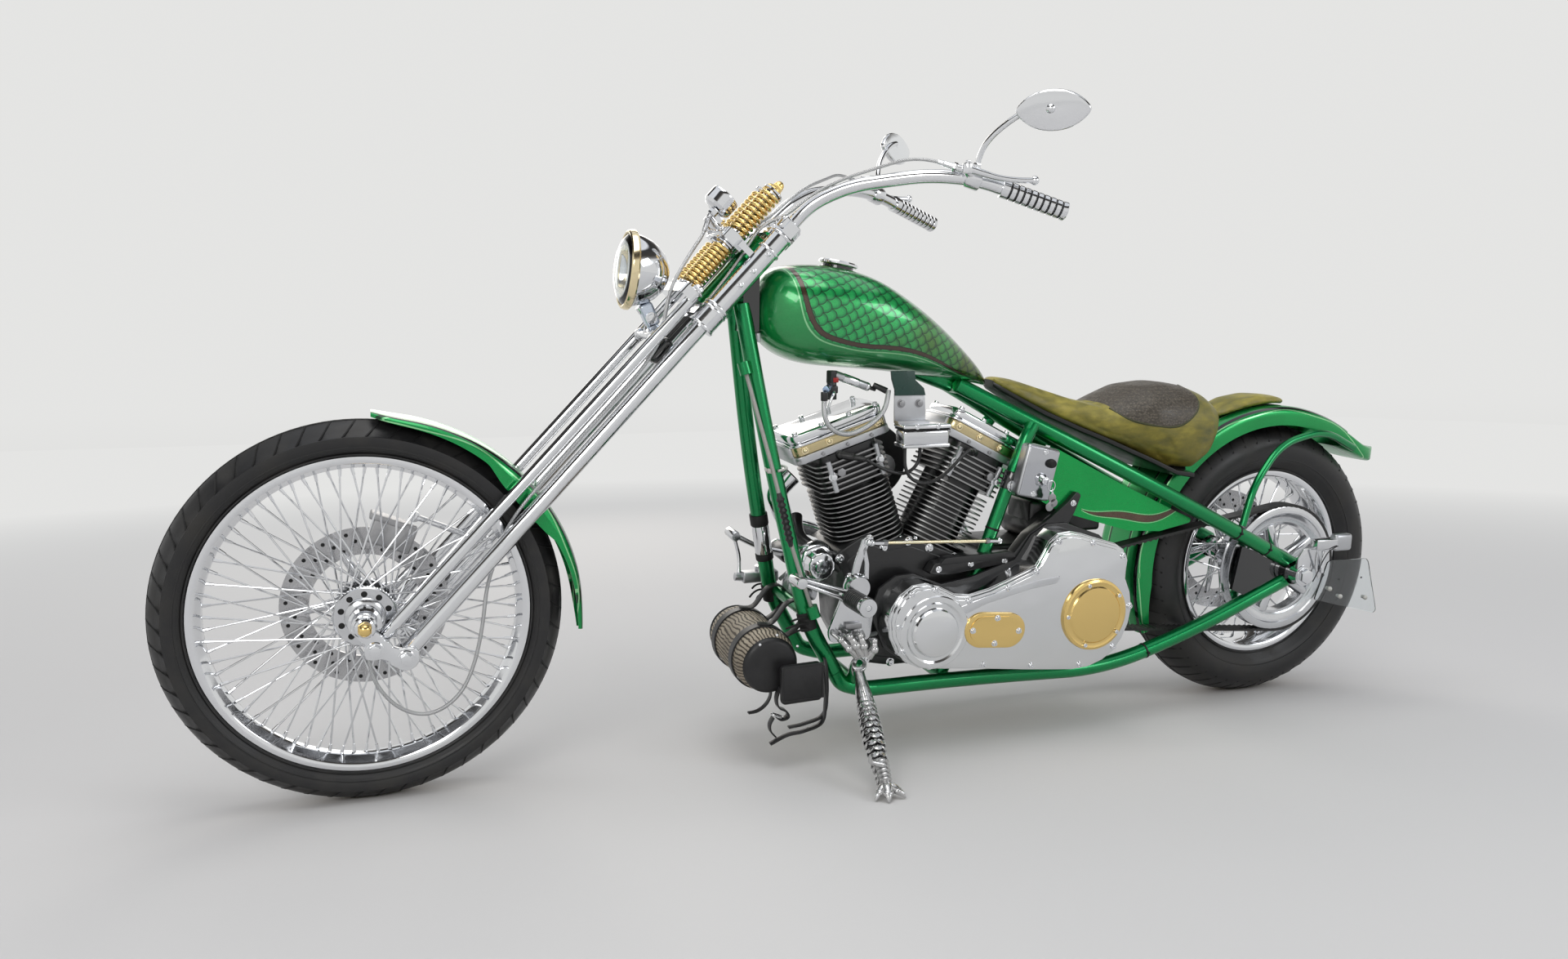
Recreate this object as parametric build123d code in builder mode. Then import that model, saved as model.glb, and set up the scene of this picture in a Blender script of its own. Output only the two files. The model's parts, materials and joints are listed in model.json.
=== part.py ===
from build123d import *
from math import atan2, cos, degrees, hypot, radians, sin, tan
import os

os.makedirs("parts", exist_ok=True)

# A long-fork chopper motorcycle. It is drawn upright in millimetres: x forward from
# the rear axle, y to the rider's left, z up from the ground. The last lines lean it.

# Driving sizes
WHEELBASE = 1955
LEAN = 5
RAKE = 43

FRONT_TYRE_R = 348
FRONT_TYRE_HALF = 46
FRONT_RIM_R = 285
FRONT_RIM_HALF = 33
REAR_TYRE_R = 320
REAR_TYRE_HALF = 69
REAR_RIM_R = 213
REAR_RIM_HALF = 48
RIM_DEPTH = 20
TYRE_SEAT = 0.3

TUBE_R = 16
NECK_TUBE_R = 27
REAR_RAIL_Y = 139
CRADLE_Y = 120
CRADLE_Z = 145
CRADLE_CLEAR = 3

LEG_Y = 70
LEG_R = 15
SLEEVE_R = LEG_R + 5
SPRING_LEG_R = 11
SPRING_LEG_AHEAD = 47
BAR_R = 12.7
GRIP_R = BAR_R + 4.3
GRIP_LENGTH = 126

CYLINDER_ANGLES = (18.5, -26.5)
CRANK_X = 930
CRANK_Z = 260
PRIMARY_IN_Y = 122
PRIMARY_OUT_Y = 188
BELT_IN_Y = 80
BELT_OUT_Y = 112
BELT_THICK = 7
REAR_PULLEY_R = 141
FRONT_PULLEY_R = 70
FRONT_PULLEY_X = 560
FRONT_PULLEY_Z = 300

FENDER_WALL = 3
FRONT_FENDER_R = FRONT_TYRE_R + 26
FRONT_FENDER_HALF = LEG_Y - LEG_R - 3
REAR_FENDER_R = REAR_TYRE_R + 45
REAR_FENDER_HALF = 77
REAR_FENDER_DEPTH = 42
FENDER_CLEAR = 3

STAND_REACH = (26, 206)
STAND_PIN_R = 6
DISC_R = 146
DISC_THICK = 5
AXLE_R = 10
REAR_AXLE_R = 12.5
PIN_CLEAR = 0.5

# The steering axis, with a point on it level with the tank
NECK_BEHIND_AXLE = 671
NECK_RISE = 587
NECK_LOW = -62
NECK_HIGH = 106
AXIS_UP = Vector(-sin(radians(RAKE)), 0, cos(radians(RAKE)))
AXIS_AHEAD = Vector(cos(radians(RAKE)), 0, sin(radians(RAKE)))
SIDEWAYS = Vector(0, 1, 0)
NECK_POINT = Vector(WHEELBASE - NECK_BEHIND_AXLE, 0, FRONT_TYRE_R + NECK_RISE)
REAR_AXLE = Vector(0, 0, REAR_TYRE_R)
FRONT_AXLE = Vector(WHEELBASE, 0, FRONT_TYRE_R)


def fork_point(ahead, up, side=0):
    """Return a point given from the steering axis: ahead of it, along it and sideways."""
    return NECK_POINT + AXIS_AHEAD * ahead + AXIS_UP * up + SIDEWAYS * side


def neck_point(x, y, z):
    """Return a point given from the neck by level and upright distances."""
    return (NECK_POINT.X + x, y, NECK_POINT.Z + z)


def rear_point(x, y, z):
    """Return a point given from the rear axle."""
    return (x, y, REAR_TYRE_R + z)


def between(first, last, share, x, y):
    """Return the point at a share of the way from first to last, moved by x and y."""
    return tuple(a + (b - a) * share + move for a, b, move in zip(first, last, (x, y, 0)))


def fork_plane(up):
    """Return a plane across the steering axis: x ahead, y sideways."""
    return Plane(origin=fork_point(0, up), x_dir=AXIS_AHEAD, z_dir=AXIS_UP)


def side_plane(y):
    """Return the upright plane at y, with x forward and its own y upwards."""
    return Plane.XZ.offset(-y)


def mirrored(points):
    """Return a route's points on the other side of the motorcycle."""
    return [(x, -y, z) for x, y, z in points]


def smooth_bends(points, share=0.45):
    """Return the arc at each corner of a route, as large as its two runs allow."""
    knots = [Vector(*p) for p in points]
    bends = []
    for before, here, after in zip(knots, knots[1:], knots[2:]):
        run = min((here - before).length, (after - here).length)
        turn = (here - before).get_angle(after - here)
        bends.append(share * run / tan(radians(turn) / 2))
    return bends


def add_tube(points, radius, mode=Mode.ADD):
    """Add, or cut, a round bar along straight runs joined by tangent arcs."""
    with BuildLine() as route:
        if len(points) == 2:
            Line(*points)
        else:
            FilletPolyline(*points, radius=smooth_bends(points))
    with BuildSketch(Plane(origin=route.line @ 0, z_dir=route.line % 0)) as section:
        Circle(radius)
    sweep(sections=section.sketch, path=route.line, mode=mode)


def add_rod(start, end, radius, mode=Mode.ADD):
    """Add, or cut, a straight round bar between two points."""
    start, end = Vector(*start), Vector(*end)
    with BuildSketch(Plane(origin=start, z_dir=end - start)) as section:
        Circle(radius)
    extrude(section.sketch, amount=(end - start).length, mode=mode)


def add_ring(centre, y_low, y_high, outer, inner=0, mode=Mode.ADD):
    """Add a ring or disc whose axis runs sideways."""
    with BuildSketch(Plane.XZ.offset(-y_high)) as section:
        with Locations((centre.X, centre.Z)):
            Circle(outer)
            if inner:
                Circle(inner, mode=Mode.SUBTRACT)
    extrude(section.sketch, amount=y_high - y_low, mode=mode)


def add_plate(points, y_low, y_high, mode=Mode.ADD):
    """Add a flat plate from its side outline, given as x and z."""
    with BuildSketch(Plane.XZ.offset(-y_high)) as section:
        with BuildLine():
            Polyline(*points, close=True)
        make_face()
    extrude(section.sketch, amount=y_high - y_low, mode=mode)


def add_block(low, high, mode=Mode.ADD):
    """Add a rectangular block from its two far corners."""
    low, high = Vector(*low), Vector(*high)
    size = high - low
    middle = (low + high) / 2
    with Locations(middle):
        Box(size.X, size.Y, size.Z, mode=mode)


# Side stand: its pivot pin on the cradle, and the way it points when down and when folded
STAND_PIVOT = Vector(1058, 152, 205)
FOOT_R = 15
FOOT_THICK = 8
ground_up = Vector(0, -sin(radians(LEAN)), cos(radians(LEAN)))
foot_y = STAND_PIVOT.Y + STAND_REACH[1]
tyre_drop = REAR_TYRE_HALF * (1 - cos(radians(LEAN)))
stand_foot = Vector(STAND_PIVOT.X + STAND_REACH[0], foot_y, foot_y * tan(radians(LEAN))) - ground_up * tyre_drop
stand_down = (stand_foot - STAND_PIVOT).normalized()
stand_folded = Vector(-0.88, 0.38, -0.28).normalized()
STAND_AXIS = stand_down.cross(stand_folded).normalized()
STAND_FOLD = stand_down.get_angle(stand_folded)

# Main frame: steering neck and backbone, downtubes, cradle, seat rails
BACKBONE_END = (800, 0, 742)
BACKBONE_R = 19
BACKBONE_START = fork_point(0, -20)
rail_route = [(800, 30, 742), (400, REAR_RAIL_Y - 7, 541), rear_point(-8, REAR_RAIL_Y, TUBE_R)]
post_route = [(650, 84, 662), (666, 88, 640), (711, 89, 524), (842, 89, 152)]
DOWNTUBE_TOP = neck_point(-22, 24, -35)
DOWNTUBE_FOOT = (1094, CRADLE_Y, 190)
BOSS_R = 27
POST_R = 14
BOSS_HALF = 14

with BuildPart() as frame_backbone:
    add_rod(fork_point(0, NECK_LOW), fork_point(0, NECK_HIGH), NECK_TUBE_R)
    add_rod(BACKBONE_START, BACKBONE_END, BACKBONE_R)
    add_rod(fork_point(0, NECK_LOW - 1), fork_point(0, NECK_HIGH + 1), LEG_R + 1, mode=Mode.SUBTRACT)

RAIL_SLOPE = (rail_route[1][2] - rail_route[2][2]) / (rail_route[1][0] - rail_route[2][0])
downtube_route = [DOWNTUBE_TOP, between(DOWNTUBE_TOP, DOWNTUBE_FOOT, 0.403, 22, 7),
                  between(DOWNTUBE_TOP, DOWNTUBE_FOOT, 0.856, 32, 6), DOWNTUBE_FOOT]
cradle_route = [(1093.7, CRADLE_Y, 189.5), (1079, CRADLE_Y + 1, 163), (1030, CRADLE_Y, CRADLE_Z + 1),
                (790, CRADLE_Y, CRADLE_Z),
                (470, CRADLE_Y + 6, 136), (250, BELT_OUT_Y + CRADLE_CLEAR + TUBE_R, 202),
                rear_point(8, REAR_RAIL_Y, -TUBE_R)]

# Clutch cable beside the left downtube, and the two guides that hold its ends
CABLE_R = 4
GUIDE_R = 12
GUIDE_LENGTH = 24
cable_route = [between(DOWNTUBE_TOP, DOWNTUBE_FOOT, share, x, y) for share, x, y in (
    (0.183, 31, 20), (0.338, 31, 30), (0.479, 30, 32), (0.648, 33, 32), (0.803, 23, 31))]

with BuildPart() as frame_downtubes:
    for route in (downtube_route, mirrored(downtube_route)):
        add_tube(route, TUBE_R)
    add_rod(fork_point(0, NECK_LOW - 2), fork_point(0, NECK_HIGH), NECK_TUBE_R + 0.2, mode=Mode.SUBTRACT)
    add_rod(BACKBONE_START, BACKBONE_END, BACKBONE_R + 0.2, mode=Mode.SUBTRACT)
    add_rod((1140, -100, 300), (1140, 100, 300), TUBE_R - 4)
    for end, inner in ((cable_route[0], cable_route[1]), (cable_route[-1], cable_route[-2])):
        outward = (Vector(*end) - Vector(*inner)).normalized()
        add_rod(end, Vector(*end) + outward * GUIDE_LENGTH, GUIDE_R)
    for route in (cradle_route, mirrored(cradle_route)):
        add_tube(route, TUBE_R + 0.2, mode=Mode.SUBTRACT)

# Cover that closes the space between the neck and the tank
COVER_HALF = 36
with BuildPart() as neck_cover:
    add_block(neck_point(-54, -COVER_HALF, -86), neck_point(-22, COVER_HALF, 26))
    add_rod(fork_point(0, NECK_LOW - 20), fork_point(0, NECK_HIGH), NECK_TUBE_R + 0.3, mode=Mode.SUBTRACT)
    add_rod(BACKBONE_START, BACKBONE_END, BACKBONE_R + 0.3, mode=Mode.SUBTRACT)
    for route in (downtube_route, mirrored(downtube_route)):
        add_tube(route, TUBE_R + 0.3, mode=Mode.SUBTRACT)

with BuildPart() as frame_cradle:
    for route in (cradle_route, mirrored(cradle_route)):
        add_tube(route, TUBE_R)
    for x, z in ((1030, 146), (842, 146), (470, 137)):
        add_rod((x, -CRADLE_Y, z), (x, CRADLE_Y, z), TUBE_R - 4)
    add_ring(REAR_AXLE, -200, 200, BOSS_R + 0.3, mode=Mode.SUBTRACT)
    add_rod(STAND_PIVOT - STAND_AXIS * 44, STAND_PIVOT + STAND_AXIS * 18, STAND_PIN_R)
    add_rod(STAND_PIVOT - STAND_AXIS * 44, STAND_PIVOT - STAND_AXIS * 15, 13)

with BuildPart() as frame_seat_rails:
    for route in (rail_route, mirrored(rail_route)):
        add_tube(route, TUBE_R)
    for route in (post_route, mirrored(post_route)):
        add_tube(route, POST_R)
    add_rod((792, -24, 738), (792, 24, 738), TUBE_R)
    for side in (1, -1):
        add_rod((842, side * 60, 146), (842, side * 120, 146), TUBE_R - 3.7, mode=Mode.SUBTRACT)
    add_rod(BACKBONE_START, BACKBONE_END, BACKBONE_R + 0.3, mode=Mode.SUBTRACT)
    add_ring(REAR_AXLE, -200, 200, BOSS_R + 0.3, mode=Mode.SUBTRACT)

# Black plates that close the frame's rear corners and carry the axle
gusset_side = [(8, 4), (128, -44), (160, -30), (142, 66), (110, 56)]
with BuildPart() as axle_plates:
    for low in (REAR_RAIL_Y - BOSS_HALF, -REAR_RAIL_Y - BOSS_HALF):
        add_ring(REAR_AXLE, low, low + 2 * BOSS_HALF, BOSS_R)
    for middle in (REAR_RAIL_Y, -REAR_RAIL_Y):
        add_plate([rear_point(x, 0, z)[::2] for x, z in gusset_side], middle - 4, middle + 4)
    for route in (rail_route, mirrored(rail_route), cradle_route, mirrored(cradle_route)):
        add_tube(route, TUBE_R + 0.3, mode=Mode.SUBTRACT)
    add_ring(REAR_AXLE, -200, 200, REAR_AXLE_R + 0.2, mode=Mode.SUBTRACT)

# Fuel tank: a teardrop over the backbone. Columns: share of its length, lift, half height, half width
TANK_TAIL = (718, 0, 734)
TANK_NOSE = neck_point(-55, 0, -45)
tank_sections = [
    (1.0, 0, 30, 34),
    (0.943, 9, 75, 80),
    (0.767, 26, 97, 112),
    (0.513, 48, 90, 118),
    (0.278, 35, 56, 88),
    (0.102, 18, 28, 54),
    (0.0, 0, 12, 24),
]
TANK_TUNNEL_HALF = 24
TANK_CLEAR = 2
CAP_SHARE = 0.665
CAP_R = 38

def tank_form(wall):
    """Return the tank's rounded form, drawn in by a wall's thickness."""
    sections = []
    for share, lift, half_height, half_width in tank_sections:
        x, y, z = between(TANK_TAIL, TANK_NOSE, share, 0, 0)
        inset = wall if 0 < share < 1 else 2 * wall
        middle = (x + (0.5 - share) * 4 * wall, y, z + lift)
        with BuildSketch(Plane(origin=middle, x_dir=(0, 1, 0), z_dir=(1, 0, 0))) as section:
            Ellipse(half_width - inset, half_height - inset)
        sections.append(section.sketch.face())
    with BuildPart() as form:
        loft(sections, ruled=True)
    return form.part


TANK_WALL = 2
TUNNEL_CLEAR = 5


def backbone_top(x):
    """Return the height of the backbone's upper side at a distance along the motorcycle."""
    rise = (BACKBONE_START.Z - BACKBONE_END[2]) / (BACKBONE_START.X - BACKBONE_END[0])
    return BACKBONE_END[2] + (x - BACKBONE_END[0]) * rise + BACKBONE_R * hypot(1, rise)


tunnel_side = [neck_point(-44, 0, -235)[::2],
               (NECK_POINT.X - 44, backbone_top(NECK_POINT.X - 44) + TUNNEL_CLEAR),
               (800, backbone_top(800) + TUNNEL_CLEAR), (690, 730), (690, 700)]
with BuildPart() as tank_cavity:
    add(tank_form(TANK_WALL))
    add_plate([(x, z + 2 * TANK_WALL) for x, z in tunnel_side], -TANK_TUNNEL_HALF - TANK_WALL,
              TANK_TUNNEL_HALF + TANK_WALL, mode=Mode.SUBTRACT)
    add_block((600, -200, 500), (860, 200, 900), mode=Mode.SUBTRACT)

# Fuel tap under the tank, and the two nozzles that its hose joins
HOSE_R = 5
NOZZLE_R = 7.5
hose_route = [(1117, 94, 726), (1119, 97, 702), (1113, 99, 678), (1095, 100, 661), (1069, 100, 655),
              (1042, 100, 663), (1016, 98, 677), (994, 92, 694), (981, 84, 715), (977, 80, 738)]
TAP = Vector(1089, 60, 718)

with BuildPart() as fuel_tank:
    add(tank_form(0))
    add_rod(TAP, TAP + Vector(0, 0, 100), 11)
    add_rod(TAP + Vector(0, 0, 28), (hose_route[0][0], hose_route[0][1], TAP.Z + 28), 7)
    add_rod(hose_route[0], Vector(*hose_route[0]) + Vector(0, 0, 30), NOZZLE_R)
    add_rod(hose_route[-1], Vector(*hose_route[-1]) + Vector(0, 0, 76), NOZZLE_R)
    add_rod(TAP + Vector(-6, 0, 50), TAP + Vector(-74, 0, 26), 9)
    add_plate(tunnel_side, -TANK_TUNNEL_HALF, TANK_TUNNEL_HALF, mode=Mode.SUBTRACT)
    for side in (1, -1):
        add_rod((802, side * 29, 744), (640, side * 71, 661), TUBE_R + TANK_CLEAR, mode=Mode.SUBTRACT)
    add_rod((792, -34, 738), (792, 34, 738), TUBE_R + TANK_CLEAR, mode=Mode.SUBTRACT)
    add(tank_cavity.part, mode=Mode.SUBTRACT)

cap_x, cap_y, cap_z = between(TANK_TAIL, TANK_NOSE, CAP_SHARE, 0, 0)
cap_z += 137
with BuildPart() as fuel_cap:
    with BuildSketch(Plane(origin=(cap_x, 0, cap_z), z_dir=(-0.08, 0, 1))) as section:
        Circle(CAP_R)
    extrude(section.sketch, amount=13)
    chamfer(fuel_cap.edges().sort_by(Axis.Z)[-1], 2)

# Seat and pillion pad, as plain closed shapes of their true outline
seat_side = [(714, 757), (604, 726), (463, 690), (423, 712), (367, 733), (309, 741), (258, 737),
             (198, 711), (180, 667), (190, 605), (246, 532), (283, 530), (412, 590), (599, 668), (714, 730)]
seat_plan = [(716, 44), (560, 62), (440, 112), (340, 134), (240, 132), (176, 95)]

with BuildPart() as seat:
    add_plate(seat_side, -140, 140)
    with BuildSketch(Plane.XY.offset(500)) as section:
        with BuildLine():
            Polyline(*seat_plan, *[(x, -y) for x, y in reversed(seat_plan)], close=True)
        make_face()
    extrude(section.sketch, amount=300, mode=Mode.INTERSECT)
    add_ring(REAR_AXLE, -REAR_FENDER_HALF - FENDER_CLEAR, REAR_FENDER_HALF + FENDER_CLEAR,
             REAR_FENDER_R + FENDER_CLEAR, mode=Mode.SUBTRACT)

PAD_START = 66
PAD_SWEEP = 32
with BuildPart() as pillion_pad:
    with BuildSketch(Plane.XY) as section:
        with BuildLine():
            Polyline((REAR_FENDER_R + 1, -58), (REAR_FENDER_R + 25, -45), (REAR_FENDER_R + 25, 45),
                     (REAR_FENDER_R + 1, 58), close=True)
        make_face()
    revolve(section.sketch, axis=Axis((0, 0, 0), (0, -1, 0)), revolution_arc=PAD_SWEEP)
pillion_pad.part = pillion_pad.part.rotate(Axis.Y, -PAD_START).translate(REAR_AXLE)


def fender_shell(outer_r, half, depth, wall, start, sweep_angle):
    """Return a channel-shaped mudguard arc about the origin, starting at an angle above +x."""
    with BuildPart() as shell:
        with BuildSketch(Plane.XY):
            with BuildLine():
                Polyline((outer_r - depth, -half), (outer_r - 12, -half), (outer_r, -half + 14),
                         (outer_r, half - 14), (outer_r - 12, half), (outer_r - depth, half),
                         (outer_r - depth, half - wall), (outer_r - 13, half - wall),
                         (outer_r - wall, half - 15), (outer_r - wall, -half + 15),
                         (outer_r - 13, -half + wall), (outer_r - depth, -half + wall), close=True)
            make_face()
        revolve(axis=Axis((0, 0, 0), (0, -1, 0)), revolution_arc=sweep_angle)
    return shell.part.rotate(Axis.Y, -start)


# Rear mudguard, its flipped tail and its two stay tubes
REAR_FENDER_START = -22
REAR_FENDER_SWEEP = 146
tail_angle = radians(REAR_FENDER_START + REAR_FENDER_SWEEP)
rear_shell = fender_shell(REAR_FENDER_R, REAR_FENDER_HALF, REAR_FENDER_DEPTH, FENDER_WALL,
                          REAR_FENDER_START, REAR_FENDER_SWEEP).translate(REAR_AXLE)
with BuildPart() as rear_fender:
    add(rear_shell)
    tail_x = REAR_FENDER_R * cos(tail_angle)
    tail_z = REAR_TYRE_R + REAR_FENDER_R * sin(tail_angle)
    add_plate([(tail_x + 1, tail_z), (tail_x - 60, tail_z - 32), (tail_x - 108, tail_z - 42),
               (tail_x - 90, tail_z - 76), (tail_x - 52, tail_z - 66), (tail_x + 20, tail_z - 36)],
              -REAR_FENDER_HALF + 8, REAR_FENDER_HALF - 8)
    add_plate([(tail_x + 22, tail_z - 4), (tail_x - 60, tail_z - 37), (tail_x - 110, tail_z - 48),
               (tail_x - 96, tail_z - 80), (tail_x + 40, tail_z - 60)],
              -REAR_FENDER_HALF + 11, REAR_FENDER_HALF - 11, mode=Mode.SUBTRACT)

STAY_R = 8
STAY_CLEAR = 3
stay_foot_z = rail_route[2][2] + (140 - rail_route[2][0]) * RAIL_SLOPE + TUBE_R * 1.12 + STAY_CLEAR
stay_route = [(140, REAR_RAIL_Y - 3, stay_foot_z), rear_point(112, 130, 200), rear_point(32, 112, 286),
              rear_point(-100, 100, 312), rear_point(-205, 86, 266)]
with BuildPart() as fender_stays:
    for route in (stay_route, mirrored(stay_route)):
        add_tube(route, STAY_R)

with BuildPart() as fuel_hose:
    add_tube(hose_route, HOSE_R)

# Oil tank: a horseshoe under the seat rails, open round the rear wheel
oil_side = [(630, 612), (600, 612), (438, 532), (303, 470), (240, 442), (334, 424), (415, 430),
            (586, 480), (634, 505)]
OIL_TANK_HALF = 104
with BuildPart() as oil_tank:
    add_plate(oil_side, -OIL_TANK_HALF, OIL_TANK_HALF)
    fillet(oil_tank.edges().filter_by(Axis.Y), 6)
    add_ring(REAR_AXLE, -REAR_FENDER_HALF - 8, REAR_FENDER_HALF + 8, REAR_FENDER_R + 10, mode=Mode.SUBTRACT)

with BuildPart() as ignition_box:
    with BuildSketch(Plane(origin=(665, 108, 571), x_dir=(0.97, 0, 0.22), z_dir=(0, 1, 0))) as section:
        RectangleRounded(78, 108, 10)
    extrude(section.sketch, amount=34)

# Engine: crankcase, two finned cylinders in a V, rocker boxes
ENGINE_HALF = 86
INNER_PRIMARY_Y = 114
DECK = 150
BARREL_HALF = 80
HEAD_TOP = 386
ROCKER_TOP = 446
V_GAP = 3
V_MIDDLE = sum(CYLINDER_ANGLES) / 2
case_side = [(1064, 372), (1020, 430), (770, 430), (792, 380), (848, 200), (864, 178), (1010, 180), (1064, 240)]

with BuildPart() as crankcase:
    add_plate(case_side, -ENGINE_HALF, INNER_PRIMARY_Y - 0.3)
    fillet(crankcase.edges().filter_by(Axis.Y), 10)
    add_ring(Vector(CRANK_X, 0, CRANK_Z + 10), -132, -ENGINE_HALF, 96)
    for lean_angle in CYLINDER_ANGLES:
        tilt = Vector(sin(radians(lean_angle)), 0, cos(radians(lean_angle)))
        add_rod(Vector(CRANK_X, 0, CRANK_Z) + tilt * (DECK - 1), Vector(CRANK_X, 0, CRANK_Z) + tilt * 420,
                BARREL_HALF + 30, mode=Mode.SUBTRACT)


def cylinder_plane(lean_angle, up):
    """Return the plane across a cylinder's bore at a distance from the crankshaft."""
    tilt = Vector(sin(radians(lean_angle)), 0, cos(radians(lean_angle)))
    across = Vector(cos(radians(lean_angle)), 0, -sin(radians(lean_angle)))
    return Plane(origin=Vector(CRANK_X, 0, CRANK_Z) + tilt * up, x_dir=across, z_dir=tilt)


def cylinder_block(lean_angle):
    """Return one cylinder and head as a plain block, cut at the middle of the V."""
    with BuildPart() as block:
        with BuildSketch(cylinder_plane(lean_angle, DECK)):
            RectangleRounded(2 * BARREL_HALF, 2 * BARREL_HALF - 8, 24)
        extrude(amount=HEAD_TOP - DECK)
        side = 1 if lean_angle > 0 else -1
        with BuildSketch(cylinder_plane(V_MIDDLE, 0)) as keep:
            with Locations((side * (V_GAP + 200), 0)):
                Rectangle(400, 400)
        extrude(keep.sketch, amount=600, mode=Mode.INTERSECT)
    return block.part


def rocker_box(lean_angle):
    """Return one rocker cover: a chamfered box across the top of a cylinder."""
    side = 1 if lean_angle > 0 else -1
    with BuildPart() as cover:
        with BuildSketch(cylinder_plane(lean_angle, HEAD_TOP + 0.3)):
            with Locations((side * 8, 0)):
                RectangleRounded(208, 138, 14)
        extrude(amount=ROCKER_TOP - HEAD_TOP - 0.3)
        top = cover.faces().sort_by(Axis(tuple(cover.part.center()), tuple(cylinder_plane(lean_angle, 0).z_dir)))[-1]
        chamfer(top.edges(), 12)
    return cover.part


# Plug wires, from a boot on each cylinder head to the coil above them
WIRE_R = 3.5
BOOT_R = 8
front_wire = [(1030, 101, 606), (1006, 104, 592), (978, 104, 580), (950, 103, 574), (926, 102, 584),
              (914, 102, 606), (916, 103, 628)]
rear_wire = [(806, 101, 616), (826, 109, 606), (846, 113, 588), (868, 115, 570), (893, 116, 558),
             (920, 116, 556), (941, 115, 568), (951, 112, 588), (951, 108, 608), (950, 106, 628)]
boot_feet = [(1072, 70, 612), (778, 70, 606)]

with BuildPart() as cylinders:
    for lean_angle in CYLINDER_ANGLES:
        add(cylinder_block(lean_angle))
    for foot, wire in zip(boot_feet, (front_wire, rear_wire)):
        add_rod(foot, wire[0], BOOT_R)
with BuildPart() as front_plug_wire:
    add_tube(front_wire, WIRE_R)
with BuildPart() as rear_plug_wire:
    add_tube(rear_wire, WIRE_R)
with BuildPart() as rocker_boxes:
    for lean_angle in CYLINDER_ANGLES:
        add(rocker_box(lean_angle))

# Primary drive: black inner case, polished outer cover, brass covers
PRIMARY_LOW = CRADLE_Z + TUBE_R + CRADLE_CLEAR
PRIMARY_NOSE_R = 98
PRIMARY_NOSE = Vector(908, 0, PRIMARY_LOW + 6 + PRIMARY_NOSE_R)
primary_side = [(908, 366), (867, 352), (699, 388), (641, 456), (585, 454), (474, 424), (452, 330),
                (450, 268), (490, 190), (560, PRIMARY_LOW), (660, PRIMARY_LOW + 2), (900, PRIMARY_LOW + 7)]
DERBY = Vector(549, 0, 280)
DERBY_R = 75

with BuildPart() as primary_cover:
    add_plate(primary_side, PRIMARY_IN_Y, PRIMARY_OUT_Y)
    add_ring(PRIMARY_NOSE, PRIMARY_IN_Y, PRIMARY_OUT_Y, PRIMARY_NOSE_R)
    chamfer(primary_cover.faces().sort_by(Axis.Y)[-1].edges(), 7)
    add_ring(Vector(912, 0, 273), PRIMARY_OUT_Y - 2, PRIMARY_OUT_Y + 14, 48)

with BuildPart() as brass_covers:
    add_ring(DERBY, PRIMARY_OUT_Y + 0.2, PRIMARY_OUT_Y + 7, DERBY_R)
    with BuildSketch(side_plane(PRIMARY_OUT_Y + 6)) as section:
        with Locations(Location((780, 267), 5)):
            SlotOverall(136, 74)
    extrude(section.sketch, amount=5.8)

inner_side = [(1000, 372), (893, 376), (701, 410), (634, 475), (570, 528), (540, 520), (560, 440),
              (500, 420), (490, 210), (600, 178), (930, 180), (1005, 240)]
with BuildPart() as gearbox:
    add_block((500, -88, 190), (737, 68, 400))
    fillet(gearbox.edges().filter_by(Axis.Y), 14)
    add_plate(inner_side, INNER_PRIMARY_Y, PRIMARY_IN_Y - 0.3)
    add_ring(Vector(600, 0, 442), -60, INNER_PRIMARY_Y + 1, 38)
    add_ring(Vector(FRONT_PULLEY_X, 0, FRONT_PULLEY_Z), 66, BELT_IN_Y - 2, 40)

# Final drive: one toothed belt loop round both pulleys
belt_dx = FRONT_PULLEY_X
belt_dz = FRONT_PULLEY_Z - REAR_TYRE_R
belt_span = hypot(belt_dx, belt_dz)
belt_tilt = atan2(belt_dz, belt_dx)
BELT_CLEAR = 0.6
with BuildPart() as drive_belt:
    outlines = []
    for grow in (BELT_CLEAR + BELT_THICK, BELT_CLEAR):
        rear_r, front_r = REAR_PULLEY_R + grow, FRONT_PULLEY_R + grow
        slope = degrees(atan2(rear_r - front_r, (belt_span**2 - (rear_r - front_r) ** 2) ** 0.5))
        with BuildSketch(side_plane(BELT_OUT_Y)) as outline:
            with Locations((0, REAR_TYRE_R)):
                Circle(rear_r)
            with Locations((FRONT_PULLEY_X, FRONT_PULLEY_Z)):
                Circle(front_r)
            with BuildLine():
                corners = []
                for centre, radius in (((0, REAR_TYRE_R), rear_r), ((FRONT_PULLEY_X, FRONT_PULLEY_Z), front_r)):
                    for turn in (90 - slope, -90 + slope):
                        angle = belt_tilt + radians(turn)
                        corners.append((centre[0] + radius * cos(angle), centre[1] + radius * sin(angle)))
                Polyline(corners[0], corners[2], corners[3], corners[1], close=True)
            make_face()
        outlines.append(outline.sketch)
    extrude(outlines[0], amount=BELT_OUT_Y - BELT_IN_Y)
    extrude(outlines[1], amount=BELT_OUT_Y - BELT_IN_Y, mode=Mode.SUBTRACT)

# Right side of the engine: intake with round air cleaner, two exhaust pipes
INTAKE_X = 908
with BuildPart() as air_cleaner:
    add_rod((INTAKE_X, -76.3, 560), (INTAKE_X, -150, 560), 26)
    add_rod((INTAKE_X, -146, 560), (INTAKE_X, -196, 560), 88)
    chamfer(air_cleaner.edges().filter_by(GeomType.CIRCLE).sort_by(Axis.Y)[0], 8)

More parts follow.
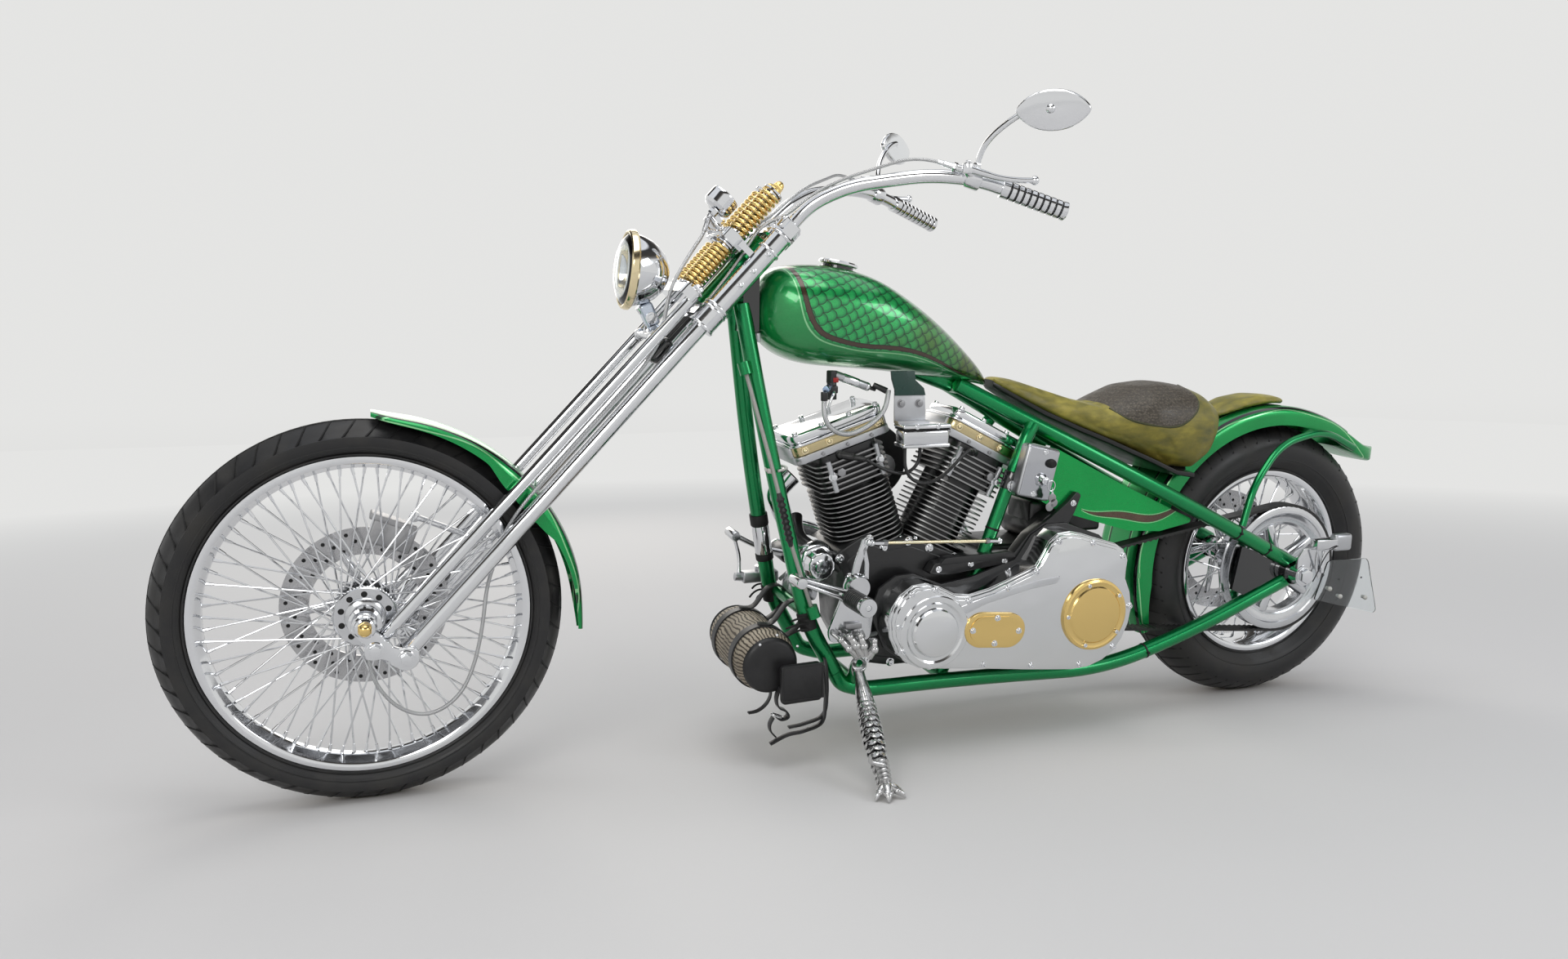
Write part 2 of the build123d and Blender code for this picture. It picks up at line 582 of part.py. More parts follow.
PIPE_R = 22
PIPE_WALL = 2
PIPE_Y = 178
front_tip = [(640, -PIPE_Y, 226), (420, -PIPE_Y, 226)]
front_pipe = [(1126, -55, 555), (1158, -64, 520), (1116, -118, 440), (1010, -162, 398), (950, -172, 310),
              (850, -PIPE_Y + 2, 236), (700, -PIPE_Y, 226), front_tip[0]]
rear_pipe = [(764, -90, 556), (754, -130, 540), (705, -168, 450), (640, -176, 330), (520, -PIPE_Y, 286),
             (330, -PIPE_Y, 284)]
with BuildPart() as exhaust_pipes:
    for route in (front_pipe, front_tip, rear_pipe):
        add_tube(route, PIPE_R)
    for route in (front_pipe, front_tip, rear_pipe):
        add_tube(route, PIPE_R - PIPE_WALL, mode=Mode.SUBTRACT)

with BuildPart() as oil_filter:
    add_rod((1108, -30, 392), (1108, 58, 392), 44)
    add_rod((1108, 58, 392), (1108, 84, 392), 32)

with BuildPart() as coil_cover:
    add_block((862, 84, 628), (966, 132, 676))
    fillet(coil_cover.edges().filter_by(Axis.Y), 10)
    add_block((890, 84, 676), (946, 94, 752))

# Foot controls on the front of the cradle
with BuildPart() as foot_controls:
    add_plate([(1096, 334), (1078, 372), (1052, 372), (1024, 310), (1030, 252), (1112, 258), (1120, 284)], 140, 150)
    add_rod((1086, 150, 352), (1086, 262, 356), 19)
    add_plate([(1092, 352), (1072, 358), (1038, 462), (1052, 466), (1072, 420)], 150.5, 158)
    add_rod((1086, 176, 356), (1206, 186, 402), 7)
    add_rod((1206, 176, 402), (1206, 236, 404), 11)
    add_rod((1046, 158, 454), (742, 130, 434), 4)
    add_plate([(1096, 334), (1078, 372), (1052, 372), (1024, 310), (1030, 252), (1112, 258), (1120, 284)], -150, -140)
    add_rod((1086, -150, 352), (1086, -262, 356), 19)
    add_rod((1086, -176, 356), (1206, -186, 402), 7)
    add_rod((1206, -176, 402), (1206, -236, 404), 11)
    add_block((1112, -186, 300), (1200, -152, 328))

ROLL_X = downtube_route[2][0] + 76
ROLL_Z = 214
ROLL_R = 66
with BuildPart() as tool_roll:
    add_rod((ROLL_X, -128, ROLL_Z), (ROLL_X, 128, ROLL_Z), ROLL_R)
    for middle in (60, -60):
        add_tube([(ROLL_X - 69, middle, 293), (ROLL_X - 41, middle, 268), (ROLL_X - 21, middle, 240)], 8)

# Rear number plate bracket at the left end of the axle, and its clear plate
holder_side = [(18, -20), (18, 60), (-60, 60), (-60, 28), (-24, 10), (-24, -20)]
plate_side = [(-30, -56), (-66, 32), (-176, 28), (-217, -102)]
PLATE_HOLE_X = (-160, -90)
PLATE_HOLE_Z = -20
PLATE_HOLE_R = 3.5
with BuildPart() as plate_bracket:
    add_block(rear_point(-118, 170, 52), rear_point(20, 196, 92))
    add_plate([rear_point(x, 0, z)[::2] for x, z in holder_side], 172, 180)
    add_rod(rear_point(0, 170, 0), rear_point(0, 182, 0), 24)
    add_ring(REAR_AXLE, 160, 200, REAR_AXLE_R + 0.2, mode=Mode.SUBTRACT)
with BuildPart() as clear_plate:
    add_plate([rear_point(x, 0, z)[::2] for x, z in plate_side], 182.4, 187)
    for x in PLATE_HOLE_X:
        add_ring(Vector(*rear_point(x, 0, PLATE_HOLE_Z)), 180, 190, PLATE_HOLE_R, mode=Mode.SUBTRACT)

# Rear axle with spacers and nuts
with BuildPart() as rear_axle:
    add_rod((0, -172, REAR_TYRE_R), (0, 192, REAR_TYRE_R), REAR_AXLE_R)
    for low, high in ((118, 124.7), (153.3, 169.5), (-124.7, -106), (-169, -153.3)):
        add_ring(REAR_AXLE, low, high, 22, REAR_AXLE_R - 0.5)

with BuildPart() as clutch_cable:
    add_tube(cable_route, CABLE_R)

# Springer fork: rigid rear legs with sleeves, crowns and stem
SPRING_Y = 26
SPRING_AHEAD = 58
LEG_LOW = -894
LEG_HIGH = 126
SLEEVE_LOW = -88
LOWER_CROWN = -92
UPPER_CROWN = 118
with BuildPart() as fork_legs:
    for side in (LEG_Y, -LEG_Y):
        add_rod(fork_point(0, LEG_LOW, side), fork_point(0, LEG_HIGH, side), LEG_R)
        add_rod(fork_point(0, SLEEVE_LOW, side), fork_point(0, LEG_HIGH - 4, side), SLEEVE_R)
        add_rod(fork_point(0, SLEEVE_LOW - 14, side), fork_point(0, SLEEVE_LOW + 30, side), SLEEVE_R + 4)
        add_ring(fork_point(0, LEG_LOW + 6), side - 14, side + 14.7 if side > 0 else side + 14, 17)
    for up in (LOWER_CROWN, UPPER_CROWN - 6):
        with BuildSketch(fork_plane(up)) as section:
            RectangleRounded(50, 2 * LEG_Y, 8)
        extrude(section.sketch, amount=20 if up == LOWER_CROWN else 12)
    add_rod(fork_point(0, LOWER_CROWN), fork_point(0, UPPER_CROWN + 8), LEG_R)
    with BuildSketch(fork_plane(49)) as section:
        with Locations((58, 0)):
            RectangleRounded(48, 118, 6)
        for side in (SPRING_Y, -SPRING_Y):
            with Locations((SPRING_AHEAD, side)):
                Circle(7.4, mode=Mode.SUBTRACT)
    extrude(section.sketch, amount=21)
    with BuildSketch(fork_plane(53)) as section:
        for side in (LEG_Y, -LEG_Y):
            with Locations((26, side * 0.85)):
                RectangleRounded(52, 26, 3)
    extrude(section.sketch, amount=12)

with BuildPart() as fork_spring_legs:
    for side in (LEG_Y, -LEG_Y):
        add_rod(fork_point(SPRING_LEG_AHEAD + 3, -900, side), fork_point(SPRING_LEG_AHEAD, -72, side), SPRING_LEG_R)
    with BuildSketch(fork_plane(-84)) as section:
        with Locations((SPRING_AHEAD, 0)):
            RectangleRounded(34, 2 * LEG_Y + 26, 8)
    extrude(section.sketch, amount=20)
    for side in (SPRING_Y, -SPRING_Y):
        add_rod(fork_point(SPRING_AHEAD, -70, side), fork_point(SPRING_AHEAD, 200, side), 7)

SPRING_R = 21
with BuildPart() as fork_springs:
    for low, high in ((-62, 48), (71, 184)):
        for side in (SPRING_Y, -SPRING_Y):
            with BuildSketch(fork_plane(low)) as section:
                with Locations((SPRING_AHEAD, side)):
                    Circle(SPRING_R)
                    Circle(SPRING_R - 8, mode=Mode.SUBTRACT)
            extrude(section.sketch, amount=high - low)

# Rockers that carry the front axle, their bolts and the speedometer drive
SPEEDO_DRIVE_R = 28
SPEEDO_END = FRONT_AXLE + Vector(-2, 69, -42)
ROCKER_IN_Y = LEG_Y + LEG_R
ROCKER_OUT_Y = ROCKER_IN_Y + 11
HUB_HALF = 52
rocker_joints = [fork_point(0, LEG_LOW + 6), fork_point(SPRING_LEG_AHEAD + 3, -908), FRONT_AXLE]
with BuildPart() as fork_rockers:
    for low, high in ((ROCKER_IN_Y, ROCKER_OUT_Y), (-ROCKER_OUT_Y, -ROCKER_IN_Y)):
        for joint in rocker_joints:
            add_ring(joint, low, high, 24)
        for first, second in zip(rocker_joints, rocker_joints[1:]):
            along = (second - first).normalized()
            across = Vector(-along.Z, 0, along.X) * 20
            corners = [first + across, second + across, second - across, first - across]
            add_plate([(p.X, p.Z) for p in corners], low, high)
    for joint in rocker_joints[:2]:
        for low, high in ((ROCKER_IN_Y, ROCKER_OUT_Y + 9), (-ROCKER_OUT_Y - 9, -ROCKER_IN_Y)):
            add_ring(joint, low, high, 10)
    add_rod((WHEELBASE, -ROCKER_OUT_Y - 16, FRONT_TYRE_R), (WHEELBASE, ROCKER_OUT_Y + 16, FRONT_TYRE_R), AXLE_R)
    for low, high in ((HUB_HALF + 2, ROCKER_IN_Y), (ROCKER_OUT_Y, ROCKER_OUT_Y + 13)):
        add_ring(FRONT_AXLE, low, high, 17)
        add_ring(FRONT_AXLE, -high, -low, 17)
    add_ring(FRONT_AXLE, 59, 79, SPEEDO_DRIVE_R)
    add_rod(SPEEDO_END, SPEEDO_END + Vector(0, 0, 20), 7)

# Handlebar halves clamped on the leg tops, grips, levers and mirrors
bar_route = [tuple(fork_point(0, LEG_HIGH + 1.2, LEG_Y)), tuple(fork_point(2, 205, LEG_Y + 6)),
             neck_point(-204, LEG_Y + 42, 184), neck_point(-322, LEG_Y + 108, 203), neck_point(-404, LEG_Y + 149, 197),
             neck_point(-562, LEG_Y + 198, 142)]
with BuildPart() as handlebar:
    for route in (bar_route, mirrored(bar_route)):
        add_tube(route, BAR_R)
    for side in (LEG_Y, -LEG_Y):
        with BuildSketch(Plane(origin=fork_point(0, LEG_HIGH + 0.3, side), x_dir=AXIS_AHEAD, z_dir=AXIS_UP)) as section:
            RegularPolygon(24, 6)
        extrude(section.sketch, amount=26)

grip_end = Vector(*bar_route[-1])
grip_along = (Vector(*bar_route[-2]) - grip_end).normalized()
with BuildPart() as hand_grips:
    for side in (1, -1):
        far = Vector(grip_end.X, side * grip_end.Y, grip_end.Z)
        inward = Vector(grip_along.X, side * grip_along.Y, grip_along.Z)
        with BuildSketch(Plane(origin=far, z_dir=inward)) as section:
            Circle(GRIP_R)
            Circle(BAR_R + 0.1, mode=Mode.SUBTRACT)
        extrude(section.sketch, amount=GRIP_LENGTH)
        with BuildSketch(Plane(origin=far - inward * 4, z_dir=inward)) as section:
            Circle(GRIP_R)
        extrude(section.sketch, amount=3.8)

# Control cables from the levers over the bars and down between the legs to the lower crown
BAR_CABLE_R = 3
bar_cable_route = [neck_point(-345, 205, 222), neck_point(-303, 183, 236), neck_point(-245, 128, 216),
                   neck_point(-190, 88, 196), neck_point(-144, 60, 168), neck_point(-100, 50, 130),
                   tuple(fork_point(38, 118, 45)), tuple(fork_point(25, 55, 39)),
                   tuple(fork_point(18, -10, 41)), tuple(fork_point(16, LOWER_CROWN + 20, 42))]
with BuildPart() as clutch_bar_cable:
    add_tube(bar_cable_route, BAR_CABLE_R)
with BuildPart() as brake_bar_cable:
    add_tube(mirrored(bar_cable_route), BAR_CABLE_R)

lever_route = [neck_point(-379, LEG_Y + 162, 213), neck_point(-434, LEG_Y + GRIP_R + 163, 197),
               neck_point(-502, LEG_Y + GRIP_R + 175, 195)]
perch_middle = neck_point(-399, LEG_Y + 146, 197)
with BuildPart() as hand_levers:
    for side, route in ((1, lever_route), (-1, mirrored(lever_route))):
        add_tube(route, 6)
        with BuildSketch(Plane(origin=(perch_middle[0], side * perch_middle[1], perch_middle[2]),
                               z_dir=(grip_along.X, side * grip_along.Y, grip_along.Z))) as section:
            Circle(21)
        extrude(section.sketch, amount=14, both=True)
        add_rod((perch_middle[0], side * perch_middle[1], perch_middle[2]),
                (route[0][0], route[0][1], route[0][2] + 2), 12)
        adjuster_start = neck_point(-383, side * 225, 209)
        add_rod(adjuster_start, (bar_cable_route[0][0], side * bar_cable_route[0][1], bar_cable_route[0][2]), 7)
    for route in (bar_route, mirrored(bar_route)):
        with BuildLine() as line:
            FilletPolyline(*route, radius=smooth_bends(route))
        with BuildSketch(Plane(origin=line.line @ 0, z_dir=line.line % 0)) as section:
            Circle(BAR_R + 0.2)
        sweep(sections=section.sketch, path=line.line, mode=Mode.SUBTRACT)

mirror_route = [neck_point(-403, LEG_Y + 149, 219), neck_point(-412, LEG_Y + 166, 257),
                neck_point(-442, LEG_Y + 198, 297), neck_point(-484, LEG_Y + 235, 323)]
MIRROR_CENTRE = neck_point(-492, LEG_Y + 252, 309)
MIRROR_FACING = (-0.62, -0.76, 0.2)
with BuildPart() as mirrors:
    for side, route in ((1, mirror_route), (-1, mirrored(mirror_route))):
        add_tube(route, 6)
        centre = (MIRROR_CENTRE[0], side * MIRROR_CENTRE[1], MIRROR_CENTRE[2])
        facing = Vector(MIRROR_FACING[0], side * MIRROR_FACING[1], MIRROR_FACING[2])
        level = Vector(facing.Y, -facing.X, 0)
        with BuildSketch(Plane(origin=centre, x_dir=level, z_dir=facing)) as section:
            Ellipse(66, 36)
        extrude(section.sketch, amount=8, both=True)

# Headlamp on the spring legs, speedometer on the perch
LAMP_R = 74
LAMP_TILT = 6
LAMP_FACE = Vector(*neck_point(194, 0, 26))
lamp_forward = Vector(cos(radians(LAMP_TILT)), 0, sin(radians(LAMP_TILT)))
lamp_profile = [(0, 0), (0, LAMP_R), (-14, LAMP_R), (-16, LAMP_R - 7), (-40, LAMP_R - 16), (-66, LAMP_R - 36),
                (-80, LAMP_R - 60), (-82, 0)]
with BuildPart() as headlamp:
    with BuildSketch(Plane(origin=LAMP_FACE, x_dir=lamp_forward, z_dir=(0, -1, 0))) as section:
        with BuildLine():
            Polyline(*lamp_profile, close=True)
        make_face()
    revolve(section.sketch, axis=Axis(tuple(LAMP_FACE), tuple(lamp_forward)))
    with BuildSketch(Plane(origin=LAMP_FACE, x_dir=lamp_forward, z_dir=(0, -1, 0))) as section:
        with BuildLine():
            Polyline((0, 0), (0, LAMP_R - 10), (-38, LAMP_R - 20), (-64, LAMP_R - 40), (-76, 0), close=True)
        make_face()
    revolve(section.sketch, axis=Axis(tuple(LAMP_FACE), tuple(lamp_forward)), mode=Mode.SUBTRACT)
    add_rod(fork_point(SPRING_LEG_AHEAD, -176, -LEG_Y + SPRING_LEG_R + 0.5),
            fork_point(SPRING_LEG_AHEAD, -176, LEG_Y - SPRING_LEG_R - 0.5), 8)
    add_rod(fork_point(SPRING_LEG_AHEAD, -176), neck_point(166, 0, -73), 9)
    add_block(neck_point(150, -14, -79), neck_point(180, 14, -51))
with BuildPart() as headlamp_lens:
    with BuildSketch(Plane(origin=LAMP_FACE + lamp_forward * 0.3, x_dir=lamp_forward, z_dir=(0, -1, 0))) as section:
        with BuildLine():
            Polyline((0, 0), (0, LAMP_R - 6), (12, LAMP_R - 22), (19, LAMP_R - 46), (22, 0), close=True)
        make_face()
    revolve(section.sketch, axis=Axis(tuple(LAMP_FACE), tuple(lamp_forward)))
with BuildPart() as speedometer:
    with BuildSketch(fork_plane(84)) as section:
        with Locations((114, 0)):
            Circle(29)
    extrude(section.sketch, amount=36)
    with BuildSketch(fork_plane(56)) as section:
        with Locations((100, 0)):
            RectangleRounded(34, 16, 3)
    extrude(section.sketch, amount=28)

# Front mudguard with two stays to the rigid legs
FENDER_CENTRE = FRONT_AXLE + Vector(-11, 0, -17)
FRONT_FENDER_START = 92
FRONT_FENDER_SWEEP = 95
front_shell = fender_shell(FRONT_FENDER_R, FRONT_FENDER_HALF, 26, FENDER_WALL,
                           FRONT_FENDER_START, FRONT_FENDER_SWEEP).translate(FENDER_CENTRE)
with BuildPart() as front_fender:
    add(front_shell)

# Front brake caliper, speedometer cable and brake hose
with BuildPart() as front_caliper:
    add_block(FRONT_AXLE + Vector(-93, -74, 98), FRONT_AXLE + Vector(-9, -26, 168))
    add_block(FRONT_AXLE + Vector(-100, -54, 92), FRONT_AXLE + Vector(5, -39, 156), mode=Mode.SUBTRACT)
    caliper_rod_y = -(LEG_Y - LEG_R - 6.6)
    add_rod(FRONT_AXLE + Vector(-91, caliper_rod_y, 160), FRONT_AXLE + Vector(-219, caliper_rod_y, 104), 6)

# It leaves the speedometer, follows the left legs and loops up beside the wheel to its drive.
# Columns: ahead of the steering axis, along it, sideways; then forward, sideways, up from the axle
SPEEDO_CABLE_R = 3.5
speedo_upper = [(114, 84, 14), (113, 62, 14), (101, 30, 20), (99, 5, 25), (94, -35, 34), (85, -82, 42),
                (62, -125, 46), (34, -165, 48), (26, -225, 58), (25, -310, 64), (27, -400, 67), (25, -490, 68),
                (23, -563, 65), (8, -625, 49), (-12, -667, 48)]
speedo_lower = [(-208, 54, 47), (-198, 60, -30), (-180, 64, -103), (-152, 64, -156), (-102, 63, -185),
                (-52, 64, -168), (-18, 66, -126), (-3, 68, -83)]
speedo_route = [tuple(fork_point(ahead, up, side)) for ahead, up, side in speedo_upper]
speedo_route += [tuple(FRONT_AXLE + Vector(*step)) for step in speedo_lower] + [tuple(SPEEDO_END)]
with BuildPart() as speedo_cable:
    add_tube(speedo_route, SPEEDO_CABLE_R)

# Wheels: tyre, rim, hub and spokes; the spokes of each side all lean the same way
SPOKES_PER_SIDE = 20
SPOKE_R = 1.8


def tyre(axle, outer, half, rim_r):
    """Return a tyre as a round section cut where it seats on the rim."""
    with BuildPart() as ring:
        with BuildSketch(Plane.XY):
            with Locations((outer - half, 0)):
                Circle(half)
            with Locations((rim_r + TYRE_SEAT - 150, 0)):
                Rectangle(300, 400, mode=Mode.SUBTRACT)
        revolve(axis=Axis((0, 0, 0), (0, 1, 0)))
    return ring.part.translate(axle)


def rim(axle, outer, half):
    """Return a wheel rim with a drop centre."""
    with BuildPart() as ring:
        with BuildSketch(Plane.XY):
            with BuildLine():
                Polyline((outer, -half), (outer, half), (outer - 10, half), (outer - RIM_DEPTH, half * 0.55),
                         (outer - RIM_DEPTH, -half * 0.55), (outer - 10, -half), close=True)
            make_face()
        revolve(axis=Axis((0, 0, 0), (0, 1, 0)))
    return ring.part.translate(axle)


def spokes(axle, flange_r, flange_y, rim_r, rim_y, step):
    """Return straight spokes from both hub flanges to the rim."""
    with BuildPart() as wires:
        for side in (1, -1):
            for number in range(SPOKES_PER_SIDE):
                angle = 360 / SPOKES_PER_SIDE * (number + (0.25 if side > 0 else 0.75))
                inner = radians(angle)
                outer = radians(angle + side * step)
                add_rod((flange_r * cos(inner), side * flange_y, flange_r * sin(inner)),
                        (rim_r * cos(outer), side * rim_y, rim_r * sin(outer)), SPOKE_R)
    return wires.part.translate(axle)


FRONT_FLANGE_R = 42
FRONT_FLANGE_Y = 30
with BuildPart() as front_tyre:
    add(tyre(FRONT_AXLE, FRONT_TYRE_R, FRONT_TYRE_HALF, FRONT_RIM_R))
with BuildPart() as front_rim:
    add(rim(FRONT_AXLE, FRONT_RIM_R, FRONT_RIM_HALF))
with BuildPart() as front_spokes:
    add(spokes(FRONT_AXLE, FRONT_FLANGE_R - 8, FRONT_FLANGE_Y, FRONT_RIM_R - RIM_DEPTH + 2, 8, 32))
with BuildPart() as front_hub:
    add_ring(FRONT_AXLE, -HUB_HALF, HUB_HALF, 26)
    for middle in (FRONT_FLANGE_Y, -FRONT_FLANGE_Y):
        add_ring(FRONT_AXLE, middle - 4, middle + 4, FRONT_FLANGE_R)
    add_ring(FRONT_AXLE, -HUB_HALF + 3, -HUB_HALF + 3 + DISC_THICK, DISC_R)
    add_ring(FRONT_AXLE, -200, 200, AXLE_R + PIN_CLEAR, mode=Mode.SUBTRACT)

REAR_FLANGE_R = 50
REAR_FLANGE_Y = 42
REAR_HUB_RIGHT = -100
with BuildPart() as rear_tyre:
    add(tyre(REAR_AXLE, REAR_TYRE_R, REAR_TYRE_HALF, REAR_RIM_R))
with BuildPart() as rear_rim:
    add(rim(REAR_AXLE, REAR_RIM_R, REAR_RIM_HALF))
with BuildPart() as rear_spokes:
    add(spokes(REAR_AXLE, REAR_FLANGE_R - 8, REAR_FLANGE_Y, REAR_RIM_R - RIM_DEPTH + 2, 12, 30))
with BuildPart() as rear_hub:
    add_ring(REAR_AXLE, REAR_HUB_RIGHT, BELT_IN_Y + 4, 32)
    for middle in (REAR_FLANGE_Y, -REAR_FLANGE_Y):
        add_ring(REAR_AXLE, middle - 4, middle + 4, REAR_FLANGE_R)
    add_ring(REAR_AXLE, -92, -92 + DISC_THICK, DISC_R)
    add_ring(REAR_AXLE, BELT_IN_Y, BELT_OUT_Y, REAR_PULLEY_R, REAR_PULLEY_R - 12)
    add_ring(REAR_AXLE, BELT_OUT_Y - 5, BELT_OUT_Y, REAR_PULLEY_R, 104)
    add_ring(REAR_AXLE, BELT_IN_Y, BELT_IN_Y + 10, REAR_PULLEY_R - 4)
    add_ring(REAR_AXLE, BELT_IN_Y, BELT_OUT_Y, 40)
    add_ring(REAR_AXLE, -200, 200, REAR_AXLE_R + PIN_CLEAR, mode=Mode.SUBTRACT)

with BuildPart() as rear_caliper:
    add_block(rear_point(100, -112, 20), rear_point(150, -70, 122))
    add_block(rear_point(90, -97, -20), rear_point(200, -82, 112), mode=Mode.SUBTRACT)

# Side stand: a leg that reaches out to the ground on the left, with its foot flat on it
with BuildPart() as side_stand:
    add_rod(STAND_PIVOT, stand_foot + ground_up * (FOOT_THICK + 5), 12)
    add_rod(STAND_PIVOT - STAND_AXIS * 13, STAND_PIVOT + STAND_AXIS * 13, 16)
    add_rod(stand_foot, stand_foot + ground_up * FOOT_THICK, FOOT_R)
    add_rod(STAND_PIVOT - STAND_AXIS * 30, STAND_PIVOT + STAND_AXIS * 30, STAND_PIN_R + PIN_CLEAR,
            mode=Mode.SUBTRACT)

PIECES = {
    "frame_backbone": frame_backbone, "frame_downtubes": frame_downtubes, "frame_cradle": frame_cradle,
    "frame_seat_rails": frame_seat_rails, "axle_plates": axle_plates, "fuel_tank": fuel_tank,
    "fuel_cap": fuel_cap, "seat": seat, "pillion_pad": pillion_pad,
    "rear_fender": rear_fender, "fender_stays": fender_stays, "oil_tank": oil_tank,
    "ignition_box": ignition_box, "crankcase": crankcase, "cylinders": cylinders,
    "rocker_boxes": rocker_boxes, "primary_cover": primary_cover, "brass_covers": brass_covers,
    "gearbox": gearbox, "drive_belt": drive_belt, "air_cleaner": air_cleaner,
    "exhaust_pipes": exhaust_pipes, "oil_filter": oil_filter, "coil_cover": coil_cover,
    "foot_controls": foot_controls, "tool_roll": tool_roll, "plate_bracket": plate_bracket,
    "clear_plate": clear_plate, "rear_axle": rear_axle, "rear_caliper": rear_caliper,
    "neck_cover": neck_cover, "fuel_hose": fuel_hose, "front_plug_wire": front_plug_wire,
    "rear_plug_wire": rear_plug_wire, "clutch_bar_cable": clutch_bar_cable, "brake_bar_cable": brake_bar_cable,
    "clutch_cable": clutch_cable, "fork_legs": fork_legs, "fork_spring_legs": fork_spring_legs,
    "fork_springs": fork_springs, "fork_rockers": fork_rockers, "handlebar": handlebar,
    "hand_grips": hand_grips, "hand_levers": hand_levers, "mirrors": mirrors,
    "headlamp": headlamp, "headlamp_lens": headlamp_lens, "speedometer": speedometer,
    "front_fender": front_fender, "front_caliper": front_caliper, "speedo_cable": speedo_cable,
    "front_tyre": front_tyre, "front_rim": front_rim, "front_spokes": front_spokes,
    "front_hub": front_hub, "rear_tyre": rear_tyre, "rear_rim": rear_rim,
    "rear_spokes": rear_spokes, "rear_hub": rear_hub, "side_stand": side_stand,
}

# The bend radii of the free cords, in millimetres and in diameters
CORDS = {"clutch_cable": (cable_route, CABLE_R), "fuel_hose": (hose_route, HOSE_R),
         "front_plug_wire": (front_wire, WIRE_R), "rear_plug_wire": (rear_wire, WIRE_R),
         "bar_cables": (bar_cable_route, BAR_CABLE_R), "speedo_cable": (speedo_route, SPEEDO_CABLE_R)}
for name, (route, radius) in CORDS.items():
    bends = smooth_bends(route)
    print(name, [round(bend) for bend in bends], "tightest", round(min(bends) / (2 * radius), 1), "diameters")

# Lean it on its stand, with the origin on the ground under the middle of its box
lean = Location((0, 0, 0), (-LEAN, 0, 0))
boxes = [piece.part.moved(lean).bounding_box() for piece in PIECES.values()]
middle_x = (min(box.min.X for box in boxes) + max(box.max.X for box in boxes)) / 2
middle_y = (min(box.min.Y for box in boxes) + max(box.max.Y for box in boxes)) / 2
ground_z = min(box.min.Z for box in boxes)
PARKED = Location((-middle_x, -middle_y, -ground_z)) * lean
for name, piece in PIECES.items():
    piece.part.label = name
    stored = piece.part.moved(PARKED)
    stored.label = name
    export_step(stored, f"parts/{name}.step")
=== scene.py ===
"""A long-fork chopper motorcycle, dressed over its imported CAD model.

Pieces are drawn on the upright motorcycle in millimetres: x forward from the rear axle, y to the
rider's left and z up. Workshop leans them on the side stand and puts them in the model's frame.
"""
import json
import logging
from dataclasses import dataclass, field
from enum import Enum
from math import atan2, cos, hypot, pi, radians, sin
from typing import Any, Callable, Iterable, Sequence

import bmesh
import bpy
from mathutils import Matrix, Vector
from mathutils.bvhtree import BVHTree

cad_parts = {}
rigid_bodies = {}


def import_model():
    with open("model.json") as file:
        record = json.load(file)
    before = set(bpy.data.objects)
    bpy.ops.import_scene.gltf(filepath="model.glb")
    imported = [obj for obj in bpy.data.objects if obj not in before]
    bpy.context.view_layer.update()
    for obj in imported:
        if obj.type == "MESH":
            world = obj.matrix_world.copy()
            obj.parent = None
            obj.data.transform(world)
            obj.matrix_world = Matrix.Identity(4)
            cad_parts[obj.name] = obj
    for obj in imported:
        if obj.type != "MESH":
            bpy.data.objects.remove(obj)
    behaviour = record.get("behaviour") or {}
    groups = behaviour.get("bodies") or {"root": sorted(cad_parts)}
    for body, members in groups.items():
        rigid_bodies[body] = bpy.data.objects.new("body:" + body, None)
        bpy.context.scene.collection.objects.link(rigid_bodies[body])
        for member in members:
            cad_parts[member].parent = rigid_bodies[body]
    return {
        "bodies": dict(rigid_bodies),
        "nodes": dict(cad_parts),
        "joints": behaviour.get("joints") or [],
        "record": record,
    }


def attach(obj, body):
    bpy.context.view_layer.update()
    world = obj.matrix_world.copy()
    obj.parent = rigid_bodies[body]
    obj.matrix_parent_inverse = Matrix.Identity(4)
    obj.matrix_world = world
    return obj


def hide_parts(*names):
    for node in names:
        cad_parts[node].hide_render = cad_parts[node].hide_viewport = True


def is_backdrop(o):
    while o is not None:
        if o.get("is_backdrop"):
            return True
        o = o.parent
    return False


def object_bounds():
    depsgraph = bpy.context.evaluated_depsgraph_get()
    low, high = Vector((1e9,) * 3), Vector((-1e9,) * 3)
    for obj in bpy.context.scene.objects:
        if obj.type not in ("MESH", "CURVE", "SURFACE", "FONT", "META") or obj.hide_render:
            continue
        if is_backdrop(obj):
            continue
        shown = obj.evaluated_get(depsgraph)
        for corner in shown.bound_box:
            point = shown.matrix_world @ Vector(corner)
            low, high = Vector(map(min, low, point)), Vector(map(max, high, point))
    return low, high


log = logging.getLogger("motorcycle")

Point = Sequence[float]
Colour = tuple[float, float, float]

LEAN = 5.0
RAKE = 43.0
WHEELBASE = 1955.0
FRONT_TYRE_R = 348.0
REAR_TYRE_R = 320.0
FRONT_AXLE = Vector((WHEELBASE, 0.0, FRONT_TYRE_R))
REAR_AXLE = Vector((0.0, 0.0, REAR_TYRE_R))
NECK = Vector((WHEELBASE - 671.0, 0.0, FRONT_TYRE_R + 587.0))
AXIS_UP = Vector((-sin(radians(RAKE)), 0.0, cos(radians(RAKE))))
AXIS_AHEAD = Vector((cos(radians(RAKE)), 0.0, sin(radians(RAKE))))
SIDEWAYS = Vector((0.0, 1.0, 0.0))
LEG_Y = 70.0
FRONT_FENDER_R = 374.0
REAR_FENDER_R = 365.0
BELT_WHEEL = Vector((560.0, 0.0, 300.0))
MM_PER_M = 1000
WELD_MM = 1e-3
WELD_M = 1e-6


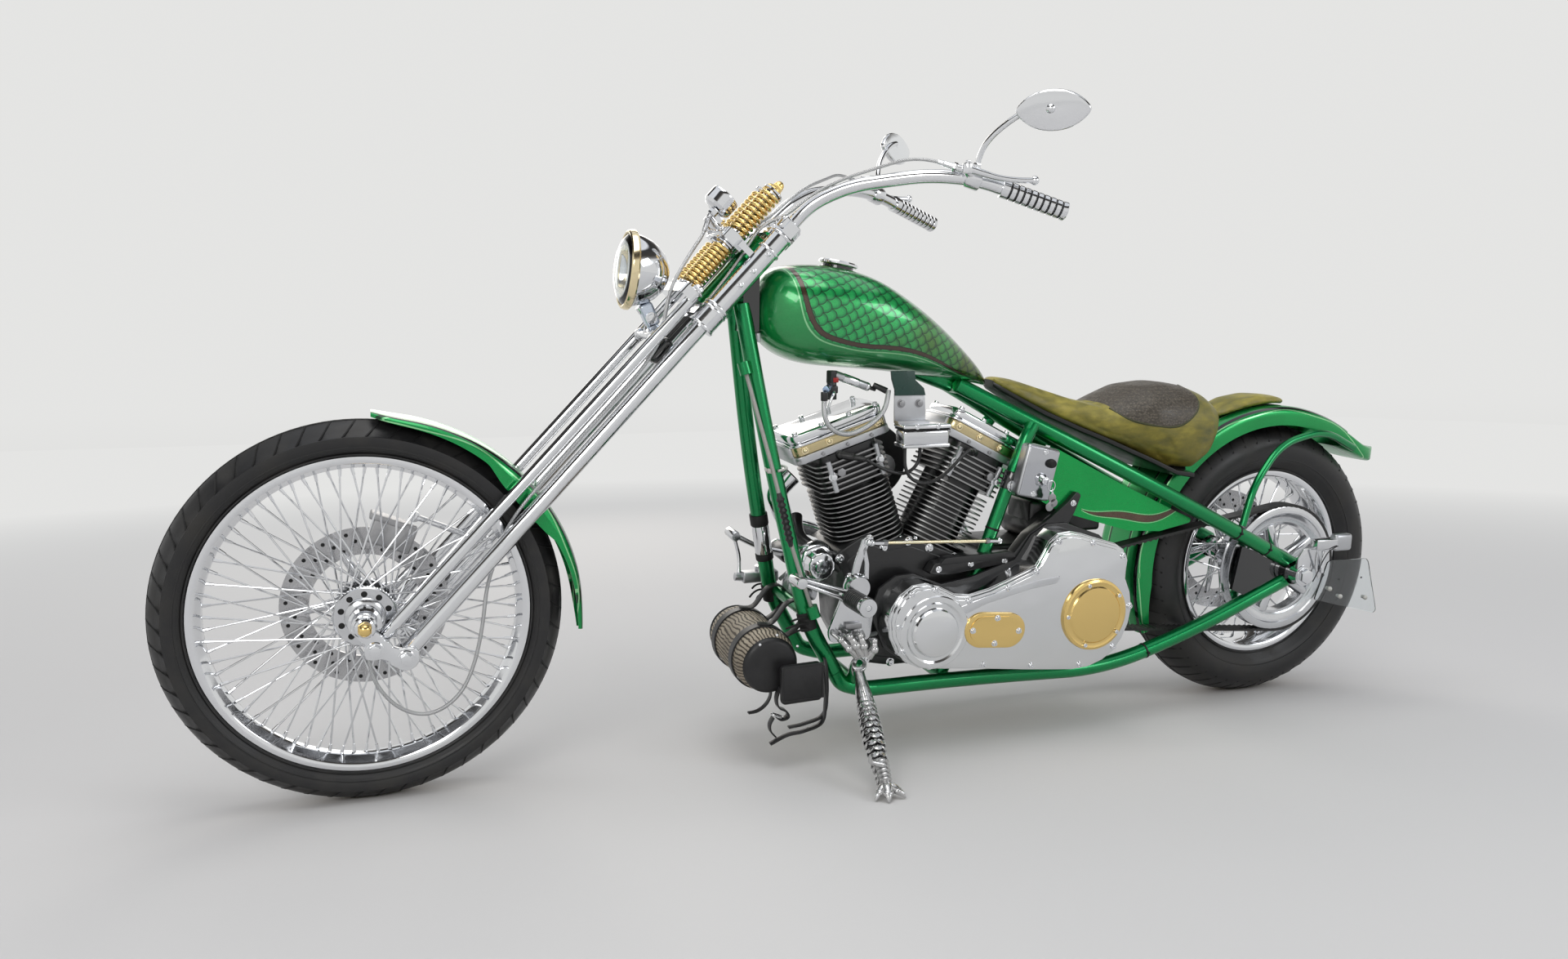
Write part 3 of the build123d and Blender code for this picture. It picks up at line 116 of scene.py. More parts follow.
def fork_point(ahead: float, up: float, side: float = 0.0) -> Vector:
    """Return a point given from the steering axis: ahead of it, along it and sideways."""
    return NECK + AXIS_AHEAD * ahead + AXIS_UP * up + SIDEWAYS * side


def neck_point(x: float, y: float, z: float) -> Vector:
    """Return a point given from the neck by level and upright distances."""
    return NECK + Vector((x, y, z))


def mirrored(points: Iterable[Point]) -> list[Vector]:
    """Return a route's points on the other side of the motorcycle."""
    return [Vector((p[0], -p[1], p[2])) for p in points]


def basis(origin: Point, z_dir: Point, x_dir: Point | None = None) -> Matrix:
    """Return the placement whose z axis points along z_dir.

    Args:
        origin: Where the placement's own origin goes.
        z_dir: The direction of its z axis.
        x_dir: A direction that its x axis stays near, or None for any.

    Returns:
        A matrix from the placement's own millimetres to the motorcycle's.
    """
    z_axis = Vector(z_dir).normalized()
    if x_dir is None:
        x_dir = (0.0, 1.0, 0.0) if abs(z_axis.y) < 0.9 else (1.0, 0.0, 0.0)
    y_axis = z_axis.cross(Vector(x_dir)).normalized()
    x_axis = y_axis.cross(z_axis)
    turn = Matrix((x_axis, y_axis, z_axis)).transposed().to_4x4()
    return Matrix.Translation(Vector(origin)) @ turn


FORK_TURN = basis((0, 0, 0), AXIS_UP, AXIS_AHEAD).to_3x3()


class Body(Enum):
    """The rigid bodies that a piece can ride on."""

    FRAME = "frame"
    FORK = "fork"
    FRONT_WHEEL = "front_wheel"
    REAR_WHEEL = "rear_wheel"
    STAND = "side_stand"


class NodeTree:
    """A node tree, with short calls for the nodes that the finishes use."""

    def __init__(self, tree: bpy.types.NodeTree) -> None:
        """Start with a tree and its texture coordinates."""
        self.tree = tree
        self.coordinates = self.node("ShaderNodeTexCoord").outputs
        self.place = self.coordinates["Object"]

    def node(self, kind: str, inputs: dict[int | str, Any] | None = None, **settings: Any) -> bpy.types.Node:
        """Add a node, with its settings, and link or set its inputs.

        Args:
            kind: The node's type.
            inputs: A socket to link or a value to set, for each input.
            settings: The node's own properties.

        Returns:
            The node.
        """
        made = self.tree.nodes.new(kind)
        for key, value in settings.items():
            setattr(made, key, value)
        for key, value in (inputs or {}).items():
            if isinstance(value, bpy.types.NodeSocket):
                self.link(value, made.inputs[key])
            else:
                made.inputs[key].default_value = value
        return made

    def link(self, value: bpy.types.NodeSocket, socket: bpy.types.NodeSocket) -> None:
        """Let a value feed a socket."""
        self.tree.links.new(value, socket)

    def math(self, operation: str, first: Any, second: Any = 0.0, third: Any = 0.0) -> bpy.types.NodeSocket:
        """Return the result of a Math node."""
        return self.node("ShaderNodeMath", {0: first, 1: second, 2: third}, operation=operation).outputs[0]

    def plus(self, first: Any, second: Any) -> bpy.types.NodeSocket:
        """Return a sum."""
        return self.math("ADD", first, second)

    def minus(self, first: Any, second: Any) -> bpy.types.NodeSocket:
        """Return a difference."""
        return self.math("SUBTRACT", first, second)

    def times(self, first: Any, second: Any) -> bpy.types.NodeSocket:
        """Return a product."""
        return self.math("MULTIPLY", first, second)

    def noise(self, scale: float, detail: float = 3.0, place: Any = None,
              stretch: Point = (1, 1, 1)) -> bpy.types.NodeSocket:
        """Return a noise pattern's value, at a scale in repeats per metre."""
        where = self.node("ShaderNodeMapping", {0: place or self.place, 3: tuple(stretch)}).outputs[0]
        return self.node("ShaderNodeTexNoise", {"Vector": where, "Scale": scale, "Detail": detail}).outputs[0]

    def cells(self, scale: float, feature: str = "F1", place: Any = None) -> bpy.types.Node:
        """Return a cell pattern's node, at a scale in repeats per metre."""
        return self.node("ShaderNodeTexVoronoi", {"Vector": place or self.place, "Scale": scale},
                         feature=feature)

    def ramp(self, value: Any, *stops: tuple[float, Colour]) -> bpy.types.NodeSocket:
        """Return a colour that runs through stops as a value goes from 0 to 1."""
        node = self.node("ShaderNodeValToRGB", {0: value})
        points = node.color_ramp.elements
        while len(points) < len(stops):
            points.new(0.5)
        for point, (at, colour) in zip(points, stops):
            point.position = at
            point.color = (*colour, 1.0)
        return node.outputs[0]

    def spread(self, value: Any, low: float, high: float, start: float = 0.0,
               end: float = 1.0) -> bpy.types.NodeSocket:
        """Return a value stretched from one range to another and held at its ends."""
        return self.node("ShaderNodeMapRange", {0: value, 1: start, 2: end, 3: low, 4: high}).outputs[0]

    def mix(self, share: Any, first: Any, second: Any) -> bpy.types.NodeSocket:
        """Return a mix of two colours."""
        colours = {6: first, 7: second}
        inputs = {key: (*c, 1.0) if isinstance(c, tuple) else c for key, c in colours.items()}
        return self.node("ShaderNodeMix", {0: share, **inputs}, data_type="RGBA").outputs[2]

    def bump(self, height: Any, depth: float, strength: float = 1.0,
             below: Any = None) -> bpy.types.NodeSocket:
        """Return a normal bumped by a height, with its depth in metres."""
        inputs = {"Height": height, "Distance": depth, "Strength": strength}
        if below is not None:
            inputs["Normal"] = below
        return self.node("ShaderNodeBump", inputs).outputs[0]

    def apart(self, vector: Any) -> Sequence[bpy.types.NodeSocket]:
        """Return a vector's three parts."""
        return self.node("ShaderNodeSeparateXYZ", {0: vector}).outputs

    def carried(self, name: str) -> Sequence[bpy.types.NodeSocket]:
        """Return the three parts of an attribute that the piece carries."""
        return self.apart(self.node("ShaderNodeAttribute", attribute_name=name).outputs["Vector"])

    def seen(self) -> bpy.types.NodeSocket:
        """Return 1 for what the camera sees, straight or in a mirror, and 0 for what only gives light."""
        rays = self.node("ShaderNodeLightPath").outputs
        shine = self.math("MAXIMUM", rays["Is Glossy Ray"], rays["Is Transmission Ray"])
        return self.math("MAXIMUM", rays["Is Camera Ray"], shine)


class Recipe(NodeTree):
    """A material, made of one shader."""

    def __init__(self, name: str) -> None:
        """Start a material of this name."""
        self.material = bpy.data.materials.new(name)
        self.material.use_nodes = True
        super().__init__(self.material.node_tree)
        self.shader = self.tree.nodes["Principled BSDF"]

    def set(self, **inputs: Any) -> bpy.types.Material:
        """Link or set the shader's sockets, named with _ for spaces, and return the material."""
        for key, value in inputs.items():
            socket = self.shader.inputs[key.replace("_", " ")]
            if isinstance(value, bpy.types.NodeSocket):
                self.link(value, socket)
            elif isinstance(value, tuple) and len(value) == 3:
                socket.default_value = (*value, 1.0)
            else:
                socket.default_value = value
        return self.material


@dataclass(frozen=True)
class Finish:
    """The base of every finish: a name, and a material that is made once."""

    name: str = "finish"

    def dress(self, recipe: Recipe) -> None:
        """Fill in the material."""
        raise NotImplementedError

    def material(self) -> bpy.types.Material:
        """Return the finish's material, made at its first use."""
        name = f"{self.name}_finish"
        known = bpy.data.materials.get(name)
        if known is None:
            recipe = Recipe(name)
            self.dress(recipe)
            known = recipe.material
        return known


@dataclass(frozen=True)
class Plated(Finish):
    """Polished plating over metal, with faint smears and a slightly wavy surface.

    Attributes:
        colour: The metal's colour.
        roughness: Its least and most roughness.
        wave: The depth of its waviness, in metres.
        pace: How close its waves are.
    """

    colour: Colour = (0.80, 0.81, 0.83)
    roughness: tuple[float, float] = (0.05, 0.13)
    wave: float = 0.00006
    pace: float = 45.0

    def dress(self, recipe: Recipe) -> None:
        """Fill in the material."""
        smears = recipe.noise(14.0, 4.0)
        tint = recipe.mix(recipe.noise(9.0, 2.0), tuple(0.93 * c for c in self.colour), self.colour)
        recipe.set(Base_Color=tint, Metallic=1.0,
                   Roughness=recipe.spread(smears, *self.roughness, 0.3, 0.75),
                   Normal=recipe.bump(recipe.noise(self.pace, 1.0), self.wave))


@dataclass(frozen=True)
class Brushed(Finish):
    """Bare metal with fine brush marks along one direction.

    Attributes:
        colour: The metal's colour.
        roughness: Its least and most roughness.
        stretch: How the marks are drawn out along x, y and z.
        depth: The depth of the marks, in metres.
    """

    colour: Colour = (0.62, 0.63, 0.65)
    roughness: tuple[float, float] = (0.2, 0.36)
    stretch: tuple[float, float, float] = (1.0, 1.0, 14.0)
    depth: float = 0.00005

    def dress(self, recipe: Recipe) -> None:
        """Fill in the material."""
        marks = recipe.noise(170.0, 5.0, stretch=self.stretch)
        patches = recipe.noise(22.0, 3.0)
        tint = recipe.mix(patches, tuple(0.8 * c for c in self.colour), self.colour)
        recipe.set(Base_Color=tint, Metallic=1.0, Roughness=recipe.spread(marks, *self.roughness, 0.3, 0.7),
                   Normal=recipe.bump(marks, self.depth))


@dataclass(frozen=True)
class Enamel(Finish):
    """Paint on metal: a colour that drifts a little, under a clear coat.

    Attributes:
        colour: The paint's colour.
        dark: The colour that it drifts to.
        roughness: Its least and most roughness.
        coat: The share of clear coat.
        metallic: How metallic the paint is.
        grain: The depth of its surface grain, in metres.
        grain_scale: The grain's repeats per metre.
    """

    colour: Colour = (0.01, 0.01, 0.011)
    dark: Colour = (0.006, 0.006, 0.007)
    roughness: tuple[float, float] = (0.12, 0.3)
    coat: float = 0.6
    metallic: float = 0.0
    grain: float = 0.00004
    grain_scale: float = 420.0

    def dress(self, recipe: Recipe) -> None:
        """Fill in the material."""
        drift = recipe.noise(11.0, 3.0)
        recipe.set(Base_Color=recipe.mix(drift, self.dark, self.colour), Metallic=self.metallic,
                   Roughness=recipe.spread(recipe.noise(30.0, 4.0), *self.roughness, 0.35, 0.7),
                   Coat_Weight=self.coat, Coat_Roughness=0.05,
                   Normal=recipe.bump(recipe.noise(self.grain_scale, 2.0), self.grain))


@dataclass(frozen=True)
class Candy(Finish):
    """Deep candy paint: a tinted metal flake under a thick clear coat.

    Attributes:
        colour: The paint where light strikes it.
        deep: The paint where it is in shade.
        flake: The flakes' repeats per metre.
    """

    colour: Colour = (0.0, 0.50, 0.10)
    deep: Colour = (0.0, 0.27, 0.05)
    flake: float = 1500.0

    def dress(self, recipe: Recipe) -> None:
        """Fill in the material."""
        drift = recipe.mix(recipe.noise(6.0, 3.0), self.deep, self.colour)
        recipe.set(Base_Color=drift, Metallic=0.8,
                   Roughness=recipe.spread(recipe.noise(self.flake, 1.0), 0.2, 0.36), Coat_Weight=0.5,
                   Coat_Roughness=0.03, Normal=recipe.bump(recipe.noise(self.flake, 1.0), 0.00003))


@dataclass(frozen=True)
class Rubber(Finish):
    """Matt rubber with dust in its grain.

    Attributes:
        colour: The rubber's colour.
        dust: The colour that dust gives it.
        roughness: Its least and most roughness.
        grain: The depth of its grain, in metres.
        grain_scale: The grain's repeats per metre.
    """

    colour: Colour = (0.016, 0.016, 0.017)
    dust: Colour = (0.04, 0.038, 0.035)
    roughness: tuple[float, float] = (0.42, 0.7)
    grain: float = 0.00012
    grain_scale: float = 260.0

    def dress(self, recipe: Recipe) -> None:
        """Fill in the material."""
        patches = recipe.spread(recipe.noise(18.0, 5.0), 0.0, 1.0, 0.45, 0.8)
        recipe.set(Base_Color=recipe.mix(patches, self.colour, self.dust),
                   Roughness=recipe.spread(patches, *self.roughness),
                   Normal=recipe.bump(recipe.noise(self.grain_scale, 4.0), self.grain))


@dataclass(frozen=True)
class Braid(Finish):
    """A braided sleeve, whose strands cross along the cord's own attribute.

    Attributes:
        colour: The strands' colour.
        gap: The colour between the strands.
        metallic: How metallic the strands are.
        pitch: The strands' repeats per metre of cord.
        turns: The strands' repeats around the cord.
    """

    colour: Colour = (0.62, 0.63, 0.64)
    gap: Colour = (0.12, 0.12, 0.12)
    metallic: float = 0.8
    pitch: float = 260.0
    turns: float = 6.0

    def dress(self, recipe: Recipe) -> None:
        """Fill in the material."""
        apart = recipe.carried("lay")
        along = recipe.times(apart[0], self.pitch)
        around = recipe.times(apart[1], self.turns)
        first = recipe.math("PINGPONG", recipe.plus(along, around), 0.5)
        second = recipe.math("PINGPONG", recipe.minus(along, around), 0.5)
        strands = recipe.times(recipe.math("MAXIMUM", first, second), 2.0)
        recipe.set(Base_Color=recipe.ramp(strands, (0.25, self.gap), (0.7, self.colour)),
                   Metallic=self.metallic, Roughness=0.33, Coat_Weight=0.7, Coat_Roughness=0.1,
                   Normal=recipe.bump(strands, 0.0004))


@dataclass(frozen=True)
class Clear(Finish):
    """Clear glass or plastic, slightly tinted, with faint marks.

    Attributes:
        colour: Its tint.
        roughness: Its least and most roughness.
        ior: Its index of refraction.
    """

    colour: Colour = (0.95, 0.98, 0.99)
    roughness: tuple[float, float] = (0.01, 0.06)
    ior: float = 1.45

    def dress(self, recipe: Recipe) -> None:
        """Fill in the material."""
        recipe.set(Base_Color=self.colour, Transmission_Weight=1.0, IOR=self.ior,
                   Roughness=recipe.spread(recipe.noise(40.0, 4.0), *self.roughness, 0.4, 0.8))


CHROME = Plated("chrome")
# Chrome darkened to look as if it were in shade: painted shade.
CHROME_PAINTED_SHADE = Plated("chrome_in_shade", (0.5, 0.51, 0.54), (0.08, 0.2))
POLISHED = Brushed("polished_aluminium", (0.75, 0.76, 0.78), (0.1, 0.22), (1.0, 1.0, 5.0), 0.00002)
COVER = Plated("polished_cover", (0.78, 0.79, 0.80), (0.07, 0.16), 0.006, 9.0)
SATIN = Brushed("satin_aluminium", (0.58, 0.59, 0.61), (0.28, 0.45))
CAST = Brushed("cast_aluminium", (0.5, 0.5, 0.51), (0.38, 0.6), (1.0, 1.0, 1.0), 0.00018)
STEEL = Brushed("dull_steel", (0.38, 0.38, 0.39), (0.3, 0.5), (1.0, 1.0, 3.0))
BRASS = Plated("brass", (0.86, 0.62, 0.24), (0.12, 0.26), 0.00004)
PALE_BRASS = Plated("pale_brass", (0.87, 0.74, 0.47), (0.1, 0.22), 0.00004)
GOLD_SHADE = Plated("gold_in_shade", (0.62, 0.52, 0.3), (0.12, 0.28), 0.00005)
ENGINE_BLACK = Enamel("engine_black", (0.016, 0.016, 0.017), (0.009, 0.009, 0.01), (0.28, 0.46), 0.25, 0.0,
                      0.00012, 700.0)
GLOSS_BLACK = Enamel("gloss_black", (0.008, 0.009, 0.01), (0.005, 0.005, 0.006), (0.06, 0.14), 1.0, 0.0,
                     0.00002)
FRAME_GREEN = Candy("frame_green", (0.0, 0.32, 0.09), (0.0, 0.18, 0.05))
TYRE_RUBBER = Rubber("tyre_rubber")
BELT_RUBBER = Rubber("belt_rubber", (0.012, 0.012, 0.012), (0.03, 0.03, 0.028), (0.4, 0.6))
CORD_RUBBER = Rubber("cord_rubber", (0.014, 0.014, 0.015), (0.03, 0.03, 0.03), (0.3, 0.5), 0.00006, 500.0)
STEEL_BRAID = Braid("steel_braid")
LENS = Clear("lens_glass")
ACRYLIC = Clear("clear_acrylic", (0.9, 0.94, 0.95), (0.02, 0.1), 1.49)
CLEAR_BRAID = Braid("clear_braid", (0.5, 0.5, 0.47), (0.16, 0.15, 0.13), 0.3, 300.0, 5.0)
TIE_WHITE = Enamel("white_nylon", (0.75, 0.75, 0.72), (0.62, 0.62, 0.58), (0.35, 0.5), 0.1)
RED_PLASTIC = Enamel("red_tab", (0.55, 0.015, 0.01), (0.4, 0.01, 0.01), (0.3, 0.45), 0.3)
BLUE_ANODISED = Plated("blue_anodised", (0.42, 0.55, 0.75), (0.15, 0.28))
# Near-black: the colour of real black ties, sleeves and knobs, and painted shade in the tyres' grooves and in
# the discs' and hubs' holes.
BLACK_AND_PAINTED_SHADE = Rubber("black_and_painted_shade", (0.004, 0.004, 0.004), (0.008, 0.008, 0.008), (0.6, 0.8), 0.00002)
SPOKE_STEEL = Plated("spoke_steel", (0.75, 0.76, 0.78), (0.1, 0.2), 0.00001)
DISC_STEEL = Brushed("disc_steel", (0.55, 0.55, 0.56), (0.18, 0.32), (6.0, 1.0, 6.0), 0.00004)
MACHINED = Brushed("machined_aluminium", (0.72, 0.73, 0.75), (0.14, 0.28), (1.0, 6.0, 1.0), 0.00003)
FIN_EDGE = Brushed("fin_edge", (0.36, 0.36, 0.36), (0.3, 0.45))
BLUE_STEEL = Plated("pale_blue_steel", (0.62, 0.68, 0.78), (0.15, 0.28))
DIAL_WHITE = Enamel("dial_white", (0.7, 0.7, 0.66), (0.6, 0.6, 0.56), (0.4, 0.5), 0.0)
MIRROR_GLASS = Plated("mirror_glass", (0.88, 0.9, 0.92), (0.02, 0.05), 0.0)


class Shape:
    """One piece's mesh in the making, in the upright motorcycle's millimetres."""

    def __init__(self) -> None:
        """Start with nothing in it."""
        self.mesh = bmesh.new()
        self.finishes: list[Finish] = []

    def paint(self, finish: Finish) -> int:
        """Return the index of a finish on this piece, added at its first use."""
        if finish not in self.finishes:
            self.finishes.append(finish)
        return self.finishes.index(finish)

    def stamp(self, blank: bmesh.types.BMesh, finish: Finish | None, *places: Matrix) -> None:
        """Add copies of a blank and free it.

        Args:
            blank: The mesh to copy, whose faces keep their own material where finish is None.
            finish: The finish of the copies.
            places: Where the copies go, or none for one copy where it is.
        """
        if finish is not None:
            index = self.paint(finish)
            for face in blank.faces:
                face.material_index = index
        data = bpy.data.meshes.new("blank")
        blank.to_mesh(data)
        blank.free()
        for place in places or (Matrix.Identity(4),):
            copy = data.copy()
            copy.transform(place)
            if place.determinant() < 0:
                copy.flip_normals()
            self.mesh.from_mesh(copy)
            bpy.data.meshes.remove(copy)
        bpy.data.meshes.remove(data)

    def rod(self, finish: Finish, start: Point, end: Point, radius: float, end_radius: float | None = None,
            sides: int = 24, rounding: float = 0.0) -> None:
        """Add a straight round bar, cone or, with six sides, hexagon.

        Args:
            finish: Its finish.
            start: The middle of its first end.
            end: The middle of its other end.
            radius: Its radius at the start.
            end_radius: Its radius at the end, or None for the same.
            sides: The number of its sides.
            rounding: The size of the rounding along its two rims.
        """
        start, end = Vector(start), Vector(end)
        blank = bmesh.new()
        bmesh.ops.create_cone(blank, cap_ends=True, segments=sides, radius1=radius,
                              radius2=radius if end_radius is None else end_radius,
                              depth=(end - start).length)
        if rounding:
            rims = [e for e in blank.edges if any(len(f.verts) == sides for f in e.link_faces)]
            round_edges(blank, rims, rounding)
        self.stamp(blank, finish, basis((start + end) / 2, end - start))

    def ring(self, finish: Finish, centre: Point, low: float, high: float, radius: float, sides: int = 40,
             rounding: float = 0.0) -> None:
        """Add a disc whose axis runs sideways, between two distances to the left."""
        centre = Vector(centre)
        self.rod(finish, centre + SIDEWAYS * low, centre + SIDEWAYS * high, radius, None, sides, rounding)

    def block(self, finish: Finish, centre: Point, size: Point, rounding: float = 1.0,
              turn: Matrix | None = None, segments: int = 2) -> None:
        """Add a box with rounded edges, turned about its own centre."""
        blank = cube_blank(size)
        if rounding:
            round_edges(blank, blank.edges[:], rounding, segments)
        place = Matrix.Translation(Vector(centre)) @ (turn.to_4x4() if turn else Matrix.Identity(4))
        self.stamp(blank, finish, place)

    def plate(self, finish: Finish, outline: Sequence[Point], low: float, high: float,
              rounding: float = 1.0, place: Matrix | None = None, corners: float = 0.0,
              segments: int = 2) -> None:
        """Add a plate from its outline.

        Args:
            finish: Its finish.
            outline: Its corners, as x and z of the motorcycle, or x and y of a placement.
            low: Where its right or lower face is.
            high: Where its left or upper face is.
            rounding: The rounding of the edges of both faces.
            place: The placement it is drawn on, or None for the motorcycle's side.
            corners: The rounding of the outline's corners.
            segments: The segments of the face roundings.
        """
        if place is None:
            place = Matrix(((1, 0, 0, 0), (0, 0, 1, 0), (0, 1, 0, 0), (0, 0, 0, 1)))
        blank = bmesh.new()
        corners_3d = [blank.verts.new((p[0], p[1], low)) for p in outline]
        blank.faces.new(corners_3d)
        grown = bmesh.ops.extrude_face_region(blank, geom=blank.faces[:])
        raised = [v for v in grown["geom"] if isinstance(v, bmesh.types.BMVert)]
        bmesh.ops.translate(blank, vec=(0, 0, high - low), verts=raised)
        bmesh.ops.recalc_face_normals(blank, faces=blank.faces)
        if corners:
            round_edges(blank, upright_edges(blank, high - low), corners, 5)
        if rounding:
            flat = [e for e in blank.edges if abs(e.verts[0].co.z - e.verts[1].co.z) < 1e-4
                    and len(e.link_faces) == 2 and e.calc_face_angle(0.0) > 0.6]
            round_edges(blank, flat, rounding, segments)
        self.stamp(blank, finish, place)

    def lathe(self, finish: Finish, profile: Sequence[Point], origin: Point, axis: Point, sides: int = 48,
              angle: float = 360.0, x_dir: Point | None = None) -> None:
        """Add a turned shape.

        Args:
            finish: Its finish.
            profile: Its half section, as radius and height along the axis. It is closed where its ends are
                off the axis.
            origin: Where height 0 is.
            axis: The direction of its axis.
            sides: The steps around it.
            angle: How far it is turned, in degrees.
            x_dir: The direction at which a part turn starts.
        """
        blank = bmesh.new()
        points = [blank.verts.new((radius, 0.0, height)) for radius, height in profile]
        edges = [blank.edges.new(pair) for pair in zip(points, points[1:])]
        if profile[0][0] > 1e-6 or profile[-1][0] > 1e-6:
            edges.append(blank.edges.new((points[-1], points[0])))
        bmesh.ops.spin(blank, geom=points + edges, cent=(0, 0, 0), axis=(0, 0, 1), angle=radians(angle),
                       steps=sides, use_merge=angle >= 360.0)
        bmesh.ops.remove_doubles(blank, verts=blank.verts, dist=WELD_MM)
        if angle < 360.0:
            bmesh.ops.holes_fill(blank, edges=[e for e in blank.edges if e.is_boundary], sides=0)
        bmesh.ops.recalc_face_normals(blank, faces=blank.faces)
        self.stamp(blank, finish, basis(origin, axis, x_dir))

    def ball(self, finish: Finish, centre: Point, size: Point | float, rings: int = 12,
             turn: Matrix | None = None) -> None:
        """Add a ball, or an egg where size has three radii."""
        blank = bmesh.new()
        bmesh.ops.create_uvsphere(blank, u_segments=2 * rings, v_segments=rings, radius=1.0)
        radii = Vector((size, size, size)) if isinstance(size, (int, float)) else Vector(size)
        bmesh.ops.scale(blank, vec=radii, verts=blank.verts)
        self.stamp(blank, finish, Matrix.Translation(Vector(centre))
                   @ (turn.to_4x4() if turn else Matrix.Identity(4)))

    def wire(self, finish: Finish, points: Sequence[Point], radius: float | Sequence[float],
             smooth: bool = True, sides: int = 4, steps: int = 6, closed: bool = False) -> None:
        """Add a bent bar along a smooth line.

        Args:
            finish: Its finish.
            points: The line's control points.
            radius: Its radius, or one for each point.
            smooth: Whether the line is rounded, or runs straight from point to point.
            sides: The quarter of the number of its sides.
            steps: The steps from point to point.
            closed: Whether its ends meet.
        """
        radii = [radius] * len(points) if isinstance(radius, (int, float)) else list(radius)
        curve = spline_curve("bar", points, radii, smooth, steps, closed)
        curve.bevel_resolution = sides
        curve.use_fill_caps = not closed
        self.stamp(curve_blank(curve), finish)

    def bolt(self, finish: Finish, foot: Point, direction: Point, radius: float, height: float,
             head: str = "hex", washer: float = 0.0) -> None:
        """Add a bolt's head.

        Args:
            finish: Its finish.
            foot: The middle of its seat.
            direction: The way that it points.
            radius: The head's radius.
            height: The head's height.
            head: hex, dome, acorn, socket or button.
            washer: The radius of a washer under it, or 0.
        """
        foot, along = Vector(foot), Vector(direction).normalized()
        if washer:
            self.rod(finish, foot - along * 0.3, foot + along * 1.2, washer, sides=20, rounding=0.4)
            foot = foot + along * 1.2
        if head == "hex":
            self.rod(finish, foot, foot + along * height, radius, sides=6, rounding=0.12 * radius)
        elif head == "socket":
            self.lathe(finish, [(0, height * 0.45), (radius * 0.5, height * 0.45), (radius * 0.5, height),
                                (radius * 0.9, height), (radius, height * 0.88), (radius, 0), (0, 0)], foot,
                       along, 16)
        else:
            if head == "acorn":
                self.rod(finish, foot, foot + along * height * 0.45, radius, sides=6, rounding=0.1 * radius)
                foot, height = foot + along * height * 0.45, height * 0.55
            profile = [(radius * 0.92 * cos(a), height * sin(a)) for a in (k * pi / 10 for k in range(5))]
            self.lathe(finish, [(0, 0), *profile, (0, height)], foot, along, 18)

    def mirror(self) -> None:
        """Add the mirror image of all that is drawn so far on the motorcycle's other side."""
        copy = bpy.data.meshes.new("mirror")
        self.mesh.to_mesh(copy)
        copy.transform(Matrix.Scale(-1.0, 4, SIDEWAYS))
        copy.flip_normals()
        self.mesh.from_mesh(copy)
        bpy.data.meshes.remove(copy)


def cube_blank(size: Point) -> bmesh.types.BMesh:
    """Return a box about the origin as a blank."""
    blank = bmesh.new()
    bmesh.ops.create_cube(blank, size=1.0)
    bmesh.ops.scale(blank, vec=Vector(size), verts=blank.verts)
    return blank


def upright_edges(blank: bmesh.types.BMesh, height: float) -> list[bmesh.types.BMEdge]:
    """Return a blank's edges that climb more than half of its height."""
    return [e for e in blank.edges if abs(e.verts[0].co.z - e.verts[1].co.z) > 0.5 * height]


def round_edges(blank: bmesh.types.BMesh, edges: Sequence[bmesh.types.BMEdge], size: float,
                segments: int = 2) -> None:
    """Round edges of a blank, without letting two roundings cross."""
    bmesh.ops.bevel(blank, geom=list(edges), offset=size, offset_type="OFFSET", segments=segments,
                    profile=0.5, affect="EDGES", clamp_overlap=True, material=-1)


def spline_curve(name: str, points: Sequence[Point], radii: Sequence[float], smooth: bool = True,
                 steps: int = 6, closed: bool = False) -> bpy.types.Curve:
    """Return a curve of one spline through, or near, its points.

    Args:
        name: The curve's name.
        points: Its control points.
        radii: The tube's radius at each point.
        smooth: Whether it is a NURBS spline, or straight runs.
        steps: The steps from point to point.
        closed: Whether its ends meet.

    Returns:
        The curve, with its bevel set to the largest radius.
    """
    curve = bpy.data.curves.new(name, "CURVE")
    curve.dimensions = "3D"
    spline = curve.splines.new("NURBS" if smooth else "POLY")
    spline.points.add(len(points) - 1)
    for knot, point, radius in zip(spline.points, points, radii):
        knot.co = (*point, 1.0)
        knot.radius = radius / max(radii)
    if smooth:
        spline.order_u = 3
        spline.use_endpoint_u = not closed
    spline.use_cyclic_u = closed
    spline.resolution_u = steps
    curve.bevel_depth = max(radii)
    curve.use_fill_caps = True
    return curve


def curve_blank(curve: bpy.types.Curve, weld: float = WELD_MM) -> bmesh.types.BMesh:
    """Return a curve's tube as a blank, with its points welded at a distance, and remove the curve."""
    holder = bpy.data.objects.new(curve.name, curve)
    data = bpy.data.meshes.new_from_object(holder)
    blank = bmesh.new()
    blank.from_mesh(data)
    bmesh.ops.remove_doubles(blank, verts=blank.verts, dist=weld)
    bmesh.ops.recalc_face_normals(blank, faces=blank.faces)
    bpy.data.objects.remove(holder)
    bpy.data.curves.remove(curve)
    bpy.data.meshes.remove(data)
    return blank


def linked(name: str, data: bpy.types.ID) -> bpy.types.Object:
    """Return a new object of some data, which is in the scene."""
    made = bpy.data.objects.new(name, data)
    bpy.context.scene.collection.objects.link(made)
    return made


def mesh_of(blank: bmesh.types.BMesh, name: str) -> bpy.types.Mesh:
    """Return a blank as a mesh, and free it."""
    data = bpy.data.meshes.new(name)
    blank.to_mesh(data)
    blank.free()
    return data


def carry(data: bpy.types.Mesh, name: str, value: Callable[[Vector], Point]) -> None:
    """Give a mesh an attribute that holds a vector for each of its points."""
    carried = data.attributes.new(name, "FLOAT_VECTOR", "POINT")
    for item, vertex in zip(carried.data, data.vertices):
        item.vector = value(vertex.co)


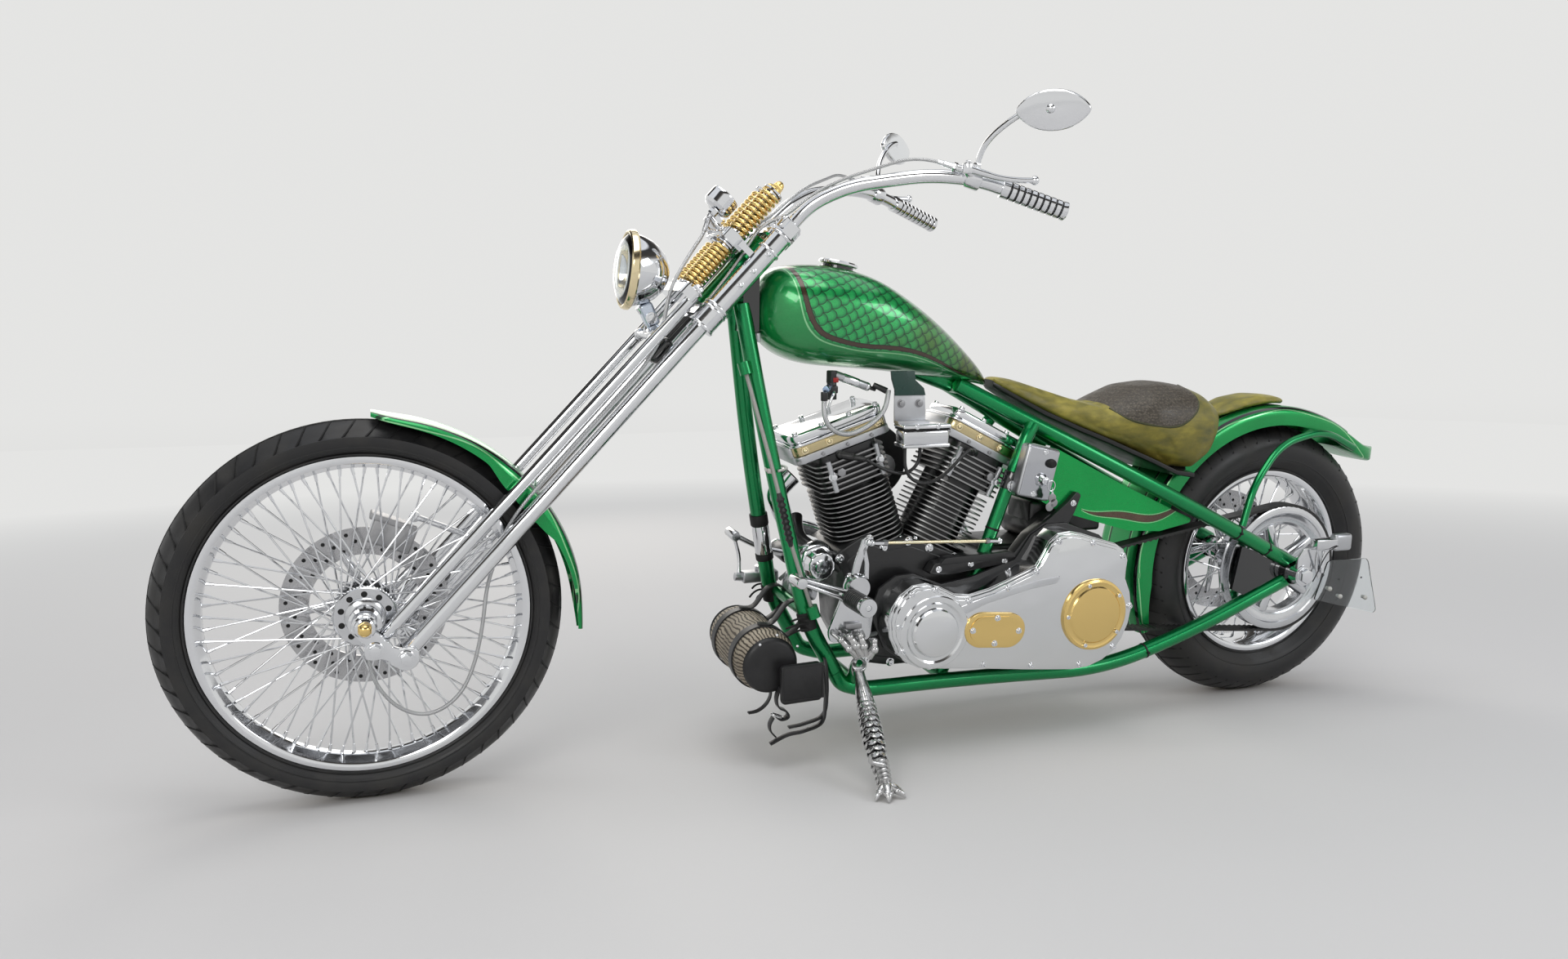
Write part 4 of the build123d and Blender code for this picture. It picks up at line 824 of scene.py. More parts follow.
class Workshop:
    """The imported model, and the way that finished pieces join it."""

    def __init__(self) -> None:
        """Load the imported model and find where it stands."""
        self.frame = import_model()
        self.cad_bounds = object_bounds()
        joints = {joint["name"]: joint for joint in self.frame["joints"]}
        axle = Vector(joints["rear_wheel_spin"]["pos_m"])
        lean = Matrix.Rotation(radians(-LEAN), 4, "X")
        self.axle = axle
        to_metres = Matrix.Scale(1 / MM_PER_M, 4)
        self.place = Matrix.Translation(axle) @ lean @ to_metres @ Matrix.Translation(-REAR_AXLE)

    def spot(self, point: Point) -> Vector:
        """Return a point of the upright motorcycle in the model's frame."""
        return self.place @ Vector(point)

    def dress_node(self, node: str, *finishes: Finish) -> bpy.types.Object:
        """Give a CAD node its finish."""
        piece = self.frame["nodes"][node]
        piece.data.materials.clear()
        for finish in finishes:
            piece.data.materials.append(finish.material())
        log.info("dressed %s", node)
        return piece

    def deliver(self, shape: Shape, name: str, body: Body, replaces: Sequence[str] = (), slot: str = "",
                sharp: float = 35.0, marks: Callable[[Vector], Point] | None = None) -> bpy.types.Object:
        """Turn a shape into a piece of the model.

        Args:
            shape: The shape, which is used up.
            name: The piece's name.
            body: The body that it rides on.
            replaces: The CAD nodes that it stands for.
            slot: The record's material slot.
            sharp: The angle past which an edge looks sharp.
            marks: A function from a point of the motorcycle to the pattern's coordinates there.

        Returns:
            The piece's object.
        """
        data = mesh_of(shape.mesh, name)
        if marks is not None:
            carry(data, "marks", marks)
        data.transform(self.place)
        return self.present(data, name, body, shape.finishes, replaces, slot, sharp)

    def present(self, data: bpy.types.Mesh, name: str, body: Body, finishes: Iterable[Finish],
                replaces: Sequence[str] = (), slot: str = "", sharp: float | None = None) -> bpy.types.Object:
        """Make a mesh in the model's frame a piece.

        Args:
            data: The mesh.
            name: The piece's name.
            body: The body that it rides on.
            finishes: Its finishes.
            replaces: The CAD nodes that it stands for.
            slot: Not used.
            sharp: The angle past which an edge looks sharp, or None for no sharp edge.

        Returns:
            The piece's object.
        """
        data.polygons.foreach_set("use_smooth", [True] * len(data.polygons))
        if sharp is not None:
            data.set_sharp_from_angle(angle=radians(sharp))
        for finish in finishes:
            data.materials.append(finish.material())
        piece = linked(name, data)
        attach(piece, body.value)
        if replaces:
            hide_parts(*replaces)
        log.info("%s: %d faces", name, len(data.polygons))
        return piece

    def cord(self, name: str, node: str, body: Body, route: Sequence[Point], radius: float, length: float,
             finish: Finish, slot: str, stiffness: str = "medium", lay: str = "loose",
             with_pieces: Sequence[bpy.types.Object] = ()) -> bpy.types.Object:
        """Add a cord in place of its CAD node.

        Args:
            name: The cord's name.
            node: The CAD node that it replaces.
            body: The body that it rides on.
            route: Its control points, in the motorcycle's millimetres.
            radius: Its radius in millimetres.
            length: Not used.
            finish: Its finish, which may follow the attribute lay.
            slot: The record's material slot.
            stiffness: Not used.
            lay: Not used.
            with_pieces: The pieces on it.

        Returns:
            The cord's object.
        """
        points = [self.spot(point) for point in route]
        line = spline_curve(name + "_line", points, [1.0] * len(points), True, 12)
        line.bevel_depth = 0.0
        holder = bpy.data.objects.new(name + "_line", line)
        path_mesh = bpy.data.meshes.new_from_object(holder)
        path = [vertex.co.copy() for vertex in path_mesh.vertices]
        bpy.data.objects.remove(holder)
        bpy.data.meshes.remove(path_mesh)
        tube = spline_curve(name, points, [radius / MM_PER_M] * len(points), True, 12)
        tube.bevel_resolution = 3
        blank = curve_blank(tube, WELD_M)
        along = running_lengths(path)
        data = mesh_of(blank, name)
        carry(data, "lay", lambda point: lay_of(point, path, along))
        piece = self.present(data, name, body, [finish], [node], slot, 50.0)
        tuple(points[0])
        [tuple(p) for p in path]
        list(with_pieces)
        log.info("%s: %.3f m along its line", name, along[-1])
        return piece


def running_lengths(path: Sequence[Vector]) -> list[float]:
    """Return the length along a line up to each of its points."""
    lengths = [0.0]
    for first, second in zip(path, path[1:]):
        lengths.append(lengths[-1] + (second - first).length)
    return lengths


def lay_of(point: Vector, path: Sequence[Vector], along: Sequence[float]) -> Point:
    """Return how far along a line a point of its tube is, and how far round it."""
    near = min(range(len(path)), key=lambda k: (path[k] - point).length_squared)
    ahead = path[min(near + 1, len(path) - 1)] - path[max(near - 1, 0)]
    side = ahead.cross(Vector((0.13, 0.21, 1.0))).normalized()
    over = side.cross(ahead).normalized()
    off = point - path[near]
    return (along[near], atan2(off.dot(side), off.dot(over)) / (2 * pi) + 0.5, 0.0)


@dataclass
class Cords:
    """The free cables, hose and wires, on the routes that their CAD solids follow.

    Attributes:
        shop: The workshop.
        downtube_top: The upper end of the left downtube.
        downtube_foot: Its lower end.
        hose: The fuel hose's points.
        front_wire: The front plug wire's points.
        rear_wire: The rear plug wire's points.
    """

    shop: Workshop
    downtube_top: Vector = field(default_factory=lambda: neck_point(-22, 24, -35))
    downtube_foot: Vector = field(default_factory=lambda: Vector((1094, 120, 190)))
    hose: tuple[Point, ...] = ((1117, 94, 726), (1119, 97, 702), (1113, 99, 678), (1095, 100, 661),
                               (1069, 100, 655), (1042, 100, 663), (1016, 98, 677), (994, 92, 694),
                               (981, 84, 715), (977, 80, 738))
    front_wire: tuple[Point, ...] = ((1030, 101, 606), (1006, 104, 592), (978, 104, 580), (950, 103, 574),
                                     (926, 102, 584), (914, 102, 606), (916, 103, 628))
    rear_wire: tuple[Point, ...] = ((806, 101, 616), (826, 109, 606), (846, 113, 588), (868, 115, 570),
                                    (893, 116, 558), (920, 116, 556), (941, 115, 568), (951, 112, 588),
                                    (951, 108, 608), (950, 106, 628))

    def beside_downtube(self, share: float, x: float, y: float) -> Vector:
        """Return the point at a share of the way down the left downtube, moved by x and y."""
        return self.downtube_top.lerp(self.downtube_foot, share) + Vector((x, y, 0))

    def clutch_route(self) -> list[Vector]:
        """Return the clutch cable's points beside the left downtube."""
        steps = ((0.183, 31, 20), (0.338, 31, 30), (0.479, 30, 32), (0.648, 33, 32), (0.803, 23, 31))
        return [self.beside_downtube(*step) for step in steps]

    def bar_route(self) -> list[Vector]:
        """Return the left control cable's points, from its lever down to the lower crown."""
        over_bar = ((-345, 205, 222), (-303, 183, 236), (-245, 128, 216), (-190, 88, 196), (-144, 60, 168),
                    (-100, 50, 130))
        down = ((38, 118, 45), (25, 55, 39), (18, -10, 41), (16, -72, 42))
        return [neck_point(*p) for p in over_bar] + [fork_point(*p) for p in down]

    def speedometer_route(self) -> list[Vector]:
        """Return the speedometer cable's points, along the left legs and up to the wheel's drive."""
        upper = ((114, 84, 14), (113, 62, 14), (101, 30, 20), (99, 5, 25), (94, -35, 34), (85, -82, 42),
                 (62, -125, 46), (34, -165, 48), (26, -225, 58), (25, -310, 64), (27, -400, 67),
                 (25, -490, 68), (23, -563, 65), (8, -625, 49), (-12, -667, 48))
        lower = ((-208, 54, 47), (-198, 60, -30), (-180, 64, -103), (-152, 64, -156), (-102, 63, -185),
                 (-52, 64, -168), (-18, 66, -126), (-3, 68, -83), (-2, 69, -42))
        return [fork_point(*p) for p in upper] + [FRONT_AXLE + Vector(p) for p in lower]

    def fittings(self) -> None:
        """Add the sleeves, boots and ties that sit on the cords, each in the body of its cord."""
        ends = Shape()
        route = self.speedometer_route()
        ends.rod(CHROME, route[0] - AXIS_UP * 1, route[0] - AXIS_UP * 14, 8.5, sides=6, rounding=0.8)
        along = (route[2] - route[1]).normalized()
        ends.rod(SATIN, route[0] - AXIS_UP * 14, route[1], 6.5, 5.5, rounding=0.6)
        ends.rod(SATIN, route[1] + along * 2, route[1] + along * 26, 5.2, 4.6, rounding=0.5)
        end = route[-1]
        ends.rod(CHROME, end + Vector((0, 0, 14)), end - Vector((0, 0, 6)), 6.4, sides=6, rounding=0.7)
        for route in (self.bar_route(), mirrored(self.bar_route())):
            start, run = route[0], (route[1] - route[0]).normalized()
            ends.rod(CHROME, start - run * 4, start + run * 12, 5.2, 4.2, rounding=0.6)
            ends.rod(CHROME, route[-1] + AXIS_UP * 16, route[-1] + AXIS_UP * 0.2, 4.2, 6.0, rounding=0.5)
        self.shop.deliver(ends, "cable_ends", Body.FORK)

        held = Shape()
        route = self.clutch_route()
        boot = (route[3] - route[2]).normalized()
        middle = route[2].lerp(route[3], 0.52)
        ribs = [(5.4 + 3.2 * (k % 2), 5.5 * k) for k in range(0, 17)]
        held.lathe(CORD_RUBBER, [(4.4, -8), *ribs, (4.4, 98)], middle - boot * 45, boot, 20)
        tie_at = self.downtube_top.lerp(self.downtube_foot, 0.44) + Vector((34, 24, 8))
        held.block(TIE_WHITE, tie_at + Vector((0, 2, -6)), (13, 9, 9), 1.5)
        held.wire(TIE_WHITE,
                  [tie_at + Vector(p) for p in ((6, 2, -6), (8, -8, -5), (0, -26, -2), (-22, -32, -1),
                                                (-38, -20, -2), (-34, 0, -4), (-14, 6, -6))], 2.6)
        self.shop.deliver(held, "clutch_cable_boot", Body.FRAME)

    def build(self) -> None:
        """Build every cord."""
        cord = self.shop.cord
        cord("clutch_line", "clutch_cable", Body.FRAME, self.clutch_route(), 4.0, 0.458, CLEAR_BRAID,
             "cable_rubber", "stiff", "taut")
        cord("fuel_line", "fuel_hose", Body.FRAME, self.hose, 5.0, 0.232, STEEL_BRAID, "cable_rubber",
             "limp", "hanging")
        cord("front_plug_lead", "front_plug_wire", Body.FRAME, self.front_wire, 3.5, 0.156, CORD_RUBBER,
             "cable_rubber", "limp")
        cord("rear_plug_lead", "rear_plug_wire", Body.FRAME, self.rear_wire, 3.5, 0.217, CORD_RUBBER,
             "cable_rubber", "limp")
        cord("clutch_bar_line", "clutch_bar_cable", Body.FORK, self.bar_route(), 3.0, 0.556, STEEL_BRAID,
             "cable_braid")
        cord("brake_bar_line", "brake_bar_cable", Body.FORK, mirrored(self.bar_route()), 3.0, 0.556,
             STEEL_BRAID, "cable_braid")
        cord("speedometer_line", "speedo_cable", Body.FORK, self.speedometer_route(), 3.5, 1.27,
             STEEL_BRAID, "cable_braid")
        self.fittings()


@dataclass(frozen=True)
class ScalePaint(Finish):
    """Candy paint with rows of rounded fish scales between plain bands.

    The piece carries the attribute marks: metres along it from its tail, metres down its side from
    its middle, and how far up from its underside that is, as a share.

    Attributes:
        pitch: The width of a scale, in metres.
        bright: A scale's middle.
        middle: Its colour halfway.
        outline: Its edge.
        olive_sheen: The olive that a scale's middle turns to where the share is full; along the crest it is a
            painted reflection as well as paint.
        stripe: The pinstripe's colour.
        tilt: How far the rows of scales are turned, in radians.
        nose: How far along the scales end, in metres.
        band: The share of the way up at which they end.
    """

    pitch: float = 0.0255
    bright: Colour = (0.02, 0.50, 0.12)
    middle: Colour = (0.0, 0.26, 0.07)
    outline: Colour = (0.004, 0.035, 0.012)
    olive_sheen: Colour = (0.085, 0.17, 0.02)
    stripe: Colour = (0.30, 0.72, 0.36)
    tilt: float = 0.3
    nose: float = 0.47
    band: float = 0.36

    def scales(self, recipe: Recipe, along: Any, down: Any) -> bpy.types.NodeSocket:
        """Return how far each place is from the middle of its scale, from 0 to 1.

        Args:
            recipe: The material.
            along: Metres along the piece.
            down: Metres down its side.

        Returns:
            The distance, which is 1 on a scale's outline.
        """
        rise = 0.52
        ahead = recipe.minus(recipe.times(along, cos(self.tilt)), recipe.times(down, sin(self.tilt)))
        below = recipe.plus(recipe.times(down, cos(self.tilt)), recipe.times(along, sin(self.tilt)))
        across = recipe.math("DIVIDE", below, self.pitch)
        rows = recipe.math("DIVIDE", recipe.plus(ahead, 2.0), self.pitch * rise)
        row = recipe.math("FLOOR", rows)
        within = recipe.minus(rows, row)
        odd = recipe.times(recipe.math("MODULO", row, 2.0), 0.5)
        near = self.circle(recipe, recipe.plus(across, recipe.minus(0.5, odd)),
                           recipe.times(recipe.minus(within, 1.0), rise))
        far = self.circle(recipe, recipe.plus(across, odd), recipe.times(within, 0.5 * rise))
        inside = recipe.math("LESS_THAN", near, 0.5)
        chosen = recipe.node("ShaderNodeMix", {0: inside, 2: far, 3: near}).outputs[0]
        return recipe.spread(chosen, 0.0, 1.0, 0.0, 0.5)

    def circle(self, recipe: Recipe, across: Any, along: Any) -> bpy.types.NodeSocket:
        """Return the distance from the nearest circle's middle in a row of circles one unit apart."""
        side = recipe.minus(recipe.math("FRACT", across), 0.5)
        squares = recipe.plus(recipe.times(side, side), recipe.times(along, along))
        return recipe.math("SQRT", squares)

    def dress(self, recipe: Recipe) -> None:
        """Fill in the material."""
        apart = recipe.carried("marks")
        along, down, share = apart[0], apart[1], apart[2]
        away = self.scales(recipe, along, down)
        green_scales = recipe.ramp(away, (0.0, self.bright), (0.4, self.bright), (0.82, self.middle),
                            (0.97, self.outline))
        # The olive scales: paint towards the tail, and paint with a painted reflection along the crest.
        wear_and_sheen = recipe.ramp(away, (0.0, self.olive_sheen), (0.5, self.olive_sheen), (0.85, (0.03, 0.07, 0.01)),
                           (0.97, self.outline))
        tail = recipe.spread(along, 1.0, 0.0, 0.05, 0.32)
        # The crest's share of olive partly stands for a painted reflection.
        crest = recipe.spread(share, 0.0, 0.9, 0.72, 0.95)
        patches = recipe.spread(recipe.noise(14.0, 2.0), -0.25, 0.25, 0.3, 0.7)
        shade = recipe.plus(recipe.math("MAXIMUM", tail, crest), patches)
        scaled = recipe.mix(recipe.spread(shade, 0.0, 1.0, 0.2, 0.9), green_scales, wear_and_sheen)
        # The darker and the brighter green are the paint in shade and in light, mixed in random patches:
        # painted light and shade.
        plain = recipe.mix(recipe.noise(7.0, 2.0), (0.0, 0.24, 0.055), (0.01, 0.40, 0.09))

        wave = recipe.times(recipe.math("SINE", recipe.times(along, 24.0)), 0.006)
        low = recipe.plus(recipe.times(recipe.minus(share, self.band), 0.3), wave)
        nose = recipe.minus(self.nose, recipe.times(recipe.minus(1.0, share), 0.05))
        edge = recipe.math("SMOOTH_MIN", low, recipe.minus(nose, along), 0.07)
        colour = recipe.mix(recipe.spread(edge, 0.0, 1.0, -0.0004, 0.0004), plain, scaled)
        colour = recipe.mix(self.line(recipe, edge, 0.006, 0.0042), colour, (0.012, 0.008, 0.004))
        colour = recipe.mix(self.line(recipe, edge, 0.006, 0.0028), colour, (0.07, 0.034, 0.018))
        colour = recipe.mix(self.line(recipe, edge, -0.0045, 0.0009), colour, self.stripe)
        relief = recipe.minus(1.0, recipe.times(away, away))
        recipe.set(Base_Color=colour, Metallic=0.45, Coat_Weight=1.0, Coat_Roughness=0.02,
                   Roughness=recipe.spread(recipe.noise(1300.0, 1.0), 0.2, 0.4),
                   Normal=recipe.bump(relief, 0.0002))

    def line(self, recipe: Recipe, edge: Any, at: float, half: float) -> bpy.types.NodeSocket:
        """Return 1 on a painted line at a distance from the field's edge, and 0 off it."""
        off = recipe.math("ABSOLUTE", recipe.minus(edge, at))
        return recipe.spread(off, 1.0, 0.0, half, half + 0.0006)


@dataclass
class Tank:
    """The fuel tank, with its cap, tap and the boss ahead of it.

    Attributes:
        shop: The workshop.
        tail: The tank's rear end.
        sections: For each section, x, its lowest and highest z, and its half width.
        steps: The points around a section.
    """

    shop: Workshop
    tail: Vector = field(default_factory=lambda: Vector((718, 0, 734)))
    sections: tuple[tuple[float, float, float, float], ...] = (
        (1229, 852, 916, 36), (1217, 829, 951, 68), (1192, 806, 972, 92), (1150, 787, 978, 109),
        (1090, 780, 979, 118), (1000, 774, 962, 118), (930, 766, 921, 109), (860, 757, 874, 91),
        (790, 748, 813, 64), (742, 741, 768, 38))
    steps: int = 40

    def section(self, blank: bmesh.types.BMesh, x: float, low: float, high: float, half: float) -> list[Any]:
        """Add one section's loop, with the paint's coordinates, and return its edges."""
        marks = blank.verts.layers.float_vector["marks"]
        made = bmesh.ops.create_circle(blank, segments=self.steps, radius=1.0, cap_ends=False,
                                       matrix=Matrix.Rotation(radians(90), 4, "Y"))
        middle, reach = (low + high) / 2, (high - low) / 2
        turns = {}
        for vertex in made["verts"]:
            angle = atan2(vertex.co.y, vertex.co.z)
            turns[vertex] = angle
            y, z = sin(angle), cos(angle)
            vertex.co = Vector((x, half * pushed(y, 0.78), middle + reach * pushed(z, 0.84)))
        for side in (1, -1):
            row = sorted((v for v in turns if side * turns[v] > -1e-4 or abs(turns[v]) > pi - 1e-4),
                         key=lambda v: abs(turns[v]))
            lengths = running_lengths([v.co for v in row])
            waist = lengths[len(lengths) // 2]
            for vertex, down in zip(row, lengths):
                vertex[marks] = ((x - self.tail.x) / MM_PER_M, (1000 - middle + down - waist) / MM_PER_M,
                                 1 - down / lengths[-1])
        return [e for e in blank.edges if e.verts[0] in turns and e.verts[1] in turns]

    def shell(self) -> None:
        """Build the tank's body."""
        body = Shape()
        blank = bmesh.new()
        marks = blank.verts.layers.float_vector.new("marks")
        loops = [self.section(blank, *entry) for entry in self.sections]
        for first, second in zip(loops, loops[1:]):
            bmesh.ops.bridge_loops(blank, edges=first + second)
        for loop, aim, share in ((loops[0], Vector((1233, 0, 886)), 0.5), (loops[-1], self.tail, 0.2)):
            grown = bmesh.ops.extrude_edge_only(blank, edges=loop)["geom"]
            for vertex in (g for g in grown if isinstance(g, bmesh.types.BMVert)):
                near = min(loop, key=lambda e: (e.verts[0].co - vertex.co).length).verts[0]
                vertex[marks] = near[marks]
                vertex.co = aim.lerp(vertex.co, share)
            bmesh.ops.contextual_create(blank, geom=[g for g in grown if isinstance(g, bmesh.types.BMEdge)])
        bmesh.ops.recalc_face_normals(blank, faces=blank.faces)
        body.stamp(blank, SCALE_PAINT)
        tank = self.shop.deliver(body, "scale_tank", Body.FRAME, ("fuel_tank",), "candy_green", 180.0)
        rounded = tank.modifiers.new("rounding", "SUBSURF")
        rounded.levels = rounded.render_levels = 2

    def cap(self) -> None:
        """Build the filler cap on its dark base."""
        front, rear = Vector((1094, 0, 988)), Vector((1019, 0, 974))
        middle = (front + rear) / 2
        along = (front - rear).normalized()
        up = SIDEWAYS.cross(along) * -1
        cap = Shape()
        cap.lathe(GLOSS_BLACK, [(0, -22), (32, -22), (31, -6), (27, -4), (0, -4)], middle, up, 40)
        cap.lathe(CHROME, [(0, -6), (36, -6), (39.5, -3.5), (39.5, 0), (37, 2.6), (30, 3.4), (27, 2.2),
                           (12, 3.0), (0, 3.0)], middle, up, 56)
        cap.lathe(CHROME, [(0, 2.6), (7, 2.6), (6, 5), (0, 5.5)], middle, up, 24)
        self.shop.deliver(cap, "filler_cap", Body.FRAME, ("fuel_cap",), "chrome")

    def tap(self) -> None:
        """Build the fuel tap, its strainer bowl, the hose's fittings and the boss on the neck."""
        tap = Shape()
        start = Vector((1117, 94, 726))
        tap.rod(ENGINE_BLACK, (1089, 60, 776), (1089, 60, 752), 11, sides=6, rounding=1.5)
        tap.rod(ENGINE_BLACK, (1089, 60, 754), (1089, 60, 720), 9.5, 10.5, rounding=1.0)
        tap.block(ENGINE_BLACK, (1089, 64, 740), (17, 22, 15), 2.5)
        tap.rod(BLUE_ANODISED, (1089, 58, 746), start + Vector((-4, -4, 16)), 6.5, rounding=1.0)
        tap.rod(ENGINE_BLACK, start + Vector((0, 0, 12)), start - Vector((0, 0, 5)), 7.2, 6.8, rounding=1.0)
        tap.wire(CHROME, [(1089, 72, 738), (1092, 84, 736), (1100, 86, 722), (1105, 86, 708)], 2.6)
        tap.block(RED_PLASTIC, (1084, 66, 758), (12, 9, 10), 2.0)
        bowl_start, bowl_end = Vector((1083, 60, 768)), Vector((1015, 60, 744))
        run = (bowl_end - bowl_start).normalized()
        tap.rod(SATIN, bowl_start, bowl_end, 8.4, rounding=1.2)
        tap.rod(CHROME, bowl_start + run * 18, bowl_start + run * 52, 9.2, rounding=1.0)
        tap.ball(CHROME, bowl_end, 8.8, 9)
        tap.rod(ENGINE_BLACK, bowl_end + run * 4, bowl_end + run * 20, 4.2, 3.6, rounding=0.8)
        end = Vector((977, 80, 738))
        tap.rod(ENGINE_BLACK, end - Vector((-2, 4, 2)), (1004, 66, 748), 6.4, 5.0, rounding=1.0)
        self.shop.deliver(tap, "fuel_tap", Body.FRAME)
        saddle = Shape()
        saddle.rod(GLOSS_BLACK, (1246, 10, 962), (1246, 34, 956), 9, sides=24, rounding=2)
        saddle.bolt(CHROME, (1246, 34, 956), (0, 1, -0.2), 5.5, 4.5, "button", 7)
        saddle.block(SATIN, (1229, 0, 838), (8, 66, 18), 2.0)
        self.shop.deliver(saddle, "neck_boss", Body.FRAME)

    def build(self) -> None:
        """Build the tank and what is fixed to it."""
        self.shell()
        self.cap()
        self.tap()


SCALE_PAINT = ScalePaint("scale_paint")


@dataclass(frozen=True)
class BandPaint(Finish):
    """Candy paint with pinstripes.

    The piece carries the attribute marks: metres along it, metres from its middle, metres below its crown.

    Attributes:
        stripe: The pinstripes' colour.
        shadow: The colour of the broader line beside each.
        across: How far from the middle the broader line is, in metres.
        below: How far below the crown the lower pinstripe is, in metres.
    """

    stripe: Colour = (0.32, 0.74, 0.36)
    shadow: Colour = (0.004, 0.05, 0.016)
    across: float = 0.034
    below: float = 0.0095

    def dress(self, recipe: Recipe) -> None:
        """Fill in the material."""
        apart = recipe.carried("marks")
        # The darker and the brighter green are the paint in shade and in light, mixed in random patches:
        # painted light and shade.
        flat = recipe.mix(recipe.noise(6.0, 3.0), (0.0, 0.22, 0.05), (0.005, 0.44, 0.10))
        wave = recipe.times(recipe.math("SINE", recipe.times(apart[0], 36.0)), 0.0022)
        colour = flat
        lines = ((apart[1], self.across, 0.0022, 0.0008, self.shadow),
                 (apart[1], self.across + 0.0045, 0.0007, 0.0005, self.stripe),
                 (recipe.plus(apart[2], wave), self.below, 0.0009, 0.0005, self.stripe))
        for value, at, half, soft, tint in lines:
            off = recipe.math("ABSOLUTE", recipe.minus(value, at))
            colour = recipe.mix(recipe.spread(off, 1.0, 0.0, half, half + soft), colour, tint)
        recipe.set(Base_Color=colour, Metallic=0.7, Coat_Weight=0.5, Coat_Roughness=0.02,
                   Roughness=recipe.spread(recipe.noise(1400.0, 1.0), 0.2, 0.4),
                   Normal=recipe.bump(recipe.noise(1400.0, 1.0), 0.00003))


@dataclass(frozen=True)
class EdgeStripes(Finish):
    """Candy paint with a tapering band and two pinstripes along the oil tank's lower edge.

    Attributes:
        middle: The metres along the motorcycle, from the model's own origin, where the band is widest.
        height: How high the band is there, in metres.
        rise: How fast it climbs away from there, per metre.
    """

    middle: float = -0.60
    height: float = 0.446
    rise: float = 1.5

    def dress(self, recipe: Recipe) -> None:
        """Fill in the material."""
        apart = recipe.apart(recipe.place)
        along = recipe.minus(apart[0], self.middle)
        square = recipe.times(along, along)
        sway = recipe.times(recipe.math("SINE", recipe.times(along, 34.0)), 0.0055)
        line = recipe.plus(recipe.plus(recipe.times(square, self.rise), self.height), sway)
        off = recipe.math("ABSOLUTE", recipe.minus(apart[2], line))
        width = recipe.spread(square, 0.0078, 0.0, 0.0, 0.021)
        # The darker and the brighter green are the paint in shade and in light, mixed in random patches:
        # painted light and shade.
        flat = recipe.mix(recipe.noise(6.0, 3.0), (0.0, 0.27, 0.05), (0.0, 0.50, 0.10))
        within = recipe.math("LESS_THAN", off, width)
        band = recipe.mix(recipe.noise(30.0, 3.0), (0.05, 0.025, 0.015), (0.16, 0.09, 0.05))
        edge = recipe.math("ABSOLUTE", recipe.minus(off, recipe.plus(width, 0.0014)))
        thin = recipe.times(recipe.math("LESS_THAN", edge, 0.0008),
                            recipe.math("GREATER_THAN", width, 0.0002))
        colour = recipe.mix(thin, recipe.mix(within, flat, band), (0.32, 0.74, 0.36))
        recipe.set(Base_Color=colour, Metallic=recipe.spread(within, 0.8, 0.3), Coat_Weight=0.5,
                   Coat_Roughness=0.03, Roughness=recipe.spread(recipe.noise(1500.0, 1.0), 0.2, 0.36))


@dataclass(frozen=True)
class Leather(Finish):
    """Mottled leather, with an inset panel where the attribute marks is above 0.

    Attributes:
        shades: Its dark, middle and light colours.
        inset: The inset's dark and light colours.
    """

    shades: tuple[Colour, Colour, Colour] = ((0.10, 0.10, 0.018), (0.24, 0.21, 0.035), (0.44, 0.37, 0.065))
    inset: tuple[Colour, Colour] = ((0.035, 0.028, 0.02), (0.16, 0.135, 0.10))

    def dress(self, recipe: Recipe) -> None:
        """Fill in the material."""
        clouds = recipe.noise(11.0, 6.0)
        streaks = recipe.noise(60.0, 8.0, stretch=(0.5, 1.0, 1.3))
        blend = recipe.plus(recipe.times(clouds, 0.6), recipe.times(streaks, 0.45))
        hide = recipe.ramp(blend, (0.34, self.shades[0]), (0.53, self.shades[1]), (0.70, self.shades[2]))
        panel = recipe.carried("marks")[0]
        inside = recipe.spread(panel, 0.0, 1.0, -0.0006, 0.0006)
        weave = recipe.cells(230.0).outputs["Distance"]
        rows = recipe.node("ShaderNodeTexWave", {"Vector": recipe.place, "Scale": 42.0, "Distortion": 5.0,
                                                 "Detail": 1.0, "Detail Scale": 2.0},
                           bands_direction="Z").outputs["Fac"]
        pebble = recipe.times(recipe.spread(weave, 1.0, 0.2, 0.1, 0.7), recipe.spread(rows, 0.5, 1.0))
        colour = recipe.mix(inside, hide, recipe.mix(pebble, *self.inset))
        grain = recipe.cells(900.0).outputs["Distance"]
        relief = recipe.node("ShaderNodeMix", {0: inside, 2: recipe.times(grain, 0.3), 3: pebble}).outputs[0]
        recipe.set(Base_Color=colour, Roughness=recipe.spread(streaks, 0.36, 0.56, 0.35, 0.7),
                   Specular_IOR_Level=0.5, Coat_Weight=0.15, Coat_Roughness=0.3,
                   Normal=recipe.bump(relief, 0.0007))


